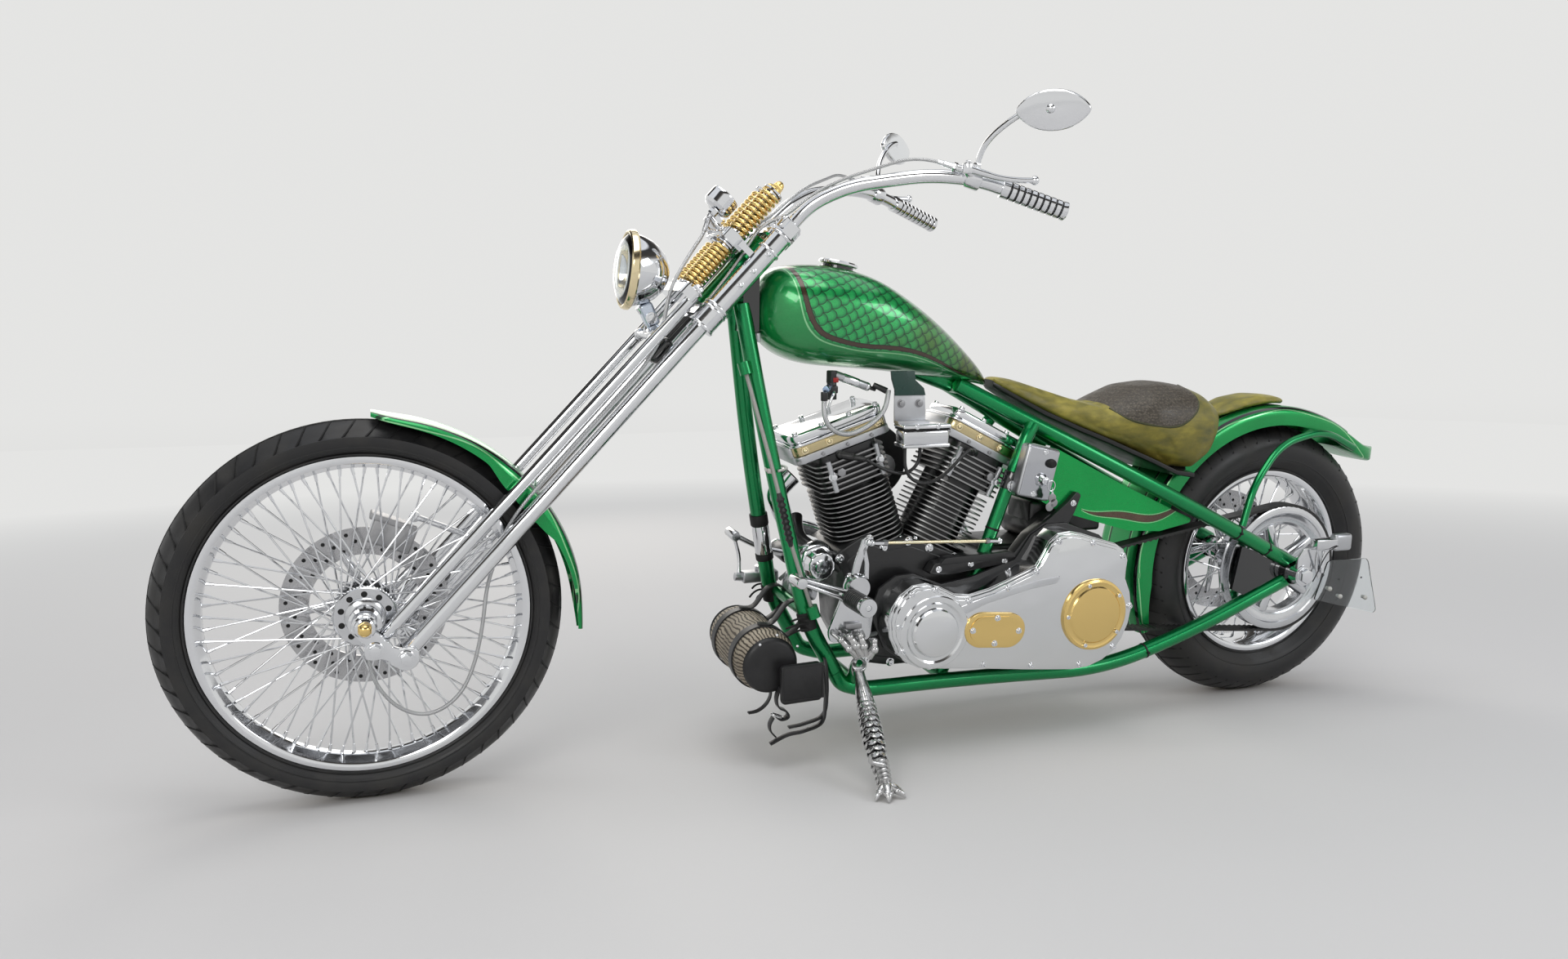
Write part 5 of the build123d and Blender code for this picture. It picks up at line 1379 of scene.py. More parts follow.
def round_loft(sections: Sequence[tuple[float, ...]], steps: int,
               powers: tuple[float, float, float]) -> bmesh.types.BMesh:
    """Return a closed form through rounded sections that stand across x.

    Args:
        sections: For each section, x, its lowest and highest z, and its half width.
        steps: The points around each section.
        powers: How full a section is to its sides, at its top and at its underside. 1 is round, and less
            is fuller.

    Returns:
        The form as a blank.
    """
    blank = bmesh.new()
    loops = []
    for x, low, high, half in sections:
        made = bmesh.ops.create_circle(blank, segments=steps, radius=1.0, cap_ends=False,
                                       matrix=Matrix.Rotation(radians(90), 4, "Y"))
        middle, reach = (low + high) / 2, (high - low) / 2
        for vertex in made["verts"]:
            angle = atan2(vertex.co.y, vertex.co.z)
            y, z = sin(angle), cos(angle)
            vertex.co = Vector((x, half * pushed(y, powers[0]),
                                middle + reach * pushed(z, powers[1 if z > 0 else 2])))
        ring = set(made["verts"])
        loops.append([e for e in blank.edges if e.verts[0] in ring and e.verts[1] in ring])
    for first, second in zip(loops, loops[1:]):
        bmesh.ops.bridge_loops(blank, edges=first + second)
    for loop in (loops[0], loops[-1]):
        bmesh.ops.contextual_create(blank, geom=loop)
    bmesh.ops.recalc_face_normals(blank, faces=blank.faces)
    return blank


def pushed(share: float, power: float) -> float:
    """Return a share from -1 to 1 pushed outwards, which makes a round section fuller."""
    return (1 if share > 0 else -1) * abs(share) ** power


def inside_by(x: float, z: float, outline: Sequence[Point]) -> float:
    """Return how far a point is inside an outline, negative outside it."""
    near, inside = 1e9, False
    for (x1, z1), (x2, z2) in zip(outline, [*outline[1:], outline[0]]):
        run = Vector((x2 - x1, z2 - z1))
        share = max(0.0, min(1.0, Vector((x - x1, z - z1)).dot(run) / run.length_squared))
        near = min(near, hypot(x - x1 - run.x * share, z - z1 - run.y * share))
        if (z1 > z) != (z2 > z) and x < x1 + (z - z1) * (x2 - x1) / (z2 - z1):
            inside = not inside
    return near if inside else -near


@dataclass
class Upholstery:
    """The rider's seat and the passenger's pad, stuffed by a cloth simulation.

    Attributes:
        shop: The workshop.
        voxel: The size of the cloth's cells, in metres.
        pressure: The pressure that swells the cloth.
        frames: How long it swells.
        fender_reach: How far from the rear axle the seat clears the mudguard.
        panel: The inset panel's outline, as x and z.
        sections: The seat's sections, each as x, its lowest and highest z, and its half width.
    """

    shop: Workshop
    voxel: float = 0.0048
    pressure: float = 4.0
    frames: int = 20
    fender_reach: float = 376.0
    panel: tuple[tuple[float, float], ...] = ((462, 800), (452, 684), (430, 668), (390, 659), (340, 652),
                                              (306, 660), (270, 684), (256, 704), (252, 800))
    sections: tuple[tuple[float, float, float, float], ...] = (
        (712, 741, 755, 24), (700, 733, 754, 38), (650, 706, 739, 49), (600, 681, 724, 56),
        (530, 650, 703, 74), (463, 622, 688, 100), (423, 604, 706, 113), (367, 580, 729, 126),
        (309, 554, 736, 131), (262, 546, 732, 129), (224, 572, 720, 120), (196, 612, 702, 101),
        (184, 650, 684, 78))

    def stuff(self, blank: bmesh.types.BMesh, name: str, held: Callable[[Vector], bool],
              most: float) -> bpy.types.Mesh:
        """Remesh a form, let it swell as cloth and return it in the model's frame.

        Args:
            blank: The form, in the motorcycle's millimetres, which is used up.
            name: The name of the mesh.
            held: Whether a point of the motorcycle is held still.
            most: How far a point may move, in metres.

        Returns:
            The mesh.
        """
        data = mesh_of(blank, name)
        data.transform(self.shop.place)
        form = linked(name, data)
        cells = form.modifiers.new("cells", "REMESH")
        cells.mode = "VOXEL"
        cells.voxel_size = self.voxel
        smoother = form.modifiers.new("smoother", "SMOOTH")
        smoother.iterations = 6
        form = self.applied(form, name)
        rest = [vertex.co.copy() for vertex in form.data.vertices]
        back = self.shop.place.inverted()
        pinned = form.vertex_groups.new(name="held")
        pinned.add([k for k, point in enumerate(rest) if held(back @ point)], 1.0, "REPLACE")
        cloth = form.modifiers.new("cloth", "CLOTH")
        cloth.settings.use_pressure = True
        cloth.settings.uniform_pressure_force = self.pressure
        cloth.settings.effector_weights.gravity = 0.0
        cloth.settings.vertex_group_mass = "held"
        cloth.settings.quality = 4
        for frame in range(1, self.frames + 1):
            bpy.context.scene.frame_set(frame)
        form = self.applied(form, name)
        bpy.context.scene.frame_set(1)
        for vertex, start in zip(form.data.vertices, rest):
            move = vertex.co - start
            if move.length > most:
                vertex.co = start + move * (most / move.length)
        result = form.data
        bpy.data.objects.remove(form)
        return result

    def applied(self, form: bpy.types.Object, name: str) -> bpy.types.Object:
        """Return a new object of a form's mesh with its modifiers applied, and remove the form."""
        graph = bpy.context.evaluated_depsgraph_get()
        data = bpy.data.meshes.new_from_object(form.evaluated_get(graph))
        bpy.data.objects.remove(form)
        return linked(name, data)

    def cover(self, data: bpy.types.Mesh, name: str, finish: Finish, node: str, slot: str, fill: float,
              marks: Callable[[Vector], Point]) -> None:
        """Make a stuffed mesh the piece that stands for a CAD node.

        Args:
            data: The mesh, in the model's frame.
            name: The piece's name.
            finish: Its finish.
            node: The CAD node that it replaces.
            slot: The record's material slot.
            fill: Not used.
            marks: A function from a point of the motorcycle to the pattern's coordinates there.
        """
        back = self.shop.place.inverted()
        carry(data, "marks", lambda point: marks(back @ point))
        data.materials.clear()
        piece = self.shop.present(data, name, Body.FRAME, [finish], [node], slot)
        finer = piece.modifiers.new("finer", "SUBSURF")
        finer.levels = finer.render_levels = 1

    def over_fender(self, vertex: bmesh.types.BMVert) -> None:
        """Lift a point of the seat's underside clear of the mudguard."""
        point = vertex.co
        if abs(point.y) < 86 and point.x < self.fender_reach - 1:
            arc = REAR_TYRE_R + (self.fender_reach ** 2 - point.x ** 2) ** 0.5
            if point.z < arc:
                point.z = min(arc, point.z + 150)

    def seat(self) -> None:
        """Build the rider's seat, its piping and the black base under it."""
        blank = round_loft(self.sections, 56, (0.72, 0.92, 0.5))
        for vertex in blank.verts:
            self.over_fender(vertex)
        data = self.stuff(blank, "stuffed_seat", lambda p: p.z < self.low_at(p.x) + 8, 0.006)
        self.cover(data, "stitched_seat", OLIVE_LEATHER, "seat", "seat_leather", 0.75,
                   lambda p: (inside_by(p.x, p.z, self.panel) / MM_PER_M, 0.0, 0.0))
        base = Shape()
        lower = [(x, low - 8, low + 8, half * 0.9) for x, low, _, half in self.sections[:-3]]
        under = round_loft(lower, 32, (0.5, 0.4, 0.4))
        for vertex in under.verts:
            self.over_fender(vertex)
        base.stamp(under, SEAT_BLACK)
        self.shop.deliver(base, "seat_base", Body.FRAME, sharp=40.0)
        self.piping(data)

    def low_at(self, x: float) -> float:
        """Return the seat's lowest z at an x."""
        for first, second in zip(self.sections, self.sections[1:]):
            if first[0] >= x >= second[0]:
                share = (first[0] - x) / (first[0] - second[0])
                return first[1] + (second[1] - first[1]) * share
        return self.sections[0][1] if x > self.sections[0][0] else self.sections[-1][1]

    def piping(self, data: bpy.types.Mesh) -> None:
        """Lay the piping round the inset panel, on the seat's own surface."""
        tree = BVHTree.FromPolygons([v.co for v in data.vertices], [tuple(p.vertices) for p in data.polygons])
        back = self.shop.place.inverted()
        pipes = Shape()
        for side in (-1, 1):
            route = []
            for x, z in ((456, 690), *self.panel[1:-1], (252, 722), (251, 732)):
                start = self.shop.spot((x, side * 240, z))
                aim = self.shop.spot((x, 0, z)) - start
                hit = tree.ray_cast(start, aim.normalized(), aim.length)[0]
                if hit is not None:
                    route.append(back @ hit)
            if len(route) > 2:
                pipes.wire(DARK_LEATHER, route, 2.4, sides=3)
        self.shop.deliver(pipes, "seat_piping", Body.FRAME)

    def pad(self) -> None:
        """Build the passenger's pad, bent to the mudguard."""
        start, end = radians(66.5), radians(97.5)
        reach = REAR_FENDER_R + 2.5
        length = reach * (end - start)
        halves = ((0.0, 30), (0.05, 42), (0.15, 50), (0.35, 54), (0.6, 52), (0.82, 44), (0.94, 34), (1.0, 22))
        sections = [(length * share, 0.0, 11 + 12 * sin(pi * min(1, max(0, share * 0.9 + 0.05))),
                     half) for share, half in halves]
        blank = round_loft(sections, 36, (0.75, 0.9, 0.35))
        for vertex in blank.verts:
            angle = start + vertex.co.x / reach
            radius = reach + vertex.co.z
            vertex.co = REAR_AXLE + Vector((radius * cos(angle), vertex.co.y, radius * sin(angle)))
        bmesh.ops.recalc_face_normals(blank, faces=blank.faces)
        data = self.stuff(blank, "stuffed_pad",
                          lambda p: (p - REAR_AXLE - SIDEWAYS * p.y).length < REAR_FENDER_R + 6, 0.005)
        self.cover(data, "stitched_pad", OLIVE_LEATHER, "pillion_pad", "seat_leather", 0.7,
                   lambda p: (-1.0, 0.0, 0.0))

    def build(self) -> None:
        """Build the seat and the pad."""
        self.seat()
        self.pad()


@dataclass
class Fenders:
    """The two mudguards.

    Attributes:
        shop: The workshop.
    """

    shop: Workshop

    def arc(self, shape: Shape, finish: Finish, inner: Finish, radius: float, half: float, depth: float,
            start: float, sweep: float, form: Callable[[float, Vector], Vector], steps: int = 60) -> None:
        """Add a channel-shaped arc about the y axis.

        Args:
            shape: Where it goes.
            finish: Its outer finish.
            inner: Its finish underneath.
            radius: Its crown's radius.
            half: Its half width.
            depth: How deep its sides are.
            start: Where it starts, in degrees over the x axis.
            sweep: How far it goes.
            form: A function from the share of the sweep and a point to the point's place.
            steps: The steps along it.
        """
        outer = [(radius - depth, -half), (radius - 0.5 * depth, -half), (radius - 13, -half + 1),
                 (radius - 6, -half + 5), (radius - 2, -half + 12), (radius, -half + 22), (radius, 0)]
        outer += [(r, -y) for r, y in reversed(outer[:-1])]
        wall = 2.4
        under = [(r - (wall if abs(y) < half - 8 else 0.7 * wall), y * (1 - wall / half)) for r,
                 y in reversed(outer)]
        under[0] = (outer[-1][0], outer[-1][1] - wall)
        under[-1] = (outer[0][0], outer[0][1] + wall)
        blank = bmesh.new()
        ring = [blank.verts.new((r, y, 0)) for r, y in outer + under]
        face = blank.faces.new(ring)
        geometry = ring + blank.edges[:] + [face]
        bmesh.ops.spin(blank, geom=geometry, cent=(0, 0, 0), axis=(0, -1, 0), angle=radians(sweep),
                       steps=steps, use_merge=False)
        black = shape.paint(inner)
        bright = shape.paint(finish)
        middle = radius - 0.5 * wall
        for item in blank.faces:
            spot = item.calc_center_median()
            from_axis = hypot(spot.x, spot.z)
            low = from_axis < middle and abs(spot.y) < half - 1.3 * wall
            item.material_index = black if low else bright
        for vertex in blank.verts:
            share = atan2(vertex.co.z, vertex.co.x) / radians(sweep)
            if share < -0.01:
                share += 2 * pi / radians(sweep)
            vertex.co = form(share, vertex.co.copy())
        turn = Matrix.Rotation(-radians(start), 4, "Y")
        bmesh.ops.recalc_face_normals(blank, faces=blank.faces)
        shape.stamp(blank, None, turn)

    def marks_about(self, centre: Vector, crown: float) -> Callable[[Vector], Point]:
        """Return the function that gives the paint's coordinates on a mudguard, about its middle."""
        def marks(point: Vector) -> Point:
            """Return the coordinates at a point."""
            off = point - centre
            return (atan2(off.z, -off.x) * crown / MM_PER_M, abs(point.y) / MM_PER_M,
                    (crown - hypot(off.x, off.z)) / MM_PER_M)

        return marks

    def front(self) -> None:
        """Build the front mudguard, deeper by the legs and pointed at its tail."""
        centre = FRONT_AXLE + Vector((-11, 0, -17))

        def form(share: float, point: Vector) -> Vector:
            """Deepen the sides by the legs and draw the tail in."""
            out = Vector((point.x, 0, point.z))
            radius = out.length
            depth = (FRONT_FENDER_R - radius) / 26
            ahead, behind = max(0.0, (0.42 - share) / 0.42), max(0.0, (share - 0.66) / 0.34)
            deep = 22.0 * max(0.0, 1 - ((share - 0.52) / 0.16) ** 2) * max(0.0, depth - 0.3)
            slim = 17.0 * depth * max(ahead ** 0.8, behind ** 0.7)
            lift = 6.0 * max(0.0, (0.09 - share) / 0.09) ** 2 + 5.0 * max(0.0, (share - 0.88) / 0.12) ** 2
            narrow = 1 - 0.8 * behind ** 2.2 - 0.5 * max(0.0, (0.12 - share) / 0.12) ** 2
            out *= (radius - deep + slim + lift) / radius
            return Vector((out.x, point.y * narrow, out.z))

        fender = Shape()
        self.arc(fender, STRIPED_GREEN, GLOSS_BLACK, FRONT_FENDER_R, 52, 26, 92, 95, form)
        bmesh.ops.transform(fender.mesh, matrix=Matrix.Translation(centre), verts=fender.mesh.verts)

        self.shop.deliver(fender, "striped_front_fender", Body.FORK, ("front_fender",), "candy_green", 40.0,
                          self.marks_about(centre, FRONT_FENDER_R))
        stays = Shape()
        for side in (-1, 1):
            for up in (-560, -625):
                foot = fork_point(0, up, side * LEG_Y)
                stays.bolt(CHROME, foot - SIDEWAYS * (side * 14), (0, -side, 0), 6, 4, "hex", 8)
        self.shop.deliver(stays, "front_fender_bolts", Body.FORK)

    def rear(self) -> None:
        """Build the rear mudguard with its deep, pointed tail."""
        def form(share: float, point: Vector) -> Vector:
            """Make the front end shallow and draw the tail in a little."""
            out = Vector((point.x, 0, point.z))
            radius = out.length
            depth = (REAR_FENDER_R - radius) / 42
            tail = max(0.0, (share - 0.84) / 0.16)
            flip = 4.0 * tail ** 2
            shallow = 22 * max(0.0, depth) * max(0.0, (0.12 - share) / 0.12)
            narrow = 1 - 0.07 * tail ** 1.5
            out *= (radius + flip + shallow) / radius
            return Vector((out.x, point.y * narrow, out.z))

        fender = Shape()
        self.arc(fender, STRIPED_GREEN, GLOSS_BLACK, REAR_FENDER_R, 77, 42, -22, 146, form, 84)
        bmesh.ops.transform(fender.mesh, matrix=Matrix.Translation(REAR_AXLE), verts=fender.mesh.verts)
        end = radians(124)
        tip = REAR_AXLE + Vector((REAR_FENDER_R * cos(end), 0, REAR_FENDER_R * sin(end)))
        profile = ((17, -36, 4, 69.5), (2, -44, 1, 70), (-14, -51, -8, 70), (-34, -59, -20, 68.5),
                   (-54, -67, -31, 66), (-74, -73, -37, 61), (-88, -76.5, -40, 55), (-95, -66, -41, 49),
                   (-102, -54, -42, 43), (-108, -45, -43, 36))
        sections = [(tip.x + x, tip.z + low, tip.z + high, half) for x, low, high, half in profile]
        fender.stamp(round_loft(sections, 40, (0.35, 0.35, 0.35)), STRIPED_GREEN)

        self.shop.deliver(fender, "striped_rear_fender", Body.FRAME, ("rear_fender",), "candy_green", 40.0,
                          self.marks_about(REAR_AXLE, REAR_FENDER_R))

    def build(self) -> None:
        """Build both mudguards."""
        self.front()
        self.rear()


STRIPED_GREEN = BandPaint("striped_green")
EDGED_GREEN = EdgeStripes("edged_green")
OLIVE_LEATHER = Leather("olive_leather")
DARK_LEATHER = Rubber("dark_leather", (0.045, 0.05, 0.016), (0.08, 0.08, 0.03), (0.4, 0.6), 0.0002, 700.0)
SEAT_BLACK = Rubber("seat_base_black", (0.01, 0.01, 0.01), (0.02, 0.02, 0.02), (0.35, 0.5), 0.0001, 500.0)


@dataclass
class Wheel:
    """A tyre on a spoked rim, with its hub and brake disc.

    Attributes:
        shop: The workshop.
        prefix: front or rear.
        body: The wheel's body.
        axle: The wheel's middle.
        tyre_r: The tyre's outer radius.
        tyre_half: Half of its width.
        rim_r: The rim's outer radius.
        rim_half: Half of its width.
        flange_r: The hub flanges' radius.
        flange_y: How far the flanges are from the middle.
        spokes: The number of spokes.
        crown: How far the tread's middle stands over its shoulders.
        grooves: The number of grooves on each side of the tread.
    """

    shop: Workshop
    prefix: str
    body: Body
    axle: Vector
    tyre_r: float
    tyre_half: float
    rim_r: float
    rim_half: float
    flange_r: float
    flange_y: float
    spokes: int
    crown: float
    grooves: int = 54

    def tyre_profile(self) -> list[Point]:
        """Return the tyre's outer half section, from one bead to the other."""
        r, w, b, c = self.tyre_r, self.tyre_half, self.rim_r, self.crown
        left = [(b - 4, -self.rim_half + 6), (b + 2, -self.rim_half + 2), (b + 8, -self.rim_half - 1),
                (b + 0.2 * (r - b), -0.86 * w), (b + 0.24 * (r - b), -0.9 * w), (b + 0.4 * (r - b), -w),
                (b + 0.58 * (r - b), -0.98 * w), (r - c - 9, -0.86 * w), (r - c, -0.7 * w),
                (r - 0.5 * c, -0.5 * w), (r - 0.12 * c, -0.24 * w)]
        return left + [(r, 0.0)] + [(p[0], -p[1]) for p in reversed(left)]

    def tyre(self) -> None:
        """Build the tyre, with ribs on its walls and a cut tread."""
        tyre = Shape()
        tyre.lathe(TYRE_RUBBER, self.tyre_profile(), self.axle, SIDEWAYS, 144)
        for side in (-1, 1):
            for radius, half in ((self.rim_r + 5, self.rim_half + 2.4),
                                 (self.rim_r + 0.3 * (self.tyre_r - self.rim_r), None)):
                y = self.wall(radius) if half is None else half
                tyre.lathe(TYRE_RUBBER, [(radius - 1.6, y - 2), (radius - 1.0, y + 0.7),
                                         (radius + 1.0, y + 0.7), (radius + 1.6, y - 2)], self.axle,
                           SIDEWAYS * side, 120)
        self.tread(tyre)
        self.shop.deliver(tyre, self.prefix + "_tyre_treaded", self.body, (self.prefix + "_tyre",), "tyre",
                          40.0)

    def wall(self, radius: float) -> float:
        """Return how far from the middle the tyre's wall is at a radius."""
        profile = [p for p in self.tyre_profile() if p[1] <= 0]
        for first, second in zip(profile, profile[1:]):
            if first[0] <= radius <= second[0]:
                share = (radius - first[0]) / (second[0] - first[0])
                return -(first[1] + (second[1] - first[1]) * share)
        return self.tyre_half

    def tread(self, tyre: Shape) -> None:
        """Cut the tread's grooves, as dark bars let into it, whose near-black is painted shade."""
        for side in (-1, 1):
            bar = bmesh.new()
            profile = [(0.90, 0.34), (0.72, 0.12), (0.48, -0.08), (0.2, -0.2)]
            for (y1, t1), (y2, t2) in zip(profile, profile[1:]):
                self.groove(bar, side, y1, t1, y2, t2)
            turns = [2 * pi * (k + 0.25 * side) / self.grooves for k in range(self.grooves)]
            places = [Matrix.Translation(self.axle) @ Matrix.Rotation(turn, 4, "Y") for turn in turns]
            tyre.stamp(bar, BLACK_AND_PAINTED_SHADE, *places)
        for y in (-0.1 * self.tyre_half, 0.1 * self.tyre_half):
            r = self.tyre_r - 0.02 * self.crown
            tyre.lathe(BLACK_AND_PAINTED_SHADE, [(r - 3, y - 1.5), (r + 0.35, y - 1.5), (r + 0.35, y + 1.5),
                                      (r - 3, y + 1.5)], self.axle, SIDEWAYS, 120)

    def groove(self, bar: bmesh.types.BMesh, side: int, y1: float, t1: float, y2: float, t2: float) -> None:
        """Add one straight length of a groove, between two shares of the width and of the pitch."""
        pitch = 2 * pi / self.grooves
        ends = []
        for y, t in ((y1, t1), (y2, t2)):
            radius = self.radius_at(y * self.tyre_half)
            ends.append(Vector((radius * sin(t * pitch), side * y * self.tyre_half, radius * cos(t * pitch))))
        run = ends[1] - ends[0]
        bmesh.ops.create_cube(bar, size=1.0,
                              matrix=basis((ends[0] + ends[1]) / 2, run, (ends[0] + ends[1]) / 2)
                              @ Matrix.Diagonal((2.0, 3.2, run.length + 2, 1)))

    def radius_at(self, y: float) -> float:
        """Return the tyre's radius at a distance from its middle."""
        profile = self.tyre_profile()
        for first, second in zip(profile, profile[1:]):
            if first[1] <= y <= second[1] and second[1] > first[1] and first[0] > self.rim_r + 20:
                share = (y - first[1]) / (second[1] - first[1])
                return first[0] + (second[0] - first[0]) * share
        return self.tyre_r

    def rim(self) -> None:
        """Build the rolled rim."""
        r, w = self.rim_r, self.rim_half
        half = [(r + 1, -w), (r + 4, -w + 2.4), (r - 1, -w + 3.6), (r - 7, -w + 6), (r - 12, -w + 12),
                (r - 17, -w + 20), (r - 19, -0.25 * w)]
        inner = [(r - 21.5, -0.25 * w), (r - 19.5, -w + 20), (r - 14.5, -w + 10), (r - 12, -w + 3),
                 (r - 8, -w + 0.2), (r - 3, -w - 0.6)]
        outer = half + [(p[0], -p[1]) for p in reversed(half)]
        back = [(p[0], -p[1]) for p in inner[::-1]] + inner
        rim = Shape()
        rim.lathe(CHROME, outer + back, self.axle, SIDEWAYS, 144)
        self.nipples(rim)
        self.shop.deliver(rim, self.prefix + "_rim_rolled", self.body, (self.prefix + "_rim",), "chrome",
                          30.0)

    def spoke_ends(self) -> list[tuple[Vector, Vector]]:
        """Return the hub end and the rim end of every spoke, crossing in pairs."""
        ends = []
        quarter = self.spokes // 4
        for side in (-1, 1):
            for lean in (-1, 1):
                for k in range(quarter):
                    around = 2 * pi * (k + 0.25 * side + 0.12 * lean) / quarter
                    twist = lean * radians(62)
                    hub = self.turned(self.flange_r - 4, side * (self.flange_y + 1.2 * lean), around + twist)
                    outer = self.turned(self.rim_r - 21, side * 0.1 * self.rim_half, around)
                    ends.append((hub, outer))
        return ends

    def turned(self, radius: float, y: float, angle: float) -> Vector:
        """Return a point at a radius and an angle round the axle."""
        return self.axle + Vector((radius * sin(angle), y, radius * cos(angle)))

    def nipples(self, rim: Shape) -> None:
        """Add the spokes' nipples to the rim."""
        blank = bmesh.new()
        bmesh.ops.create_cone(blank, cap_ends=True, segments=8, radius1=3.4, radius2=2.6, depth=15)
        places = []
        for hub, outer in self.spoke_ends():
            run = (hub - outer).normalized()
            places.append(basis(outer + run * 6.5, run))
        rim.stamp(blank, CHROME, *places)

    def spoke_set(self) -> None:
        """Build the spokes, with their heads at the flanges."""
        spokes = Shape()
        for hub, outer in self.spoke_ends():
            spokes.rod(SPOKE_STEEL, hub, outer, 1.75, sides=8)
            side = 1 if hub.y > self.axle.y else -1
            spokes.rod(SPOKE_STEEL, hub + SIDEWAYS * (2.2 * side), hub - SIDEWAYS * (2.2 * side), 3.2,
                       sides=8)
        self.shop.deliver(spokes, self.prefix + "_spokes_laced", self.body, (self.prefix + "_spokes",),
                          "chrome")

    def disc(self, shape: Shape, y: float, radius: float, inner: float) -> None:
        """Add a drilled brake disc with a slim carrier."""
        side = 1 if y > 0 else -1
        shape.lathe(DISC_STEEL, [(inner, -2.4), (inner, 2.4), (radius, 2.4), (radius, -2.4)],
                    self.axle + SIDEWAYS * y, SIDEWAYS, 96)
        # The drilled holes are near-black plugs: painted shade where the disc is open.
        hole = bmesh.new()
        bmesh.ops.create_cone(hole, cap_ends=True, segments=12, radius1=3.6, radius2=3.6, depth=5.3)
        places = []
        for share, shift in ((0.22, 0.0), (0.5, 0.33), (0.78, 0.66)):
            reach = inner + (radius - inner) * share
            for k in range(20):
                spot = self.turned(reach, y, 2 * pi * (k + shift) / 20)
                places.append(Matrix.Translation(spot) @ Matrix.Rotation(radians(90), 4, "X"))
        shape.stamp(hole, BLACK_AND_PAINTED_SHADE, *places)
        for k in range(5):
            angle = 2 * pi * k / 5
            start, end = self.turned(30, y, angle), self.turned(inner + 9, y, angle + 0.35)
            shape.rod(POLISHED, start, end, 9, 7, 12, 1.0)
            shape.bolt(CHROME, end + SIDEWAYS * 2.4 * side, SIDEWAYS * side, 5.5, 4.5, "button", 7.5)

    def hub(self) -> None:
        """Build the hub, which is each wheel's own."""
        raise NotImplementedError

    def build(self) -> None:
        """Build the wheel."""
        self.tyre()
        self.rim()
        self.spoke_set()
        self.hub()


@dataclass
class FrontWheel(Wheel):
    """The 21 inch front wheel."""

    def hub(self) -> None:
        """Build the machined hub, its disc and the spacers."""
        hub = Shape()
        f = self.flange_y
        hub.lathe(POLISHED, [(13, -46), (24, -46), (27, -40), (27, -34), (20, -26), (18, 0), (20, 26),
                             (27, 34), (23, 44), (19, 51), (13, 51)], self.axle, SIDEWAYS, 56)
        for side in (-1, 1):
            hub.lathe(MACHINED, [(18, f - 4.5), (self.flange_r + 7, f - 4.5), (self.flange_r + 9, f - 2.5),
                                 (self.flange_r + 9, f + 2.5), (self.flange_r + 7, f + 4.5), (35, f + 4.5),
                                 (32, f + 8), (22, f + 11), (18, f + 11)], self.axle, SIDEWAYS * side, 96)
            # The flanges' holes are near-black plugs: painted shade where the flange is open.
            hole = bmesh.new()
            bmesh.ops.create_cone(hole, cap_ends=True, segments=16, radius1=5.5, radius2=5.5, depth=9.4)
            places = [Matrix.Translation(self.turned(41.5, side * f, 2 * pi * k / 10))
                      @ Matrix.Rotation(radians(90), 4, "X") for k in range(10)]
            hub.stamp(hole, BLACK_AND_PAINTED_SHADE, *places)
            for k in range(60):
                angle = 2 * pi * k / 60
                edge = self.turned(self.flange_r + 9, side * f, angle)
                hub.ball(MACHINED, edge, 2.2, 4)
        self.disc(hub, -46.5, 146, 96)
        self.shop.deliver(hub, "front_hub_machined", self.body, ("front_hub",), "satin_aluminium")


@dataclass
class RearWheel(Wheel):
    """The 16 inch rear wheel, with its belt pulley."""

    def hub(self) -> None:
        """Build the hub, its pulley and its disc."""
        hub = Shape()
        f = self.flange_y
        hub.lathe(CHROME, [(14, -86), (30, -86), (34, -70), (34, -50), (26, -40), (24, 0), (26, 40),
                           (34, 50), (34, 76), (14, 76)], self.axle, SIDEWAYS, 64)
        for side in (-1, 1):
            hub.lathe(CHROME, [(24, f - 4), (self.flange_r + 3, f - 4), (self.flange_r + 3, f + 4),
                               (24, f + 4)], self.axle, SIDEWAYS * side, 64)
        hub.lathe(POLISHED, [(100, 80), (140, 80), (143, 82), (143, 84), (140.4, 84), (140.4, 108),
                             (143, 108), (143, 110), (140, 112), (128, 112), (126, 109), (110, 107),
                             (106, 104), (100, 104)], self.axle, SIDEWAYS, 120)
        for k in range(5):
            angle = 2 * pi * k / 5 + 0.3
            hub.rod(POLISHED, self.turned(26, 92, angle), self.turned(106, 96, angle), 17, 12, 20, 3.0)
            hub.bolt(CHROME, self.turned(38, 104, angle), SIDEWAYS, 7, 5, "hex", 9)
        hub.lathe(POLISHED, [(14, 76), (44, 76), (44, 104), (36, 108), (14, 108)], self.axle, SIDEWAYS, 56)
        self.disc(hub, -89.5, 146, 100)
        self.shop.deliver(hub, "rear_hub_polished", self.body, ("rear_hub",), "satin_aluminium")


def front_wheel(shop: Workshop) -> FrontWheel:
    """Return the front wheel, with its sizes."""
    return FrontWheel(shop, "front", Body.FRONT_WHEEL, FRONT_AXLE, FRONT_TYRE_R, 46.0, 285.0, 33.0, 45.0,
                      30.0, 80, 16.0)


def rear_wheel(shop: Workshop) -> RearWheel:
    """Return the rear wheel, with its sizes."""
    return RearWheel(shop, "rear", Body.REAR_WHEEL, REAR_AXLE, REAR_TYRE_R, 69.0, 213.0, 48.0, 50.0, 42.0,
                     40, 20.0)


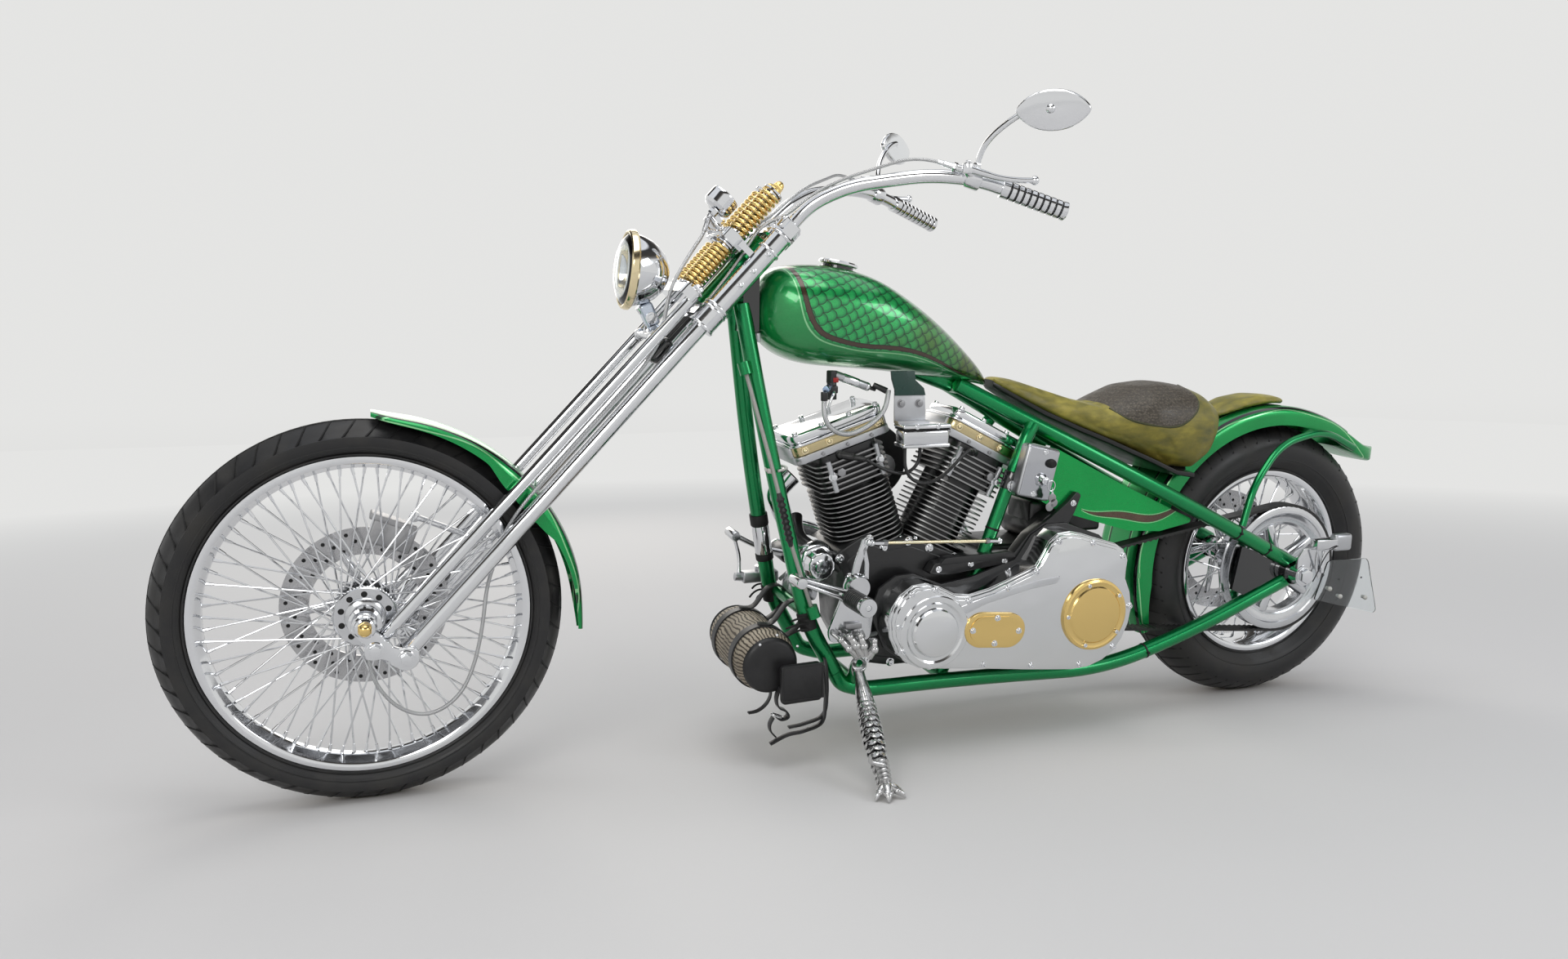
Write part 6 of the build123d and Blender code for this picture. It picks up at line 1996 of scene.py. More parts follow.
@dataclass
class Engine:
    """The air-cooled V twin, its primary drive, gearbox and fittings.

    Attributes:
        shop: The workshop.
        crank: The crankshaft's x and z.
        angles: How far the cylinders lean ahead, in degrees.
        deck: From the crankshaft to the cylinders' feet.
        head: From the crankshaft to the heads' tops.
        top: From the crankshaft to the rocker boxes' tops.
    """

    shop: Workshop
    crank: tuple[float, float] = (930.0, 260.0)
    angles: tuple[float, float] = (18.5, -26.5)
    deck: float = 150.0
    head: float = 386.0
    top: float = 446.0

    def bank(self, angle: float, across: float, side: float, up: float) -> Vector:
        """Return a point given from the crankshaft across, sideways and along a cylinder."""
        lean = radians(angle)
        return Vector((self.crank[0] + up * sin(lean) + across * cos(lean), side,
                       self.crank[1] + up * cos(lean) - across * sin(lean)))

    def bank_place(self, angle: float, across: float, side: float, up: float) -> Matrix:
        """Return the placement at such a point, with z along the cylinder and x across it."""
        lean = radians(angle)
        return basis(self.bank(angle, across, side, up), (sin(lean), 0, cos(lean)),
                     (cos(lean), 0, -sin(lean)))

    def fin(self, width: float, depth: float, corner: float, thick: float, rim: Finish, shape: Shape,
            places: Sequence[Matrix]) -> None:
        """Add cooling fins with bright edges.

        Args:
            width: The fin's width across the engine.
            depth: Its depth from side to side.
            corner: The rounding of its corners.
            thick: Its thickness.
            rim: The finish of its edge.
            shape: Where the fins go.
            places: Their placements.
        """
        blank = cube_blank((width, depth, thick))
        round_edges(blank, upright_edges(blank, thick), corner, 5)
        black, bright = shape.paint(ENGINE_BLACK), shape.paint(rim)
        for face in blank.faces:
            face.material_index = bright if abs(face.normal.z) < 0.3 else black
        shape.stamp(blank, None, *places)

    def cylinders(self) -> None:
        """Build the two finned cylinders with their heads."""
        engine = Shape()
        for angle, gap in zip(self.angles, (1, -1)):
            shift = 2.0 * gap
            base = self.bank_place(angle, shift, 0, self.deck + 4)
            self.fin(146, 146, 40, 10, ENGINE_BLACK, engine, [base])
            core = [self.bank_place(angle, shift, 0, (self.deck + self.head) / 2)]
            self.fin(118, 118, 50, self.head - self.deck - 4, ENGINE_BLACK, engine, core)
            barrel = [self.bank_place(angle, shift, 0, self.deck + 17 + 10.2 * k) for k in range(14)]
            self.fin(150, 152, 44, 2.6, FIN_EDGE, engine, barrel)
            heads = [self.bank_place(angle, shift, 0, self.deck + 165 + 10.8 * k) for k in range(6)]
            self.fin(152, 156, 26, 3.2, FIN_EDGE, engine, heads)
            self.fin(132, 140, 26, self.head - self.deck - 166, ENGINE_BLACK, engine,
                     [self.bank_place(angle, shift, 0, (self.head + self.deck + 164) / 2)])
            for across in (-52, 52):
                foot = self.bank(angle, across, 66, self.deck + 10)
                engine.bolt(CHROME, foot, self.bank(angle, across, 66, self.deck + 30) - foot, 7, 14,
                            "acorn", 9)
                top = self.bank(angle, across, 74, self.head - 74)
                engine.rod(SATIN, top, self.bank(angle, across, 74, self.head - 10), 6, sides=12)
                engine.bolt(CHROME, self.bank(angle, across, 77, self.head - 42), SIDEWAYS, 6.5, 8, "hex", 9)
            plug = self.bank(angle, 34 * gap, 80, self.head - 38)
            lead = Vector((1030, 101, 606)) if gap > 0 else Vector((806, 101, 616))
            seat = Vector((1072, 70, 612)) if gap > 0 else Vector((778, 70, 606))
            engine.rod(STEEL, plug - SIDEWAYS * 8, plug + SIDEWAYS * 5, 9, sides=6, rounding=0.8)
            engine.rod(CORD_RUBBER, seat, seat.lerp(lead, 0.55), 8.5, 7.0, rounding=1.4)
            engine.rod(CORD_RUBBER, seat.lerp(lead, 0.5), lead.lerp(seat, -0.02), 6.0, 4.6, rounding=1.0)
            engine.ball(CORD_RUBBER, seat, 9.5, 8)
        self.shop.deliver(engine, "finned_cylinders", Body.FRAME, ("cylinders",), "black_engine", 30.0)

    def rocker_boxes(self) -> None:
        """Build the stacked rocker boxes."""
        boxes = Shape()
        height = self.top - self.head
        for angle in self.angles:
            across = 8.0 if angle > 0 else -8.0
            layers = ((SATIN, 208, 138, 0.0, 0.26, 2.0, 18), (GOLD_SHADE, 202, 132, 0.26, 0.58, 2.5, 20),
                      (CHROME, 208, 138, 0.58, 0.66, 1.6, 22), (CHROME, 204, 134, 0.66, 1.0, 7.0, 24))
            for finish, width, depth, low, high, rounding, corner in layers:
                thick = height * (high - low)
                blank = cube_blank((width, depth, thick))
                round_edges(blank, upright_edges(blank, thick), corner, 5)
                rims = [e for e in blank.edges if abs(e.verts[0].co.z - e.verts[1].co.z) < 1e-4]
                round_edges(blank, [e for e in rims if e.calc_face_angle(0) > 0.6], rounding, 3)
                middle = self.head + height * (low + high) / 2
                boxes.stamp(blank, finish, self.bank_place(angle, across, 0, middle))
            self.box_details(boxes, angle, across, height)
        self.shop.deliver(boxes, "stacked_rocker_boxes", Body.FRAME, ("rocker_boxes",), "chrome", 30.0)

    def box_details(self, boxes: Shape, angle: float, across: float, height: float) -> None:
        """Add a rocker box's raised panel, bolts and end blocks."""
        up = self.bank(angle, across, 0, self.top) - self.bank(angle, across, 0, self.head)
        panel = self.bank_place(angle, across, 0, self.top - 0.6)
        boxes.plate(CHROME, [(-78, -46), (78, -46), (78, 46), (-78, 46)], -3, 0.9, 0.8, panel, 16)
        for x in (-88, -30, 30, 88):
            for side in (-1, 1):
                boxes.bolt(CHROME, self.bank(angle, across + x, side * 57, self.top - 1.6), up, 5.6, 5,
                           "socket", 8)
        for x in (-80, -27, 27, 80):
            foot = self.bank(angle, across + x, 66.6, self.head + 0.42 * height)
            boxes.bolt(PALE_BRASS, foot, SIDEWAYS, 5.0, 4.0, "button", 7.5)
            boxes.bolt(STEEL, self.bank(angle, across + x + 20, 69, self.head + 0.12 * height), SIDEWAYS,
                       4.2, 3.4, "hex", 0)
        for x in (-96, 96):
            place = self.bank_place(angle, across + x, 0, self.head + 0.4 * height)
            boxes.block(SATIN, place.translation, (20, 96, 22), 3.0, place.to_3x3())

    def crankcase(self) -> None:
        """Build the crankcase with its bolts."""
        case = Shape()
        outline = [(1061, 372), (1084, 414), (1018, 452), (984, 432), (926, 442), (876, 424), (815, 400),
                   (700, 392), (690, 300), (760, 200), (840, 176), (960, 176), (1018, 188), (1048, 240)]
        case.plate(ENGINE_BLACK, outline, -80, 84, 5.0, corners=12, segments=3)
        inset = [(900 + 0.88 * (x - 900), 300 + 0.88 * (z - 300)) for x, z in outline]
        case.plate(ENGINE_BLACK, inset, -86, 86, 3.0, corners=10, segments=3)
        for x, z in outline:
            foot = Vector((900 + 0.94 * (x - 900), 83.5, 300 + 0.94 * (z - 300)))
            case.bolt(CHROME, foot, SIDEWAYS, 6.0, 6.5, "socket", 9)
            case.bolt(CHROME, (foot.x, -79, foot.z), -SIDEWAYS, 6.0, 6.5, "socket", 9)
        case.lathe(CHROME, [(0, 0), (94, 0), (96, 4), (94, 30), (84, 42), (60, 46), (0, 46)],
                   (930, -86, 270), -SIDEWAYS, 72)
        for k in range(5):
            angle = 2 * pi * k / 5 + 0.2
            case.bolt(CHROME, (930 + 84 * sin(angle), -127, 270 + 84 * cos(angle)), -SIDEWAYS, 5.5, 5,
                      "socket", 8)
        for k, angle in enumerate(self.angles):
            start = self.bank(angle, -40 if k else 30, -62, self.deck - 40)
            end = self.bank(angle, -40 if k else 30, -74, self.head + 6)
            for shift in (-16, 16):
                move = Vector((shift, 0, 0))
                case.rod(CHROME, start + move, end + move, 10, sides=20, rounding=1.0)
                case.rod(CHROME, start + move, start.lerp(end, 0.12) + move, 14, sides=20, rounding=1.5)
                case.rod(CHROME, start.lerp(end, 0.88) + move, end + move, 13, sides=20, rounding=1.5)
        case.wire(ENGINE_BLACK, [(1060, 60, 380), (1112, 40, 420), (1136, 0, 440), (1120, -40, 470)], 13)
        self.shop.deliver(case, "bolted_crankcase", Body.FRAME, ("crankcase",), "black_engine", 32.0)

    def primary(self) -> None:
        """Build the polished primary cover with its stepped nose and dome."""
        cover = Shape()
        outline = [(1008, 300), (1001, 326), (985, 350), (958, 368), (930, 371), (900, 362), (867, 345),
                   (833, 341), (790, 350), (745, 366), (705, 381), (686, 390), (672, 412), (658, 438),
                   (638, 453), (610, 456), (583, 450), (540, 436), (500, 424), (478, 410), (468, 392),
                   (470, 372), (470, 352), (456, 320), (450, 285), (456, 250), (470, 218), (490, 192),
                   (516, 174), (548, 163), (586, 161), (640, 166), (700, 172), (790, 183), (880, 192),
                   (938, 199), (966, 213), (990, 238), (1004, 268)]
        cover.plate(COVER, outline, 122, 176, 0.0)
        for share, high in ((0.988, 180.0), (0.955, 186.0), (0.90, 189.4)):
            inset = [self.toward(p, share) for p in outline]
            cover.plate(COVER, inset, 170, high, 1.6, segments=3)
        self.primary_details(cover)
        self.shop.deliver(cover, "polished_primary", Body.FRAME, ("primary_cover",), "chrome", 24.0)

    def toward(self, point: Point, share: float) -> tuple[float, float]:
        """Return an outline's point drawn in towards the cover's middle line."""
        x = max(570.0, min(900.0, point[0]))
        z = 285.0 if x > 700 else 285.0 + (700 - x) * 0.12
        reach = hypot(point[0] - x, point[1] - z)
        cut = (1 - share) * 110 / max(reach, 1)
        return (point[0] + (x - point[0]) * cut, point[1] + (z - point[1]) * cut)

    def primary_details(self, cover: Shape) -> None:
        """Add the primary cover's dome, raised panels and bolts."""
        dome = Vector((912, 187, 273))
        cover.lathe(COVER, [(0, 0), (74, 0), (74, 3), (72, 5), (62, 5.5), (58, 3), (50, 3), (49, 8),
                            (46, 12), (36, 15), (0, 16.5)], dome, SIDEWAYS, 72)
        for x, z in ((990, 290), (962, 352), (912, 358), (838, 330), (752, 350), (688, 378), (640, 438),
                     (560, 430), (486, 398), (462, 290), (496, 205), (575, 174), (690, 183), (800, 196),
                     (920, 205), (978, 240)):
            cover.bolt(CHROME, (x, 186, z), SIDEWAYS, 5.6, 5.5, "socket", 8.2)
        ridge = [(858, 300), (800, 322), (700, 345), (640, 352), (632, 368), (690, 362), (800, 338),
                 (868, 318)]
        cover.plate(POLISHED, ridge, 184, 190.5, 2.2, corners=6, segments=3)

    def brass(self) -> None:
        """Build the brass inspection plate and clutch cover."""
        brass = Shape()
        turn = Matrix.Rotation(radians(5), 4, "Z")
        place = Matrix(((1, 0, 0, 780), (0, 0, 1, 188), (0, 1, 0, 267), (0, 0, 0, 1))) @ turn
        slot = [(-68, -10), (-68, 10), (-58, 26), (-40, 36), (40, 36), (58, 26), (68, 10), (68, -10),
                (58, -26), (40, -36), (-40, -36), (-58, -26)]
        brass.plate(BRASS, slot, -2, 6.5, 2.0, place, 9, 3)
        brass.plate(BRASS, [(0.84 * x, 0.8 * z) for x, z in slot], 4, 8, 1.4, place, 8, 3)
        for x, z in ((-52, 0), (52, 0), (0, 26), (0, -26)):
            spot = place @ Vector((x, z, 7.6))
            brass.bolt(CHROME, spot, SIDEWAYS, 4.6, 4.6, "socket", 6.5)
        derby = Vector((549, 188, 280))
        brass.lathe(BRASS, [(0, -2), (75, -2), (75.5, 3), (74, 7), (69, 9), (64, 7.2), (60, 7.2), (57, 9.6),
                            (40, 11.2), (0, 12)], derby, SIDEWAYS, 96)
        for k in range(5):
            angle = 2 * pi * k / 5 + 0.3
            brass.bolt(CHROME, derby + Vector((66 * sin(angle), 7.6, 66 * cos(angle))), SIDEWAYS, 4.4, 4.4,
                       "socket", 0)
        self.shop.deliver(brass, "brass_plates", Body.FRAME, ("brass_covers",), "brass", 28.0)

    def gearbox(self) -> None:
        """Build the gearbox, the inner primary and the starter."""
        box = Shape()
        box.block(ENGINE_BLACK, (618, -10, 300), (226, 150, 214), 16.0, segments=4)
        box.plate(ENGINE_BLACK, [(1020, 300), (1004, 350), (968, 374), (930, 376), (867, 350), (800, 360),
                                 (700, 390), (665, 440), (630, 460), (583, 460), (500, 430), (464, 400),
                                 (460, 372), (442, 290), (462, 208), (510, 166), (586, 152), (700, 164),
                                 (938, 190), (990, 228)], 114, 123, 2.0)
        lever = [(893, 371), (880, 392), (820, 398), (701, 400), (668, 440), (620, 470), (580, 500),
                 (556, 524), (546, 516), (560, 480), (586, 436), (640, 402), (692, 384), (760, 376),
                 (850, 366)]
        box.plate(ENGINE_BLACK, lever, 88, 118, 4.0, corners=5, segments=3)
        box.plate(ENGINE_BLACK, [(690, 392), (872, 388), (858, 402), (704, 406)], 96, 119.5, 2.0, corners=4)
        for x, z in ((872, 380), (800, 386), (722, 388), (640, 428), (566, 500)):
            box.bolt(CHROME, (x, 118, z), SIDEWAYS, 4.6, 4.5, "socket", 6.5)
        box.rod(ENGINE_BLACK, (600, -60, 442), (600, 108, 442), 38, sides=40, rounding=4)
        box.block(ENGINE_BLACK, (548, 20, 462), (176, 96, 72), 8.0, segments=3)
        box.rod(CHROME, (600, -66, 442), (600, -58, 442), 34, sides=40, rounding=3)
        box.plate(CHROME, [(520, 200), (700, 200), (716, 240), (716, 360), (700, 386), (520, 386),
                           (506, 340), (506, 230)], -98, -84, 4.0, corners=12, segments=3)
        for x, z in ((526, 210), (696, 210), (706, 300), (694, 376), (526, 376), (514, 300)):
            box.bolt(CHROME, (x, -98, z), -SIDEWAYS, 5.2, 5, "socket", 8)
        box.lathe(POLISHED, [(20, -32), (64, -32), (70, -28), (70, -4), (64, 0), (20, 0)], (560, 112, 300),
                  SIDEWAYS, 72)
        self.shop.deliver(box, "gearbox_and_starter", Body.FRAME, ("gearbox",), "black_engine", 32.0)

    def build(self) -> None:
        """Build the engine."""
        self.cylinders()
        self.rocker_boxes()
        self.crankcase()
        self.primary()
        self.brass()
        self.gearbox()


@dataclass
class Fork:
    """The springer fork's fittings: springs, rockers, lamp, bars, levers, mirrors and caliper.

    Attributes:
        shop: The workshop.
        spring_ahead: How far ahead of the steering axis the springs are.
        spring_y: How far they are from the middle.
        top: The top of the rigid legs, along the axis.
        bar: The left half of the handlebar's line.
    """

    shop: Workshop
    spring_ahead: float = 58.0
    spring_y: float = 26.0
    top: float = 126.0
    bar: tuple[Vector, ...] = field(
        default_factory=lambda: (fork_point(0, 127.2, 70), fork_point(2, 205, 76),
                                 neck_point(-204, 112, 184), neck_point(-322, 178, 203),
                                 neck_point(-404, 219, 197), neck_point(-562, 268, 142)))

    def springs(self) -> None:
        """Build the four coil springs with their collars and the nuts on top."""
        springs = Shape()
        for side in (-1, 1):
            for low, high, turns in ((-58, 45, 10.5), (74, 180, 9.5)):
                blank = bmesh.new()
                made = bmesh.ops.create_circle(blank, segments=9, radius=3.6, cap_ends=True,
                                               matrix=Matrix.Translation((17.2, 0, 0))
                                               @ Matrix.Rotation(radians(90), 4, "X"))
                run = (high - low) - 7.2
                steps = int(turns * 20)
                bmesh.ops.spin(blank, geom=made["verts"] + blank.edges[:] + blank.faces[:], cent=(0, 0, 0),
                               axis=(0, 0, 1), angle=2 * pi * turns, steps=steps, dvec=(0, 0, run / steps),
                               use_merge=False)
                bmesh.ops.recalc_face_normals(blank, faces=blank.faces)
                place = basis(fork_point(self.spring_ahead, low + 3.6, side * self.spring_y), AXIS_UP)
                springs.stamp(blank, BRASS, place)
                for at, way in ((low, 1), (high, -1)):
                    seat = fork_point(self.spring_ahead, at, side * self.spring_y)
                    springs.lathe(CHROME, [(8, -4.5), (19, -4.5), (20.8, -3), (20.8, 0.5), (14, 1.2),
                                           (13, 6), (8, 6)], seat, AXIS_UP * way, 40)
            crest = fork_point(self.spring_ahead, 184, side * self.spring_y)
            springs.rod(BRASS, crest, crest + AXIS_UP * 5, 13, sides=32, rounding=1.0)
            springs.bolt(BRASS, crest + AXIS_UP * 5, AXIS_UP, 10.5, 19, "acorn")
        self.shop.deliver(springs, "coil_springs", Body.FORK, ("fork_springs",), "brass", 40.0)

    def perch(self) -> None:
        """Build the chrome caps and bolts on the perch, the crowns and the legs."""
        perch = Shape()
        for side in (-1, 1):
            for up, radius in ((self.top - 3.6, 22.5), (self.top - 40, 22.0), (-58, 25.5), (-66, 24.8),
                               (-102, 25.2)):
                foot = fork_point(0, up - 2.4, side * LEG_Y)
                perch.lathe(CHROME, [(15.2, 0), (radius, 0), (radius + 0.8, 1.2), (radius + 0.8, 3.6),
                                     (radius, 4.8), (15.2, 4.8)], foot, AXIS_UP, 40)
            for up in (0, 35, 78):
                perch.bolt(CHROME, fork_point(0, up, side * (LEG_Y + 19.6)), (0, side, 0), 4.4, 3.6,
                           "button", 6.5)
            perch.bolt(CHROME, fork_point(49, -63.4, side * LEG_Y), AXIS_UP, 11, 15, "acorn", 14)
            perch.block(CHROME, fork_point(3, self.top + 17, side * LEG_Y), (40, 37, 25), 4.0, FORK_TURN, 3)
            for across in (-13, 13):
                perch.bolt(CHROME, fork_point(22.6, self.top + 17 + across * 0.45,
                                              side * LEG_Y + across * 0.7), AXIS_AHEAD, 4.0, 3.2, "socket")
            perch.wire(CHROME, [fork_point(82, 60, side * 30), fork_point(96, 60, side * 34),
                                fork_point(108, 66, side * 20)], 4.0)
        perch.block(CHROME, fork_point(self.spring_ahead, 69.6, 0), (43, 16, 3.2), 1.2, FORK_TURN)
        perch.block(CHROME, fork_point(82.6, 59.5, 0), (3.4, 106, 15), 1.4, FORK_TURN)
        for y in (-46, 46):
            perch.bolt(CHROME, fork_point(84.2, 59.5, y), AXIS_AHEAD, 5.4, 4.6, "acorn", 8)
        perch.lathe(CHROME, [(0, 20), (9, 20), (13, 16), (15, 8), (15, 0), (0, 0)], fork_point(0, 124, 0),
                    AXIS_UP, 36)
        perch.block(GLOSS_BLACK, fork_point(18, -182, 0), (26, 96, 54), 11.0, FORK_TURN, 4)
        for y in (-20, -7, 8, 21):
            perch.wire(CORD_RUBBER, [fork_point(14, -96, y), fork_point(16, -120, y * 1.3),
                                     fork_point(15, -158, y * 1.1)], 3.6)
        self.shop.deliver(perch, "perch_and_caps", Body.FORK)

    def rockers(self) -> None:
        """Build the waisted rockers, their nuts and the speedometer drive."""
        rockers = Shape()
        joints = [fork_point(0, -888), fork_point(50, -908), FRONT_AXLE.copy()]
        for side in (-1, 1):
            outline = self.waisted(joints, 23.0, 14.5)
            rockers.plate(CHROME, outline, 90.5 * side - 5.2, 90.5 * side + 5.2, 2.2, segments=3)
            for joint in joints[:2]:
                out = joint + SIDEWAYS * (96 * side)
                rockers.lathe(CHROME, [(0, 0), (15, 0), (15, 1.6), (13.5, 2.6), (0, 2.6)], out,
                              SIDEWAYS * side, 32)
                rockers.bolt(CHROME, out + SIDEWAYS * (2.6 * side), (0, side, 0), 10.5, 8.5, "hex")
            hub = FRONT_AXLE + SIDEWAYS * (96 * side)
            rockers.lathe(CHROME, [(0, 0), (20, 0), (20, 3), (18, 5), (17, 12), (14, 14), (0, 14)], hub,
                          SIDEWAYS * side, 44)
            rockers.bolt(BRASS if side > 0 else CHROME, hub + SIDEWAYS * (14 * side), (0, side, 0), 12.5,
                         17, "acorn")
            rockers.lathe(ENGINE_BLACK, [(12, 54), (17, 54), (17, 85), (12, 85)], FRONT_AXLE,
                          SIDEWAYS * side, 32)
        rockers.lathe(CHROME, [(13, 59.4), (24, 59.4), (28, 62), (28, 76), (24, 78.6), (13, 78.6)],
                      FRONT_AXLE, SIDEWAYS, 44)
        end = FRONT_AXLE + Vector((-2, 69, -42))
        rockers.rod(CHROME, end + Vector((0, 0, 1)), end + Vector((0, 0, 22)), 7, sides=20, rounding=0.8)
        rockers.rod(STEEL, FRONT_AXLE - SIDEWAYS * 104, FRONT_AXLE + SIDEWAYS * 104, 12.2, sides=28)
        self.shop.deliver(rockers, "waisted_rockers", Body.FORK, ("fork_rockers",), "chrome", 30.0)

    def waisted(self, joints: Sequence[Vector], eye: float, waist: float) -> list[Point]:
        """Return the outline of a link with round eyes and narrow waists, as x and z."""
        run = (joints[-1] - joints[0]).normalized()
        over = Vector((-run.z, 0, run.x))
        above, below = [], []
        length = (joints[-1] - joints[0]).length
        marks = [(j - joints[0]).dot(run) for j in joints]
        for k in range(49):
            at = -eye + (length + 2 * eye) * k / 48
            near = min(marks, key=lambda m: abs(at - m))
            off = abs(at - near)
            bulge = (eye * eye - off * off) ** 0.5 if off < eye else 0.0
            inside = marks[0] < at < marks[-1]
            half = max(bulge, waist if inside else 0.0)
            bend = self.middle_line(joints, joints[0] + run * at, run, over)
            above.append((joints[0] + run * at + over * (bend + half)))
            below.append((joints[0] + run * at + over * (bend - half)))
        corners = above + below[::-1][1:-1]
        return [(p.x, p.z) for p in corners]

    def middle_line(self, joints: Sequence[Vector], point: Vector, run: Vector, over: Vector) -> float:
        """Return how far the joints' line is from the straight one beside a point."""
        at = (point - joints[0]).dot(run)
        middle = (joints[1] - joints[0]).dot(run)
        rise = (joints[1] - joints[0]).dot(over)
        length = (joints[2] - joints[0]).length
        if at <= 0 or at >= length:
            return 0.0
        return rise * at / middle if at < middle else rise * (length - at) / (length - middle)

    def headlamp(self) -> None:
        """Build the headlamp's bucket, bezel, reflector and bracket."""
        face = neck_point(194, 0, 26)
        ahead = Vector((cos(radians(6)), 0, sin(radians(6))))
        lamp = Shape()
        lamp.lathe(CHROME, [(68, -6), (67, -14), (64, -26), (58, -42), (49, -56), (37, -68), (22, -77),
                            (8, -81), (0, -82), (0, -79), (21, -74), (35, -65), (47, -53), (56, -40),
                            (62, -24), (65, -10)], face, ahead, 80)
        lamp.lathe(PALE_BRASS, [(64, -12), (71, -12), (73.6, -9), (73.8, -4), (72, 1.5), (69, 3.6),
                                (66.5, 3), (65.5, 0)], face, ahead, 96)
        lamp.lathe(CHROME, [(0, -62), (10, -61), (30, -50), (48, -32), (60, -12), (64, -2), (61.5, -2),
                            (58, -11), (46, -30), (29, -47), (0, -58)], face, ahead, 64)
        lamp.lathe(LENS, [(0, -44), (7, -43), (9, -38), (9, -30), (6, -24), (0, -22)], face, ahead, 20)
        lamp.rod(CHROME, face - ahead * 60, face - ahead * 42, 11, sides=28, rounding=1)
        lamp.block(BLUE_STEEL, neck_point(152, 0, -56), (26, 30, 44), 5.0,
                   Matrix.Rotation(radians(24), 3, "Y"), 3)
        lamp.block(BLUE_STEEL, neck_point(140, 0, -84), (20, 24, 34), 5.0,
                   Matrix.Rotation(radians(44), 3, "Y"), 3)
        lamp.rod(CHROME, neck_point(150, -22, -62), neck_point(150, 22, -62), 7, sides=6, rounding=0.8)
        lamp.bolt(CHROME, neck_point(150, 16, -62), SIDEWAYS, 8, 6, "hex", 11)
        lamp.rod(CHROME, fork_point(49, -176, -55), fork_point(49, -176, 55), 8, sides=24)
        lamp.rod(CHROME, fork_point(49, -176), neck_point(150, 0, -78), 9, 8, rounding=1)
        lamp.rod(CHROME, neck_point(158, 0, -52), neck_point(163, 0, -40), 12, 15, rounding=1)
        for side in (-1, 1):
            lamp.rod(CHROME, fork_point(49, -176, side * 50), fork_point(49, -176, side * 57), 13, sides=6,
                     rounding=1)
        self.shop.deliver(lamp, "headlamp_shell", Body.FORK, ("headlamp",), "chrome", 30.0)
        glass = Shape()
        glass.lathe(LENS, [(0, 20), (18, 19), (38, 15), (54, 9), (66, 0.4), (64, 0.2), (52, 6), (36, 12),
                           (18, 16), (0, 17)], face + ahead * 0.4, ahead, 80)
        self.shop.deliver(glass, "headlamp_glass", Body.FORK, ("headlamp_lens",), "clear", 60.0)

    def speedometer(self) -> None:
        """Build the speedometer on its bracket."""
        gauge = Shape()
        foot = fork_point(114, 84)
        gauge.lathe(CHROME, [(0, 0), (18, 0), (25, 3), (28.6, 8), (28.8, 28), (29, 31), (28, 34.5),
                             (25.5, 35.5), (25, 33.4)], foot, AXIS_UP, 56)
        gauge.lathe(DIAL_WHITE, [(0, 31), (25.4, 31), (25.4, 33), (0, 33)], foot, AXIS_UP, 48)
        for k in range(11):
            angle = radians(-130 + 26 * k)
            start, end = self.on_dial(angle, 20, 33.3), self.on_dial(angle, 23.5, 33.3)
            gauge.rod(GLOSS_BLACK, start, end, 0.55, sides=6)
        gauge.rod(RED_PLASTIC, self.on_dial(radians(-130), -4, 33.9), self.on_dial(radians(-130), 18, 33.9),
                  0.7, sides=6)
        gauge.lathe(LENS, [(0, 34.8), (25.2, 34.8), (25.2, 35.8), (0, 35.8)], foot, AXIS_UP, 48)
        gauge.block(CHROME, fork_point(100, 70, 0), (32, 15, 27), 2.0, FORK_TURN)
        self.shop.deliver(gauge, "speedometer_drum", Body.FORK, ("speedometer",), "chrome", 30.0)

    def on_dial(self, angle: float, reach: float, up: float) -> Vector:
        """Return a point on the speedometer's dial."""
        return fork_point(114 + reach * cos(angle), 84 + up, reach * sin(angle))

    def grips(self) -> None:
        """Build the grooved grips with domed ends."""
        grips = Shape()
        far = self.bar[-1]
        inward = (self.bar[-2] - far).normalized()
        rings = [(13, 0), (17.2, 0), (17.4, 2)]
        for k in range(9):
            at = 8 + 12.4 * k
            rings += [(16.8, at), (15.0, at + 1.2), (15.0, at + 3.4), (16.8, at + 4.6)]
        rings += [(17.2, 121), (17.2, 125.4), (13, 126)]
        grips.lathe(CHROME, rings, far, inward, 40)
        grips.lathe(CHROME, [(0, -3.9), (9, -3.6), (15, -2.2), (17, 0), (17, 0.6), (0, 0.6)], far, inward, 40)
        for k in range(9):
            grips.lathe(CORD_RUBBER, [(15.0, 1.4), (15.9, 1.4), (15.9, 3.2), (15.0, 3.2)],
                        far + inward * (8 + 12.4 * k), inward, 32)
        grips.mirror()
        self.shop.deliver(grips, "grooved_grips", Body.FORK, ("hand_grips",), "chrome", 30.0)

